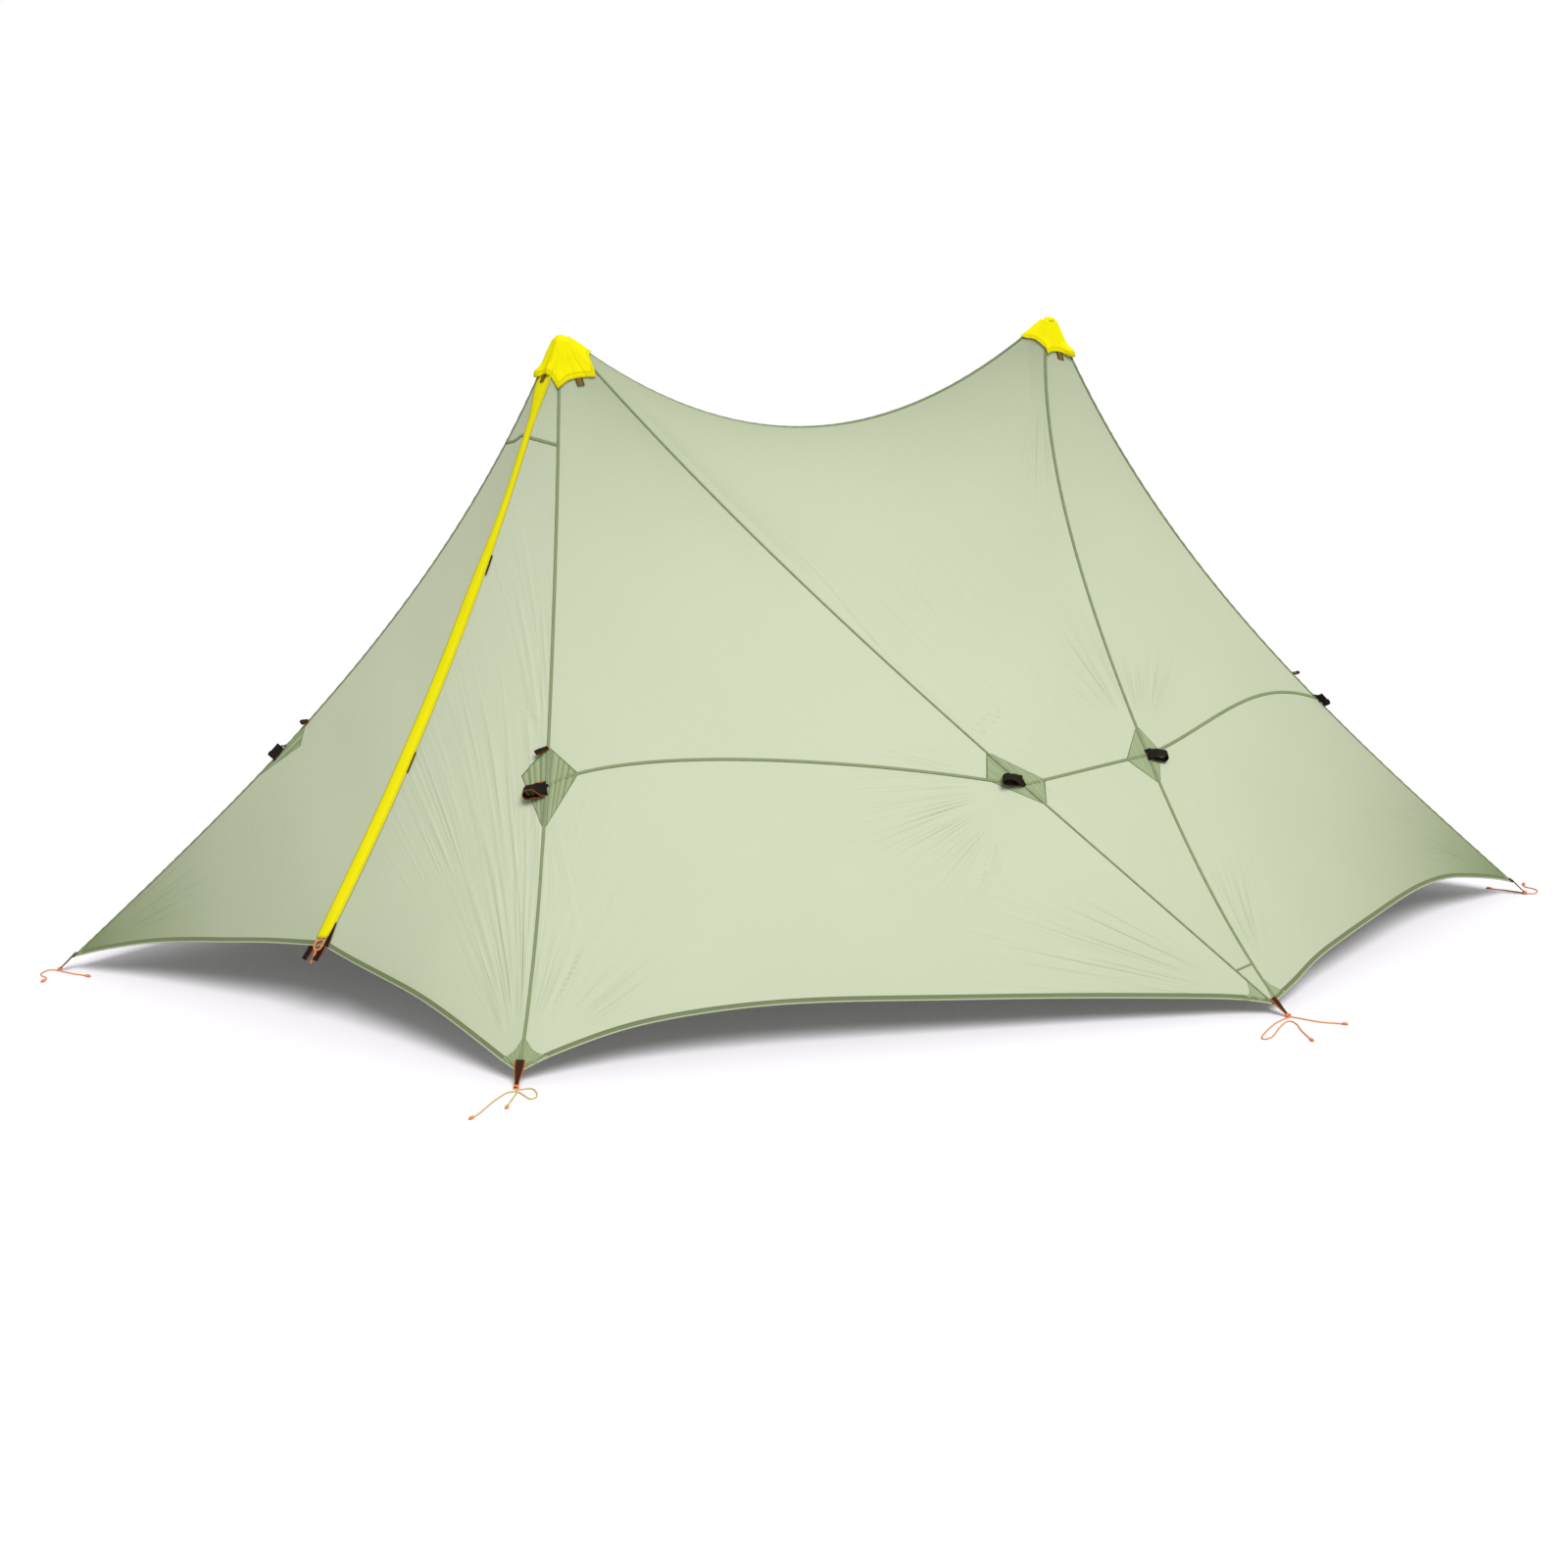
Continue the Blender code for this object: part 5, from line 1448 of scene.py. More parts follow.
@dataclass(frozen=True)
class TapeSize:
    """Cross-section of a seam or hem tape."""

    half_width: float = 0.0030
    lift: float = 0.0015
    wall: float = 0.0007
    pitch: float = 0.0055


class SeamMaker(Maker):
    """Lays the tapes of the canopy's seams and hems."""

    PROFILE = ((-1.0, 0.12), (-0.84, 0.74), (-0.45, 0.9), (0.0, 1.0), (0.45, 0.9), (0.84, 0.74), (1.0, 0.12))
    PUCKER = (0.22, 0.023)
    HEM_INSET = 0.0006
    SEAM = TapeSize()
    HEM = TapeSize(0.0052, 0.0008, 0.0016)
    NARROW = TapeSize(0.0021, 0.0015)
    RIDGE = TapeSize(0.0040, 0.0008)
    TOP_ROW = 2

    def lay(self, name: str, line: Array, normal: Array, left: Array, right: Array, finish: SeamTape,
            size: TapeSize, one_sided: bool = False) -> Piece:
        """Lays one tape.

        Args:
            name: piece name without the half's number.
            line: its centre line on the cloth, or its lower edge if one_sided.
            normal: outward normals along it.
            left: in-surface directions to its left edge.
            right: in-surface directions to its right edge.
            finish: its finish.
            size: its cross-section.
            one_sided: whether it stands wholly on the right of the line, as a hem does.

        Returns:
            The tape.
        """
        reach = reach_along(line)
        marks = np.linspace(0, reach[-1], max(int(reach[-1] / size.pitch), 8) + 1)
        line, normal, left, right = (resample(marks, reach, v) for v in (line, normal, left, right))
        depth, pitch = self.PUCKER
        pucker = 1 + depth * np.sin(marks * math.tau / pitch + np.sin(marks * 31.0) * 2)
        columns = []
        for place, rise in self.PROFILE:
            if one_sided:
                out = right * (0.5 + place / 2) * 2 * size.half_width - right * self.HEM_INSET
            else:
                out = (right if place > 0 else left) * abs(place) * size.half_width
            columns.append(line + out + normal * (size.lift * rise * pucker)[:, None])
        chart = chart_of(marks, 0.5 + np.array(self.PROFILE)[:, 0] / 2)
        piece = self.grid(name, np.stack(columns, axis=1), chart, normal[len(normal) // 2])
        give_wall(piece, size.wall)
        return self.wardrobe.dress(piece, finish)

    def between(self, name: str, first: Face, at_first: int, second: Face, at_second: int,
                second_turned: bool, size: TapeSize) -> Piece:
        """Tape over the seam where two faces meet.

        Args:
            name: piece name.
            first: face on the left.
            at_first: its edge column, 0 or -1.
            second: face on the right.
            at_second: its edge column.
            second_turned: whether the second face belongs to the other half.
            size: the tape's cross-section.

        Returns:
            The tape.
        """
        turn = HALF_TURN if second_turned else np.eye(3)
        line = first.grid[self.TOP_ROW:, at_first]
        along = unit(np.gradient(line, axis=0))
        left, right = (
            square_to(grid[self.TOP_ROW:, 3 if at == 0 else -4] - line, along)
            for grid, at in ((first.grid, at_first), (second.grid @ turn, at_second))
        )
        normal = unit((first.normals()[:, at_first] + (second.normals() @ turn)[:, at_second])[self.TOP_ROW:])
        return self.lay(name, line, normal, left, right, self.wardrobe.seam, size)

    def across(self, name: str, face: Face, row: int, size: TapeSize, inset: int = 2) -> Piece:
        """Tape over a seam that crosses one face along a row."""
        columns = slice(inset, -inset)
        line = face.grid[row, columns]
        up = square_to(face.grid[row - 1, columns] - line, unit(np.gradient(line, axis=0)))
        return self.lay(name, line, face.normals()[row, columns], -up, up, self.wardrobe.seam, size)

    def hem(self, name: str, face: Face) -> Piece:
        """Turned hem along the face's last row."""
        line = face.grid[-1]
        up = square_to(face.grid[-3] - line, unit(np.gradient(line, axis=0)))
        return self.lay(name, line, face.normals()[-1], -up, up, self.wardrobe.hem, self.HEM, one_sided=True)

    def ridge(self, line: Array) -> Piece:
        """Tape that straddles the ridge and leans down both sides of it."""
        top = np.tile(unit(np.array([0.0, -0.05, 1.0])) * [1, 0, 1], (len(line), 1))
        away = np.tile(np.array([0.0, -0.55, -0.83]), (len(line), 1))
        return self.lay("seam_ridge", line, top, unit(away), unit(away * [1, -1, 1]), self.wardrobe.seam, self.RIDGE)


@dataclass(frozen=True)
class PatchSize:
    """Reinforcing patch at a seam, in metres along the seam both ways and out along the face."""

    up: float
    down: float
    out: float
    pleats: int = 9
    pleat: float = 0.0012


class PatchMaker(Maker):
    """Lays reinforcing patches on the cloth."""

    LIFT = 0.00045
    WALL = 0.0004
    STEPS = 26
    TIE_SHIFT = 0.0042
    CORNER_SHIFT = 0.004

    @staticmethod
    def seam_point(face: Face, column: int, row: int, distance: float = 0.0) -> Array:
        """Point on an edge column at a distance down from a row, or up where it is below 0."""
        line = face.grid[:, column]
        reach = reach_along(line)
        return resample(np.array([reach[row] + distance]), reach, line)[0]

    @staticmethod
    def row_point(face: Face, column: int, row: int, distance: float) -> Array:
        """Point on a row at a distance in from an edge column."""
        line = face.grid[row] if column == 0 else face.grid[row, ::-1]
        return resample(np.array([distance]), reach_along(line), line)[0]

    def lay(self, name: str, face: Face, corners: tuple[Array, Array, Array, Array], size: PatchSize,
            focus: Array) -> Piece:
        """Lays one patch.

        Args:
            name: piece name.
            face: face that carries it.
            corners: its four corners in turn.
            size: its sizes and pleats.
            focus: point that its pleats run to.

        Returns:
            The patch.
        """
        u = np.linspace(0, 1, self.STEPS + 1)
        a, b, c, d = corners
        s, t = u[:, None, None], u[None, :, None]
        points = (1 - s) * (1 - t) * a + (1 - s) * t * b + s * t * c + s * (1 - t) * d
        flat = face.plane.flat(points)[..., :2] - face.plane.flat(focus)[:2]
        away = np.hypot(flat[..., 0], flat[..., 1])
        turn = np.arctan2(flat[..., 1], flat[..., 0])
        span = np.ptp(turn[away > 0.004])
        near_edge = np.minimum(u, 1 - u)
        rim = ease(np.minimum(near_edge[:, None], near_edge[None]) / 0.12)
        phase = turn * math.tau * size.pleats / max(span, 0.3)
        wave = 0.5 + 0.5 * np.sin(phase + 0.7 * np.sin(phase * 0.37))
        placed = face.drop(points, self.LIFT)
        placed = placed + face.plane.n * (size.pleat * wave ** 3 * (0.25 + 0.75 * rim) * ease(away / 0.02))[..., None]
        piece = self.grid(name, placed, chart_of(u, u), face.plane.n)
        # painted shade in the valleys of the pleats
        painted_pleat_shade = (1 - wave) ** 5 * ease(away / 0.012) * (1200 * size.pleat - 0.3)
        write_attribute(piece, "Depth", "FLOAT", np.clip(painted_pleat_shade, 0, 1))
        give_wall(piece, self.WALL)
        return self.wardrobe.dress(piece, self.wardrobe.patch)

    def tie_out(self, name: str, face: Face, column: int, row: int, size: PatchSize) -> Piece:
        """Patch beside a seam round a tie-out: the half of a diamond that lies on this face."""
        top, node, low, focus = (
            self.seam_point(face, column, row, distance) for distance in (-size.up, 0.0, size.down, size.down * 3.2)
        )
        out = self.row_point(face, column, row, size.out)
        shift = unit(out - node) * self.TIE_SHIFT
        return self.lay(name, face, (top + shift, out, low + shift, node + shift), size, focus)

    def corner(self, name: str, face: Face, column: int, size: PatchSize) -> Piece:
        """Patch in a corner between a seam and the hem."""
        last = len(face.grid) - 1
        top, tip = (self.seam_point(face, column, last, distance) for distance in (-size.up, 0.0))
        out = self.row_point(face, column, last, size.out)
        inside = self.row_point(face, column, last - 3, size.out * 0.5)
        shift = unit(inside - tip) * self.CORNER_SHIFT
        middle = (top + out) / 2 * 0.82 + tip * 0.18
        return self.lay(name, face, (top + shift, middle, out, tip + shift), size, tip)


# The cap

@dataclass
class PeakCap(Maker):
    """Yellow cap over a peak, with the webbing tabs under its edge."""

    canopy: Canopy
    edge_reach: Curve = (
        (0.0, 0.058), (0.25, 0.055), (0.5, 0.056), (0.75, 0.062), (1.0, 0.078), (1.07, 0.0968), (1.25, 0.0905),
        (1.5, 0.0862), (1.75, 0.0850), (1.94, 0.0905), (2.07, 0.0968), (2.35, 0.0865), (2.6, 0.0790), (2.85, 0.0735),
        (3.1, 0.0725), (3.4, 0.0740), (3.8, 0.0820), (4.0, 0.0870), (4.12, 0.0800), (4.3, 0.0710), (4.5, 0.0670),
        (4.75, 0.0655), (4.9, 0.0675), (4.95, 0.0695), (5.0, 0.0580), (5.25, 0.0525), (5.5, 0.0500), (5.75, 0.0520),
        (6.0, 0.058),
    )
    tips: Curve = (
        (1.07, 0.0012), (2.07, 0.0030), (4.0, 0.0075), (4.95, 0.0024), (3.08, 0.0042),
    )
    folds: tuple[float, ...] = (
        0.62, 1.35, 1.62, 1.93, 2.02, 2.14, 2.24, 2.42, 2.70, 3.25, 3.62, 3.85, 4.30, 4.62, 5.2,
    )
    crown: Curve = (
        (0.0004, 0.0), (0.0034, 0.0002), (0.0066, 0.0010), (0.0092, 0.0026), (0.0108, 0.0055),
    )
    tabs: tuple[tuple[str, float, float], ...] = (
        ("front", 1.45, 0.0135), ("door", 3.36, 0.0105), ("side", 4.40, 0.0135),
    )
    sector: int = 28
    gap: float = 0.0016
    wall: float = 0.0007
    tab_wall: float = 0.0011
    tab_under: float = 0.0012
    tab_ends: Pair = (-0.010, 0.015)
    smoothing: int = 4
    rows: int = 26
    cut: Pair = (0.19, 0.17)

    def seam_lines(self) -> list[Array]:
        """Polylines that meet at the peak, in turn round it."""
        c = self.canopy
        lines = (
            (c.ring(c.peak, 0), c.ridge(np.linspace(0.02, 0.98, 60))),
            (c.ring(c.peak, TURNS["long"]), c.seam_long),
            (c.ring(c.peak, TURNS["front"]), c.seam_front),
            (c.part_start, c.part),
            (c.ring(c.peak, TURNS["end"]), c.seam_end),
            (c.ring(c.far_peak, TURNS["side"]) @ HALF_TURN, c.seam_side @ HALF_TURN),
        )
        return [np.vstack(line) for line in lines]

    def lay_base(self, turns: Array, shares: Array) -> Array:
        """Points of the cloth under the cap, at turns round the peak and shares of the way to the edge."""
        peak, lines = self.canopy.peak, self.seam_lines()
        trees = [
            surface_tree((face.grid @ HALF_TURN if turned else face.grid)[:40])
            for face in self.canopy.faces.values() for turned in (False, True)
        ]
        marks, reach_at = np.array(self.edge_reach).T
        columns = []
        for turn in turns:
            k, f = int(turn), turn - int(turn)
            pair = [(line, reach_along(line)) for line in (lines[k], lines[(k + 1) % len(lines)])]
            out_a, out_b = (unit((resample(np.array([0.05]), r, line)[0] - peak) * [1, 1, 0]) for line, r in pair)
            reach = float(np.interp([turn - 0.02, turn, turn + 0.02], marks, reach_at).mean())
            outward = unit((1 - f) * out_a + f * out_b + 0.35 * UP)
            a, b = (resample(shares * reach, r, line) for line, r in pair)
            columns.append([self.land(trees, p, outward) for p in (1 - f) * a + f * b])
        return np.array(columns).transpose(1, 0, 2)

    def relief(self, turns: Array, down: Array) -> Array:
        """Height of the cap over the cloth: its gap, pleats, turned-out points and hem."""
        random = np.random.default_rng(5 + self.half.number)
        soft = [(t, random.uniform(0.10, 0.22), random.uniform(0.2, 0.8)) for t in random.uniform(0, 6, 16)]
        sharp = [(t + random.uniform(-0.03, 0.03), 0.032, random.uniform(-1.3, -0.7)) for t in self.folds]
        pleats = np.zeros((self.rows, len(turns)))
        for at, width, height in soft + sharp:
            away = (turns[None] - at - 0.06 * np.sin(down * 3 + at) + 3) % 6 - 3
            pleats += height * np.exp(-((away / width) ** 2)) * ease((down - 0.12) / 0.3)
        lift = self.gap + 0.0013 + pleats * 0.0014
        for at, height in self.tips:
            away = (turns - at + 3) % 6 - 3
            near = np.exp(-((away / 0.16) ** 2))[None]
            lift = lift + near * height * (ease((down - 0.62) / 0.28) - 0.55 * ease((down - 0.90) / 0.12))
        return lift + 0.0004 * (down > 0.93)

    def build(self) -> None:
        """Builds the cap with its pleats and its turned-out points."""
        peak = self.canopy.peak
        shares = np.linspace(0, 1, self.rows + 1)[1:] ** 0.9
        turns = np.arange(6 * self.sector) / self.sector
        base = self.lay_base(turns, shares)
        around = np.roll(base, -2, axis=1) - np.roll(base, 2, axis=1)
        normals = unit(np.cross(around, np.gradient(base, axis=0)))
        normals = normals if (normals * (base - peak) * [1, 1, 0]).sum() > 0 else -normals
        for _ in range(self.smoothing):
            normals = unit(normals + np.roll(normals, 1, axis=1) + np.roll(normals, -1, axis=1))
        outer = base + normals * self.relief(turns, shares[:, None])[..., None]
        middle = peak * [1, 1, 0] + UP * self.canopy.plan.peak_z
        way = unit((base[0] - peak) * [1, 1, 0])
        top_rows = [middle + way * radius - UP * drop for radius, drop in self.crown]
        points = np.concatenate([np.array(top_rows), outer[1:]])
        chart = chart_of(np.linspace(0, 1, len(points)), turns * 0.07)[..., ::-1]
        piece = self.grid("peak_cap_cloth", points, chart, UP, closed=True)
        self.close_pole(piece, len(turns))
        give_wall(piece, self.wall)
        self.wardrobe.dress(piece, self.wardrobe.cap)
        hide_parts(self.node_name("peak_cap"))
        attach(piece, "canopy")
        area = grid_area(np.concatenate([points, points[:, :1]], axis=1))
        self.node_name("front_cloth")
        self.build_tabs(outer[-1], outer[-4])

    def build_tabs(self, rim: Array, inside: Array) -> None:
        """Webbing tabs that hang from under the cap's edge.

        Args:
            rim: the cap's edge.
            inside: a row of the cap a little further in.
        """
        for key, turn, width in self.tabs:
            column = round(turn * self.sector)
            edge = rim[column % len(rim)]
            down = unit(edge - inside[column % len(rim)])
            wide = unit(rim[(column + 3) % len(rim)] - rim[(column - 3) % len(rim)])
            lift = unit(np.cross(wide, down))
            lift = lift if lift @ (edge - self.canopy.peak) > 0 else -lift
            path = np.array([edge + down * s - lift * self.tab_under for s in np.linspace(*self.tab_ends, 12)])
            tab = self.ribbon(f"cap_tab_{key}", path, wide, width, self.tab_wall, self.wardrobe.tab_web)
            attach(tab, "canopy")

    @staticmethod
    def close_pole(piece: Piece, count: int) -> None:
        """Closes the small ring at the top with one face."""
        work = bmesh.new()
        work.from_mesh(piece.data)
        work.verts.ensure_lookup_table()
        face = work.faces.new([work.verts[k] for k in range(count)])
        face.normal_update()
        if face.normal.z < 0:
            face.normal_flip()
        face.smooth = True
        work.to_mesh(piece.data)
        work.free()

    @staticmethod
    def land(trees: list[BVHTree], point: Array, outward: Array, reach: float = 0.010) -> Array:
        """Outermost cloth point on the line through a point."""
        best = None
        for tree in trees:
            hit, _, _, distance = tree.ray_cast(Vector(point + outward * reach), Vector(-outward), 2 * reach)
            if hit is not None and (best is None or distance < best[0]):
                best = (distance, np.array(hit))
        return point if best is None else best[1]


# Webbing, cords and small parts

def smooth_route(points: Array, step: float = 0.0055) -> Array:
    """Even points of a smooth curve through a route's points."""
    points = [np.asarray(p, float) for p in points]
    padded = [2 * points[0] - points[1], *points, 2 * points[-1] - points[-2]]
    dense = []
    for a, b, c, d in zip(padded, padded[1:], padded[2:], padded[3:]):
        for k in range(12):
            t = k / 12
            dense.append(
                0.5 * (2 * b + (c - a) * t + (2 * a - 5 * b + 4 * c - d) * t * t + (3 * b - a - 3 * c + d) * t ** 3)
            )
    dense = np.array([*dense, points[-1]])
    reach = reach_along(dense)
    marks = np.linspace(0, reach[-1], max(int(round(reach[-1] / step)), 4) + 1)
    return resample(marks, reach, dense)


def to_mesh(piece: Piece) -> Piece:
    """Turns a curve into a mesh with smooth faces."""
    bpy.ops.object.select_all(action="DESELECT")
    bpy.context.view_layer.objects.active = piece
    piece.select_set(True)
    bpy.ops.object.convert(target="MESH")
    bpy.ops.object.shade_smooth()
    piece.select_set(False)
    return piece


@dataclass(frozen=True)
class CordRoute:
    """Routes of a corner's cord and of its tail on the floor, in millimetres from the corner."""

    corner: str
    overlap: float
    main: Curve
    tail: Curve


CORD_ROUTES = (
    CordRoute(
        "end", 0.004,
        ((-12, 5), (-20, 4), (-28, -4), (-33, -15), (-29, -28), (-22, -38), (-22, -48), (-27, -57)),
        ((7, -10), (20, -22), (33, -34), (44, -41), (56, -52)),
    ),
    CordRoute(
        "front", 0.022,
        ((9, -7), (21, -6), (29, -13), (31, -33), (27, -48), (17, -53), (9, -34), (3, -18), (-7, -13),
         (-20, -17), (-47, -50), (-71, -87), (-89, -108)),
        ((0, -17), (-6, -30), (-12, -44), (-21, -64), (-26, -78)),
    ),
    CordRoute(
        "side", 0.010,
        ((-15, -10), (-44, -31), (-84, -74), (-90, -92), (-70, -84), (-42, -50), (-17, -24), (-6, -24),
         (-3, -42), (-8, -70), (-11, -119)),
        ((13, -12), (26, -26), (44, -42), (62, -52), (80, -62)),
    ),
)


@dataclass
class Corner(Maker):
    """Webbing strap and cord at one corner of the tent."""

    route: CordRoute
    seam: Array
    normal: Array
    foot: Array
    strap_width: float = 0.0185
    strap_wall: float = 0.0019
    strap_crown: float = 0.0006
    cord_radius: float = 0.0013
    clearance: float = 0.0001
    wire: float = 0.00105

    def build(self) -> None:
        """Builds the strap, the knots and the cords."""
        key, tip, foot = self.route.corner, self.seam[-1], self.foot
        way = unit((foot - tip) * [1, 1, 0])
        up = unit(self.seam[-4] - tip)
        path = smooth_route([
            tip + up * self.route.overlap + self.normal * 0.0026, tip + self.normal * 0.0022,
            (tip + foot) / 2 + self.normal * 0.0012, foot + UP * 0.0014,
        ], 0.0016)
        share = np.linspace(0, 1, len(path))
        widths = self.strap_width * (1 - 0.60 * ease((share - 0.15) / 0.75))
        finish = self.wardrobe.black_web if key == "end" else self.wardrobe.brown_web
        strap = self.ribbon(
            f"corner_strap_{key}", path, np.cross(way, UP), widths, self.strap_wall, finish, self.strap_crown
        )
        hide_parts(self.node_name(f"strap_{key}"))
        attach(strap, "canopy")
        self.knot(f"strap_knot_{key}", foot - way * 0.002 + UP * 0.0034, way, 0.0044, 4)
        tail_way = unit(np.array([*self.route.tail[0], 0.0]))
        level = UP * (self.cord_radius + self.clearance)
        for name, begin, start, route, node in (
            ("corner_cord", way, (0.0004, 0.0040), self.route.main, f"cord_{key}"),
            ("corner_tail", tail_way, (0.0030, 0.0062), self.route.tail, None),
        ):
            points = [foot + begin * reach + level for reach in start]
            points += [foot + np.array([x, y, 0]) * MM + level for x, y in route]
            self.lay_cord(f"{name}_{key}", smooth_route(points), node)

    def lay_cord(self, name: str, points: Array, node: str | None) -> None:
        """One cord on the floor with the knot at its end.

        Args:
            name: piece name.
            points: its route in the first half.
            node: CAD node that it stands for, if there is one.
        """
        placed = self.half.place(points)
        pale = self.route.corner == "front"
        knot = self.knot(name + "_knot", points[-1] + UP * 0.0008, unit(points[-1] - points[-2]), 0.0026, 5)
        if pale:
            self.wardrobe.dress(knot, self.wardrobe.amber_cord)
        cord = self.tube(name, points, self.cord_radius)
        self.wardrobe.dress(cord, self.wardrobe.pale_cord if pale else self.wardrobe.amber_cord)
        if node:
            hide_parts(self.node_name(node))
        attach(cord, "canopy")
        float(reach_along(placed)[-1])
        2 * self.cord_radius

    def knot(self, name: str, centre: Array, axis: Array, radius: float, turns: int) -> Piece:
        """Small wrapped knot of the orange cord.

        Args:
            name: piece name.
            centre: its middle.
            axis: line that it is wound round.
            radius: radius of its turns.
            turns: number of turns.

        Returns:
            The knot.
        """
        axis = unit(axis)
        side = unit(np.cross(axis, UP + axis * 0.01))
        lift = np.cross(side, axis)
        count = 16 * turns
        k = np.arange(count + 1) / count
        turn = k * math.tau * turns
        run = (k - 0.5) * turns * self.wire * 1.9
        tight = radius - self.wire * (0.3 + 0.3 * np.cos(math.tau * k))
        points = centre + axis * run[:, None] + side * (np.cos(turn) * tight)[:, None]
        points = points + lift * (np.sin(turn) * tight * 0.62)[:, None]
        points[:, 2] = np.maximum(points[:, 2], self.wire + self.clearance)
        piece = to_mesh(self.tube(name, points, self.wire))
        self.wardrobe.dress(piece, self.wardrobe.orange_cord)
        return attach(piece, "canopy")


@dataclass
class TieOut(Maker):
    """Webbing loop sewn on a seam for a guy line."""

    name: str
    node: Array
    normal: Array
    along: Array
    reach: Triple
    through: Triple
    turned: Triple | None
    gap: float
    length: float
    width: float
    wall: float = 0.0015
    stand: float = 0.0072
    seat_stand: float = 0.0012
    seat_size: Triple = (0.011, 0.0085, 0.0013)

    def build(self) -> None:
        """Builds the loop with its two legs sewn down on the cloth."""
        reach, through, wall = unit(self.reach), unit(self.through), self.wall
        radius = self.gap / 2
        bulb = self.length - radius - wall
        turns = np.radians(np.linspace(-108, 108, 15))
        opening = 0.16 if self.turned is None else 0.40
        legs = [
            (x, -wall * 0.55 - opening * self.gap * max(x - 0.003, 0) / 0.014) for x in (-0.002, 0.004, 0.010, 0.016)
        ]
        loop = [(bulb + radius * math.cos(t), radius * math.sin(t)) for t in turns]
        outline = legs + loop + [(x, -y) for x, y in reversed(legs)]
        route = smooth_route(np.array([(x, y, 0.0) for x, y in outline]), 0.0018)
        wide = np.broadcast_to(through, route.shape)
        if self.turned is not None:
            twist = np.clip(route[:, :1] / (self.length * 0.50), 0, 1)
            wide = unit(through * (1 - twist) + unit(self.turned) * twist)
        side = unit(np.cross(wide, reach))
        path = self.node + unit(self.normal) * self.stand + reach * route[:, :1] + side * route[:, 1:2]
        finish = self.wardrobe.black_web if self.name == "front" else self.wardrobe.plain_web
        piece = self.ribbon(f"guy_loop_{self.name}", path, wide, self.width, wall, finish)
        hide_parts(self.node_name(f"tie_out_{self.name}"))
        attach(piece, "canopy")
        self.seat(self.node + unit(self.normal) * self.seat_stand)

    def seat(self, back: Array) -> None:
        """Bar of webbing between the cloth and the loop, sewn over the seam."""
        along, normal = unit(self.along), unit(self.normal)
        half_length, width, wall = self.seat_size
        path = np.array([
            back + along * s * half_length + normal * (0.0066 * math.exp(-((s / 0.55) ** 2)) - 0.0006)
            for s in np.linspace(-1, 1, 9)
        ])
        bar = self.ribbon(
            f"guy_loop_seat_{self.name}", path, np.cross(normal, along), width, wall, self.wardrobe.plain_web
        )
        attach(bar, "canopy")


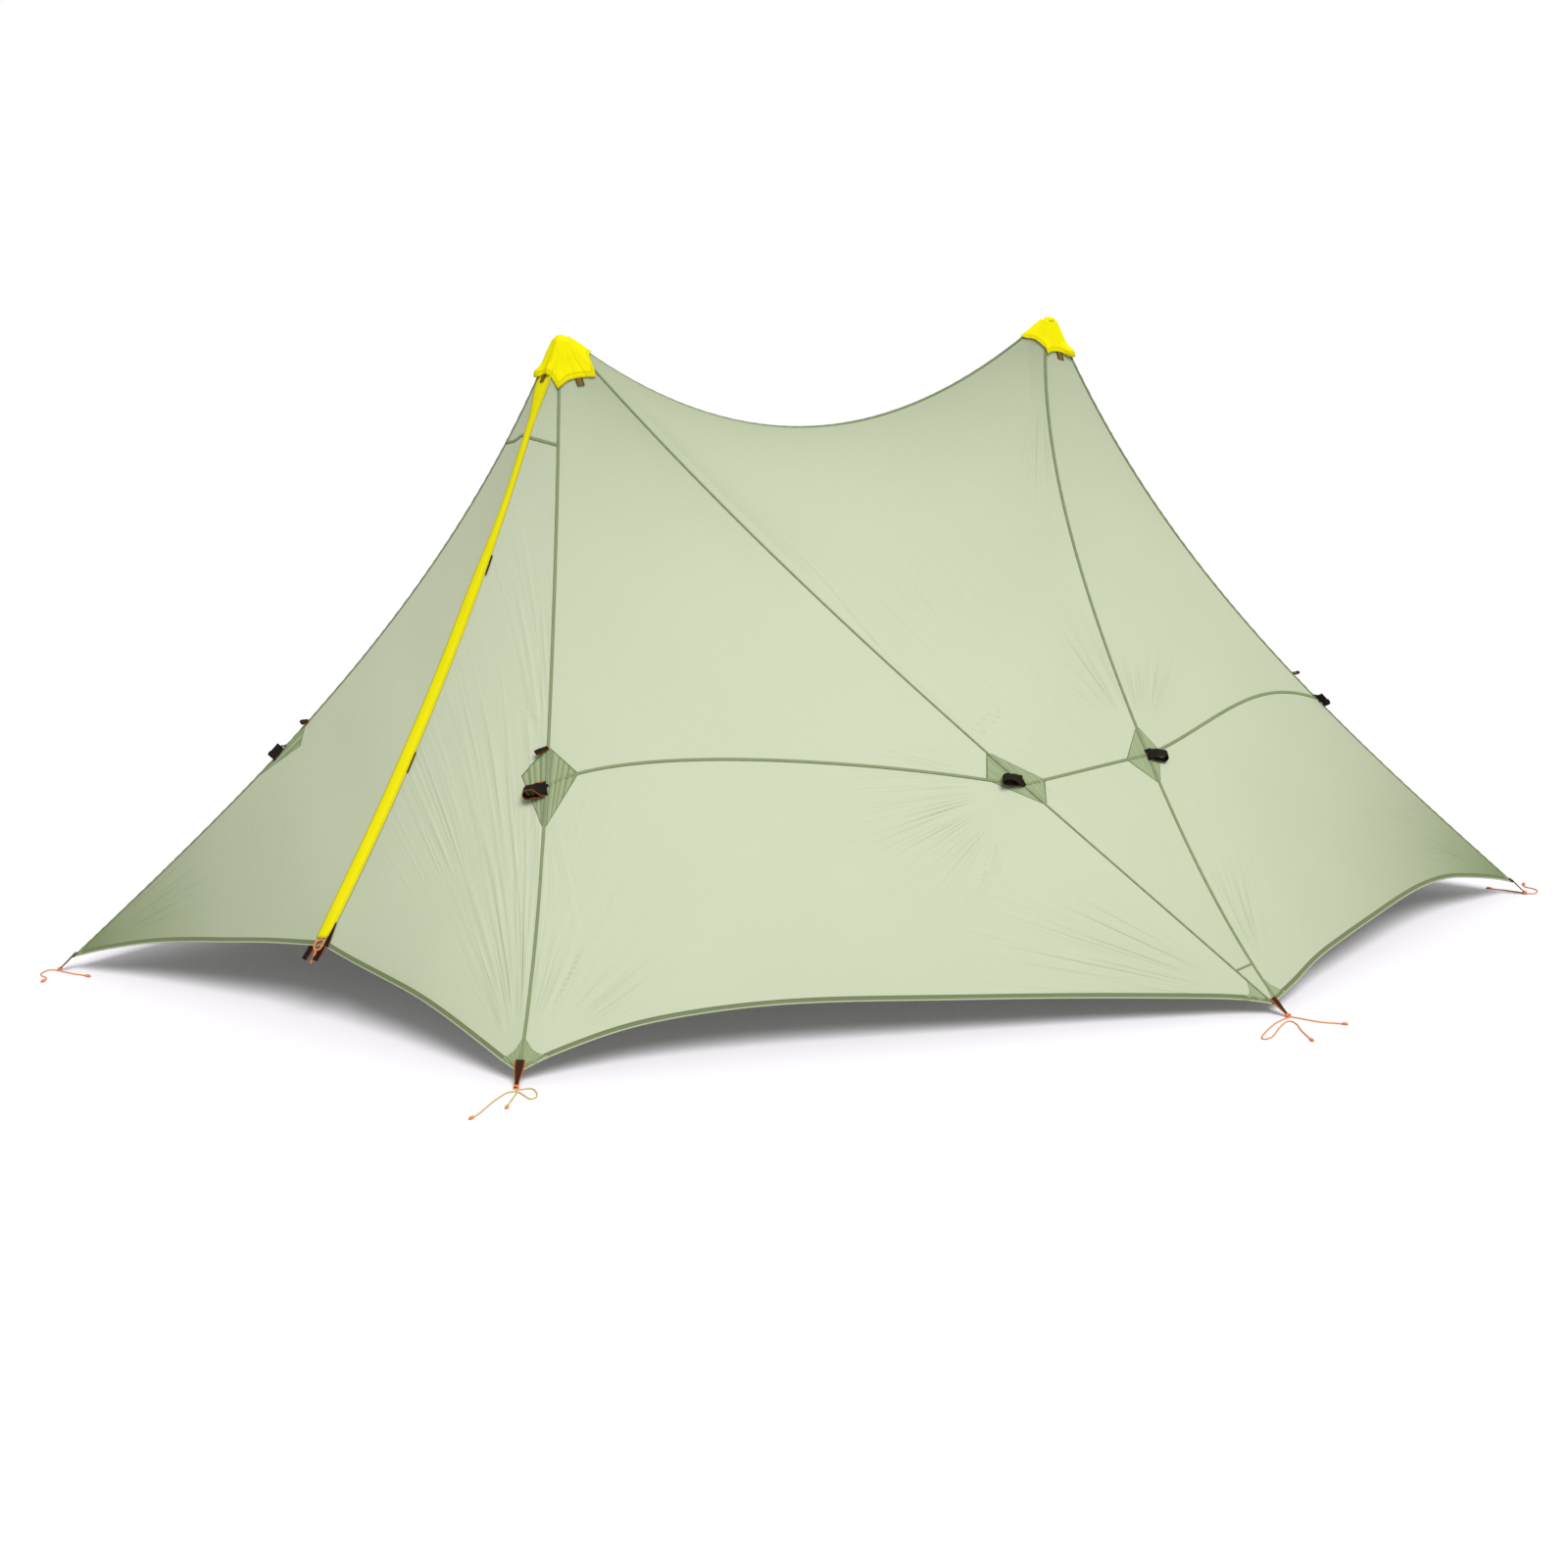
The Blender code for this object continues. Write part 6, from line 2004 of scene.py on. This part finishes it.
@dataclass
class Door(Maker):
    """One zipped door: storm flap, zip, slider pull, foot tabs and tie-back."""

    canopy: Canopy
    creased: CreasedCanopy
    bend: float = 0.085
    flap_wall: float = 0.0007
    flap_stand: float = 0.0016
    flap_crown: float = 0.0022
    flap_ends: Pair = (0.062, 0.010)
    flap_cut: float = 0.036
    tape_wall: float = 0.0005
    tape_width: float = 0.0085
    tape_inset: float = 0.0012
    tooth_pitch: float = 0.0030
    tooth_size: Triple = (0.0034, 0.0018, 0.0014)
    tooth_reach: float = 0.0011
    tooth_drop: float = 0.0024
    tooth_bevel: float = 0.0002
    slider_up: float = 0.016
    pull_radius: float = 0.00185
    pull_out: float = 0.0125
    tab_size: Triple = (0.0135, 0.0016, 0.0004)
    tie_size: Pair = (0.0088, 0.0012)
    tie_back_rows: int = 7
    tie_stand: float = 0.0010
    tie_lean: float = 0.6
    flap_tab_wall: float = 0.0012
    flap_tab_stand: float = 0.0021
    cord_step: float = 0.0014

    FLAP_STEPS = 13
    FLAP_LIMIT = 0.9
    FLAP_BOW = 0.8
    FLAP_WAVES = ((0.0004, 47), (0.0003, 103))
    CAP_CROWN = 0.35
    CAP_END = 0.07
    CAP_FADE = 0.05
    SPREAD = 0.0075
    SPREAD_FROM = 0.075
    SPREAD_OVER = 0.11
    FOOT_NARROW = 0.20
    NARROW_FROM = 0.034
    NARROW_OVER = 0.024
    ZIP_MARKS = 200
    TAPE_STEPS = 5
    TOOTH_HEAD = (0.9, 0.6, 1.0)
    PULL_SIDE = 0.004
    PULL_SIDE_REACH = 0.04
    PULL_LIFT_FROM = 0.024
    PULL_LIFT_OVER = 0.014
    PULL_LOOP = (
        (0.0, -0.4), (0.004, -1.2), (0.014, -1.5), (0.026, -1.7), (0.032, -4.0), (0.040, -8.2),
        (0.0500, -7.4), (0.0540, -3.6), (0.0550, 0.0),
    )
    PULL_TAIL = ((0.0548, 0.4), (0.061, 3.6), (0.070, 5.8), (0.080, 7.4))
    FOOT_TAB_SHIFTS = (("left", 0.004), ("right", 0.014))
    FOOT_TAB_STEPS = 24
    FOOT_TAB_OUT = 0.0028
    FOOT_TAB_FROM = 0.004
    FOOT_TAB_OVER = 0.02
    FLAP_TAB_STEPS = 20
    FLAP_TAB_MARKS = ((0.384, 0.422), (0.772, 0.812))
    FLAP_TAB_OUT = (0.0016, 0.0022)
    FLAP_TAB_WIDTH = 0.0030
    STRAP_LENGTH = 0.048
    STRAP_OUT = (0.0002, 0.0050)
    STRAP_WIDTHS = (0.0022, 0.0120)
    STRAP_END = 0.001
    TIE_LOOP = ((0.0, -0.5), (0.009, -1.2), (0.019, -2.6), (0.0255, -2.2), (0.0285, 0.0))
    TIE_HANG = (-0.82, 0.0, -0.52)

    def hang(self, piece: Piece, side: str) -> Piece:
        """Bakes the placement of a piece of a door half into its mesh."""
        top, foot = self.canopy.hinges[side]
        line = unit(foot - top)
        middle = (top + foot) / 2
        inward = (self.canopy.part[self.canopy.plan.rows.above] + self.canopy.part[-1]) / 2 - middle
        inward = unit(inward - (inward @ line) * line)
        start, end = (tuple(self.half.place(p)) for p in (middle, middle + inward * self.bend))
        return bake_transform(piece)

    def build(self) -> None:
        """Builds everything on the door but its cloth."""
        self.build_flap()
        self.build_zip("left", -1, 0.25)
        self.build_zip("right", 0, 0.75)
        self.build_pull()
        self.build_foot_tabs()
        self.build_flap_tabs()
        self.build_tie_backs()

    def build_flap(self) -> None:
        """Storm flap over the parting line, from under the cap to the hem."""
        face, c = self.creased.faces["door_left"], self.canopy
        s, normals = c.part_s, face.normals()
        steps = np.linspace(0, 1, self.FLAP_STEPS)
        bow = np.sin(math.pi * steps)
        reach = reach_along(face.grid[:, -1])
        ripple = np.random.default_rng(3 + self.half.number).uniform(0, 6.28, 3)
        points = []
        for i, line in enumerate(face.grid[:, ::-1]):
            away = reach_along(line)
            at = resample(steps * min(c.flap_width[i], away[-1] * self.FLAP_LIMIT), away, line)
            wave = sum(
                height * math.sin(reach[i] * rate + start) for (height, rate), start in zip(self.FLAP_WAVES, ripple)
            )
            crown = self.flap_stand + self.flap_crown * bow ** self.FLAP_BOW + wave * bow
            free = float(ease((s[i] - self.CAP_END) / self.CAP_FADE))
            crown = crown * (self.CAP_CROWN + (1 - self.CAP_CROWN) * free)
            spread = self.SPREAD * (1 - float(ease((s[i] - self.SPREAD_FROM) / self.SPREAD_OVER)))
            row = at + normals[i, -1] * crown[:, None] + c.part_right * ((1 - steps) * spread)[:, None]
            narrow = self.FOOT_NARROW * float(ease((s[i] - s[-1] + self.NARROW_FROM) / self.NARROW_OVER))
            points.append(row + (row.mean(0) - row) * narrow)
        first = np.flatnonzero(s < self.flap_ends[0])[-1]
        last = np.flatnonzero(s < s[-1] - self.flap_ends[1])[-1] + 1
        points = np.array(points[first:last])
        piece = self.grid("storm_flap_cloth", points, chart_of(reach[first:last], steps), c.door_plane.n)
        give_wall(piece, self.flap_wall)
        self.wardrobe.dress(piece, self.wardrobe.flap)
        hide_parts(self.node_name("storm_flap"))
        self.hang(piece, "left")
        self.node_name("door_left_cloth")
        round(grid_area(points), 5)

    def build_zip(self, side: str, edge: int, shift: float) -> None:
        """Zip tape and teeth on the inner edge of one door half.

        Args:
            side: door half.
            edge: its column at the parting line.
            shift: where in the pitch its teeth stand.
        """
        face, arc = self.creased.faces[f"door_{side}"], self.canopy.plan.rows.above
        line, normal = face.grid[arc:, edge], face.normals()[arc:, edge]
        toward = unit(face.grid[arc:, 5 if edge == 0 else -6] - line)
        reach = reach_along(line)
        marks = np.linspace(0, reach[-1], self.ZIP_MARKS)
        line, normal, toward = (resample(marks, reach, v) for v in (line, normal, toward))
        base = line - normal * self.tape_inset
        steps = np.linspace(0, 1, self.TAPE_STEPS)
        points = np.stack([base + toward * (self.tape_inset + self.tape_width * s) for s in steps], axis=1)
        tape = self.grid(f"zip_tape_{side}", points, chart_of(marks, steps), self.canopy.door_plane.n)
        give_wall(tape, self.tape_wall)
        self.wardrobe.dress(tape, self.wardrobe.zip_tape)
        self.hang(tape, side)
        self.build_teeth(side, shift, line, normal, toward, reach[-1])

    def tooth(self) -> tuple[Array, list[tuple[int, ...]]]:
        """One tooth, modelled as a block with its head narrowed and its edges broken.

        Returns:
            Its corners, in reach, run and height, and its faces.
        """
        bpy.ops.object.select_all(action="DESELECT")
        bpy.ops.mesh.primitive_cube_add(size=1.0, location=(self.tooth_reach, 0.0, 0.0), scale=self.tooth_size)
        block = bpy.context.object
        bpy.ops.object.transform_apply(location=True, rotation=False, scale=True)
        bpy.ops.object.mode_set(mode="EDIT")
        bpy.ops.mesh.select_all(action="DESELECT")
        work = bmesh.from_edit_mesh(block.data)
        for face in work.faces:
            face.select_set(face.normal.z > 0.9)
        bmesh.update_edit_mesh(block.data)
        bpy.ops.transform.resize(value=self.TOOTH_HEAD)
        bpy.ops.mesh.select_all(action="SELECT")
        bpy.ops.mesh.bevel(offset=self.tooth_bevel, segments=1, affect="EDGES")
        bpy.ops.object.mode_set(mode="OBJECT")
        shape = np.array([v.co for v in block.data.vertices])
        loops = [tuple(face.vertices) for face in block.data.polygons]
        bpy.data.objects.remove(block, do_unlink=True)
        return shape, loops

    def build_teeth(self, side: str, shift: float, line: Array, normal: Array, toward: Array, length: float) -> None:
        """Row of coil teeth.

        Args:
            side: door half.
            shift: where in the pitch these teeth stand.
            line: edge of the door half.
            normal: its outward normals.
            toward: directions into the door half.
            length: length of the zip.
        """
        marks = (np.arange(int(length / self.tooth_pitch) - 4) + shift) * self.tooth_pitch
        reach = reach_along(line)
        place, up, inward = (resample(marks, reach, v) for v in (line, normal, toward))
        along = unit(np.gradient(place, axis=0))
        shape, loops = self.tooth()
        corners, faces = [], []
        for p, n, q, a in zip(place, up, inward, along):
            faces += [tuple(k + len(corners) for k in loop) for loop in loops]
            turned = p + shape @ np.array([unit(q), a, n]) - n * self.tooth_drop
            corners += [tuple(v) for v in self.half.place(turned)]
        mesh = bpy.data.meshes.new(f"zip_teeth_{side}")
        mesh.from_pydata(corners, [], faces)
        teeth = add_object(self.node_name(f"zip_teeth_{side}"), mesh)
        self.wardrobe.dress(teeth, self.wardrobe.plastic)
        self.hang(teeth, side)

    def build_pull(self) -> None:
        """Orange cord loop on the slider."""
        c = self.canopy
        on_arc = c.part_points(np.array([c.part_length - self.slider_up]))[0]
        centre = c.part_start + c.part_down * c.part_length / 2 + c.part_out * (c.zip_radius - c.plan.zip_sag)
        down = unit(np.cross(unit(centre - on_arc), c.part_right))
        down = down if down @ c.part_down > 0 else -down
        nodes = self.cad_points("zip_pull")
        middle = (nodes.min(0) + nodes.max(0)) / 2
        root = middle + down * float(((nodes - middle) @ down).min())
        below = (root - c.part_start) @ c.part_down
        for name, line in (("zip_pull_loop", mirrored(self.PULL_LOOP)), ("zip_pull_tail", self.PULL_TAIL)):
            reach, swing = np.array(line).T
            path = c.part_points(below + reach) + root - c.part_points(np.array([below]))
            path = path + c.part_right * (swing * MM - self.PULL_SIDE * ease(reach / self.PULL_SIDE_REACH))[:, None]
            lift = ease((reach - self.PULL_LIFT_FROM) / self.PULL_LIFT_OVER)[:, None]
            path = path + c.door_plane.n * self.pull_out * lift
            cord = to_mesh(self.tube(name, smooth_route(path, self.cord_step), self.pull_radius))
            self.wardrobe.dress(cord, self.wardrobe.orange_cord)
            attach(cord, f"{self.half.prefix}_zip_pull")
            if name == "zip_pull_loop":
                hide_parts(self.node_name("zip_pull"))

    def build_foot_tabs(self) -> None:
        """Black webbing tabs that hang at the foot of each door half."""
        c = self.canopy
        width, wall, crown = self.tab_size
        for side, shift in self.FOOT_TAB_SHIFTS:
            nodes = self.cad_points(f"door_tab_{side}") + c.part[-1] - c.part_points(np.array([c.part_length]))
            nodes = nodes - c.part_right * shift
            middle = nodes.mean(0)
            spread = nodes - middle
            along, wide = np.linalg.svd(spread, full_matrices=False)[2][:2]
            along = along if along[2] < 0 else -along
            reach = spread @ along
            steps = np.linspace(reach.min(), reach.max(), self.FOOT_TAB_STEPS)
            out = np.cross(along, wide)
            out = out if out @ c.door_plane.n > 0 else -out
            bulge = self.FOOT_TAB_OUT * ease((steps - self.FOOT_TAB_FROM) / self.FOOT_TAB_OVER)
            path = middle + along * steps[:, None] + out * bulge[:, None]
            tab = self.ribbon(f"door_foot_tab_{side}", path, wide, width, wall, self.wardrobe.black_web, crown)
            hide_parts(self.node_name(f"door_tab_{side}"))
            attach(tab, f"{self.half.prefix}_door_{side}")

    def build_flap_tabs(self) -> None:
        """Dark tabs that peep out along the right edge of the flap, and the strap at its foot."""
        face, count = self.creased.faces["door_right"], self.FLAP_TAB_STEPS
        reach = reach_along(face.grid[:, 0])
        tabs = [(*marks, self.FLAP_TAB_OUT, self.FLAP_TAB_WIDTH) for marks in self.FLAP_TAB_MARKS]
        foot = reach[-1]
        tabs.append((foot - self.STRAP_LENGTH, foot, self.STRAP_OUT, np.linspace(*self.STRAP_WIDTHS, count)))
        for k, (begin, end, outs, width) in enumerate(tabs):
            marks = np.linspace(begin, min(end, foot - self.STRAP_END), count)
            line, inside, normal = (
                resample(marks, reach, v) for v in (face.grid[:, 0], face.grid[:, 6], face.normals()[:, 0])
            )
            toward = unit(inside - line)
            out = np.linspace(*outs, count)[:, None]
            path = line + toward * out + normal * self.flap_tab_stand
            tab = self.ribbon(f"flap_tab_{k + 1}", path, toward, width, self.flap_tab_wall, self.wardrobe.black_web)
            self.hang(tab, "right")

    def build_tie_backs(self) -> None:
        """Small loops that hold a rolled door half back, one on each seam of the door."""
        c = self.canopy
        row = c.plan.rows.tie - self.tie_back_rows
        outline = mirrored(self.TIE_LOOP)
        hang = np.array(self.TIE_HANG)
        width, wall = self.tie_size
        for key, door, seam, column, shift, size in (
            ("front", "door_right", c.seam_front, -1, 0.0, 1.0), ("end", "door_left", c.seam_end, 0, 0.016, 0.55),
        ):
            normal = self.creased.faces[door].normals()[row, column]
            node = seam[row] + normal * self.tie_stand + unit(seam[row + 1] - seam[row]) * shift
            reach, wide = unit(hang + normal * self.tie_lean), unit(np.cross(hang, normal))
            side = np.cross(wide, reach)
            path = np.array([node + reach * x * size + side * y * MM for x, y in outline])
            path = smooth_route(path, self.cord_step)
            loop = self.ribbon(f"door_tie_loop_{key}", path, wide, width, wall, self.wardrobe.black_web)
            if key == "front":
                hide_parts(self.node_name("door_tie_back"))
            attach(loop, "canopy")


@dataclass
class TentHalf(Maker):
    """All pieces of one half of the tent."""

    canopy: Canopy
    cloth_wall: float = 0.0006
    allowance: float = 1.02

    def build(self) -> None:
        """Builds the half, cloth first."""
        self.creased = CreasedCanopy(self.canopy, self.half)
        self.door = Door(self.wardrobe, self.half, self.canopy, self.creased)
        self.build_cloth()
        self.build_seams()
        self.build_patches()
        PeakCap(self.wardrobe, self.half, self.canopy).build()
        self.door.build()
        self.build_tie_outs()
        self.build_corners()
        self.dress_poles()
        LOG.info("%s half done", self.half.prefix)

    def carry(self, piece: Piece, face: str) -> None:
        """Attaches a piece to the canopy's body, or bakes its placement if it belongs to a door half."""
        if face.startswith("door"):
            self.door.hang(piece, face.split("_")[1])
        else:
            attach(piece, "canopy")

    def build_cloth(self) -> None:
        """The five sheets of cloth."""
        stands_for = {
            "front": ("panel_front_upper", "panel_front_lower"), "roof": ("panel_roof_upper", "panel_roof_lower"),
            "end": ("panel_end_upper", "panel_end_lower"), "door_left": ("door_left",),
            "door_right": ("door_right", "door_surround"),
        }
        for name, face in self.creased.faces.items():
            piece = self.grid(f"{name}_cloth", face.grid, face.chart, face.plane.n)
            # painted shade near the ridge, the peaks, the end corners and the floor
            write_attribute(piece, "Depth", "FLOAT", self.canopy.depth(face.grid))
            write_attribute(piece, "Fold", "FLOAT_VECTOR", face.fold)
            give_wall(piece, self.cloth_wall)
            self.wardrobe.dress(piece, self.wardrobe.cloth)
            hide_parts(*(self.node_name(node) for node in stands_for[name]))
            self.carry(piece, name)
            area = grid_area(face.grid)
            self.node_name("pole_tip_tube")
            LOG.info("%s cloth, %.2f square metres", name, area)

    @staticmethod
    def cut_size(chart: Array) -> Array:
        """Width and length of the smallest rectangle that the flat cut fits in."""
        extents = []
        for degrees in range(0, 90, 2):
            turn = math.radians(degrees)
            axes = np.array([[math.cos(turn), math.sin(turn)], [-math.sin(turn), math.cos(turn)]])
            extents.append(np.ptp(chart.reshape(-1, 2) @ axes.T, axis=0))
        return np.sort(min(extents, key=np.prod))

    def build_seams(self) -> None:
        """Felled seams, cross seams, door arcs and hems."""
        maker = SeamMaker(self.wardrobe, self.half)
        faces, rows = self.creased.faces, self.canopy.plan.rows
        for name, first, at_first, second, at_second, turned, size in (
            ("seam_front", "door_right", -1, "front", 0, False, maker.SEAM),
            ("seam_long", "front", -1, "roof", 0, False, maker.NARROW),
            ("seam_side", "roof", -1, "end", 0, False, maker.SEAM),
            ("seam_end", "door_left", 0, "end", -1, True, maker.SEAM),
        ):
            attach(maker.between(name, faces[first], at_first, faces[second], at_second, turned, size), "canopy")
        for name in ("front", "end", "roof"):
            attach(maker.across(f"cross_seam_{name}", faces[name], rows.tie, maker.SEAM), "canopy")
        short = len(faces["roof"].grid) - 10
        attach(maker.across("tip_seam_roof", faces["roof"], short, maker.NARROW), "canopy")
        for side in ("left", "right"):
            face = faces[f"door_{side}"]
            self.door.hang(maker.across(f"arc_seam_{side}", face, rows.above, maker.SEAM, 1), side)
            self.door.hang(maker.hem(f"hem_door_{side}", face), side)
        for name in ("front", "end"):
            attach(maker.hem(f"hem_{name}", faces[name]), "canopy")
        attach(maker.ridge(self.canopy.ridge(np.linspace(0.035, 0.5, 60))), "canopy")

    def build_patches(self) -> None:
        """Reinforcing patches at the tie-outs and corners."""
        maker = PatchMaker(self.wardrobe, self.half)
        faces, tie = self.creased.faces, self.canopy.plan.rows.tie
        for name, face, column, size in (
            ("front_a", "front", 0, PatchSize(0.078, 0.072, 0.067, 8)),
            ("front_b", "door_right", -1, PatchSize(0.078, 0.072, 0.056, 7)),
            ("end_a", "door_left", 0, PatchSize(0.060, 0.072, 0.046, 6)),
            ("long_a", "front", -1, PatchSize(0.087, 0.052, 0.072, 5, 0.0006)),
            ("long_b", "roof", 0, PatchSize(0.087, 0.052, 0.047, 5, 0.0006)),
            ("side_a", "roof", -1, PatchSize(0.056, 0.057, 0.052, 5, 0.0004)),
            ("side_b", "end", 0, PatchSize(0.056, 0.057, 0.030, 5, 0.0004)),
        ):
            self.carry(maker.tie_out(f"tie_patch_{name}", faces[face], column, tie, size), face)
        for name, face, column, size in (
            ("front_a", "front", 0, PatchSize(0.060, 0.0, 0.062, 9)),
            ("front_b", "door_right", -1, PatchSize(0.060, 0.0, 0.046, 8)),
            ("side_a", "front", -1, PatchSize(0.060, 0.0, 0.062, 5, 0.0004)),
            ("side_b", "end", 0, PatchSize(0.046, 0.0, 0.040, 5, 0.0004)),
            ("side_c", "roof", -1, PatchSize(0.040, 0.0, 0.020, 3, 0.0003)),
            ("end_a", "door_left", 0, PatchSize(0.030, 0.0, 0.030, 5)),
            ("end_b", "end", -1, PatchSize(0.030, 0.0, 0.030, 5)),
        ):
            self.carry(maker.corner(f"corner_patch_{name}", faces[face], column, size), face)

    def build_tie_outs(self) -> None:
        """The four guy-line loops."""
        c, tie = self.canopy, self.canopy.plan.rows.tie
        at_tie = {name: face.normals()[tie] for name, face in self.creased.faces.items()}
        slanted = (0.227, 0.942, 0.249)
        for name, seam, normal, shift, reach, through, turned, gap, length, width in (
            ("end", c.seam_end, at_tie["door_left"][0] + at_tie["end"][-1] @ HALF_TURN, 0.0,
             (-0.66, 0.0, -0.75), (-0.62, 0.62, 0.48), None, 0.0112, 0.028, 0.017),
            ("front", c.seam_front, at_tie["door_right"][-1] + at_tie["front"][0], 0.0,
             (-0.93, 0.20, -0.20), (0.16, 0.48, 0.87), (0.233, 0.969, 0.077), 0.0180, 0.041, 0.029),
            ("long", c.seam_long, at_tie["front"][-1] + at_tie["roof"][0], -0.008,
             (-0.92, -0.16, 0.20), (0.06, 0.62, 0.78), slanted, 0.0140, 0.041, 0.0215),
            ("side", c.seam_side, at_tie["roof"][-1] + at_tie["end"][0], 0.0,
             (0.93, 0.10, -0.26), (0.12, 0.72, 0.68), slanted, 0.0150, 0.041, 0.0215),
        ):
            along = unit(seam[tie + 1] - seam[tie - 1])
            TieOut(
                self.wardrobe, self.half, name, seam[tie] + along * shift, normal, along, reach, through, turned,
                gap, length, width,
            ).build()

    def build_corners(self) -> None:
        """Straps and cords of the three corners."""
        c = self.canopy
        last = {name: face.normals()[-2] for name, face in self.creased.faces.items()}
        ends = {
            "end": (c.seam_end, last["door_left"][2] + last["end"][-3] @ HALF_TURN, c.foot_end),
            "front": (c.seam_front, last["door_right"][-3] + last["front"][2], c.foot_front),
            "side": ((c.seam_long + c.seam_side) / 2, last["front"][-3] + last["end"][2], c.foot_side),
        }
        for route in CORD_ROUTES:
            seam, normal, foot = ends[route.corner]
            Corner(self.wardrobe, self.half, route, seam[-12:], unit(normal), foot).build()

    def dress_poles(self) -> None:
        """Materials of the trekking pole and the zip slider, which keep their CAD shape."""
        wear = self.wardrobe
        for name, finish in (
            ("pole_grip", wear.foam), ("pole_grip_tube", wear.tube), ("pole_tip_tube", wear.tube),
            ("pole_lock_lever", wear.plastic), ("zip_slider", wear.plastic),
        ):
            wear.dress(frame["nodes"][self.node_name(name)], finish)


# Studio

def mix_seen(tree: bpy.types.NodeTree, hidden: bpy.types.Node, seen: bpy.types.Node, output: str) -> None:
    """Gives a tree one shader for stray light and one for what is seen directly or mirrored.

    Args:
        tree: the node tree.
        hidden: shader that stray light meets.
        seen: shader that shows.
        output: name of the tree's output node.
    """
    rays = tree.nodes.new("ShaderNodeLightPath")
    camera, glossy, through = (
        Value(tree, rays.outputs[f"Is {kind} Ray"]) for kind in ("Camera", "Glossy", "Transmission")
    )
    share = (camera + glossy + through).clamp()
    mix = tree.nodes.new("ShaderNodeMixShader")
    for slot, socket in zip(mix.inputs, (share.socket, hidden.outputs[0], seen.outputs[0])):
        tree.links.new(socket, slot)
    tree.links.new(mix.outputs[0], tree.nodes[output].inputs["Surface"])


@dataclass(frozen=True)
class Studio:
    """Camera, lights and floor."""

    yaw: float = 13.51
    pitch: float = 15.628
    roll: float = -0.783
    eye: Triple = (-1.1892, -4.6896, 1.6604)
    focal_px: float = 2600.0
    image_px: float = 1600.0
    sensor: float = 36.0
    view_end: float = 60.0
    key_azimuth: float = 8.0
    key_height: float = 52.0
    key_power: float = 2.60
    key_angle: float = 34.0
    sky: float = 0.38
    floor_half: float = 14.0
    floor_stray: float = 0.52
    floor_gain: float = 0.95
    floor_glow: float = 0.085

    def build(self) -> None:
        """Builds the studio."""
        self.add_camera()
        self.add_light()
        self.add_floor()
        bpy.context.scene.view_settings.view_transform = "Standard"

    def add_camera(self) -> None:
        """Camera at the photograph's viewing angle."""
        yaw, pitch, roll = (math.radians(a) for a in (self.yaw, self.pitch, self.roll))
        forward = np.array([
            math.sin(yaw) * math.cos(pitch), math.cos(yaw) * math.cos(pitch), -math.sin(pitch)
        ])
        right = np.array([math.cos(yaw), -math.sin(yaw), 0.0])
        up = np.cross(right, forward)
        turned_right = right * math.cos(roll) + up * math.sin(roll)
        turned_up = -right * math.sin(roll) + up * math.cos(roll)
        data = bpy.data.cameras.new("Camera")
        data.sensor_width = self.sensor
        data.lens = self.sensor * self.focal_px / self.image_px
        data.clip_end = self.view_end
        camera = add_object("Camera", data)
        rows = np.array([turned_right, turned_up, -forward, self.eye]).T
        camera.matrix_world = Matrix((*rows.tolist(), (0, 0, 0, 1)))
        bpy.context.scene.camera = camera

    def add_light(self) -> None:
        """One broad soft key light and an even sky."""
        data = bpy.data.lights.new("Key", "SUN")
        data.energy = self.key_power
        data.angle = math.radians(self.key_angle)
        key = add_object("Key", data)
        azimuth, height = math.radians(self.key_azimuth), math.radians(self.key_height)
        toward = Vector((
            math.sin(azimuth) * math.cos(height), -math.cos(azimuth) * math.cos(height), math.sin(height)
        ))
        key.rotation_mode = "QUATERNION"
        key.rotation_quaternion = toward.to_track_quat("Z", "Y")
        world = bpy.data.worlds.new("Studio")
        world.use_nodes = True
        tree = world.node_tree
        ground, white = tree.nodes["Background"], tree.nodes.new("ShaderNodeBackground")
        for node, strength in ((ground, self.sky), (white, 1.0)):
            node.inputs["Color"].default_value = (1, 1, 1, 1)
            node.inputs["Strength"].default_value = strength
        mix_seen(tree, ground, white, "World Output")
        bpy.context.scene.world = world

    def add_floor(self) -> None:
        """Pale floor that shows white where it is lit and keeps the tent's shadow."""
        mesh = bpy.data.meshes.new("floor")
        s = self.floor_half
        mesh.from_pydata([(-s, -s, 0), (s, -s, 0), (s, s, 0), (-s, s, 0)], [], [(0, 1, 2, 3)])
        floor = add_object("studio_floor", mesh)
        shader = Shader("studio_floor")
        gain = self.floor_gain
        plain = shader.node("BsdfDiffuse", None, Color=rgba((self.floor_stray,) * 3))
        bright = shader.node("BsdfDiffuse", None, Color=rgba((gain, gain * 0.97, gain * 1.02)))
        glow = shader.node("Emission", None, Color=(1, 1, 1, 1), Strength=self.floor_glow)
        both = shader.node("AddShader")
        for slot, part in zip(both.inputs, (bright, glow)):
            shader.put(slot, part.outputs[0])
        mix_seen(shader.tree, plain, both, "Material Output")
        floor.data.materials.append(shader.material)


def write_sizes() -> None:
    """Updates the view layer."""
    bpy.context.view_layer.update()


def main() -> None:
    """Builds the studio and both halves of the tent."""
    logging.basicConfig(level=logging.INFO, format="%(name)s: %(message)s")
    bpy.ops.object.select_all(action="DESELECT")
    Studio().build()
    wardrobe = Wardrobe()
    canopy = Canopy(CanopyPlan())
    for half in Half:
        TentHalf(wardrobe, half, canopy).build()
    write_sizes()


if __name__ == "__main__":
    main()
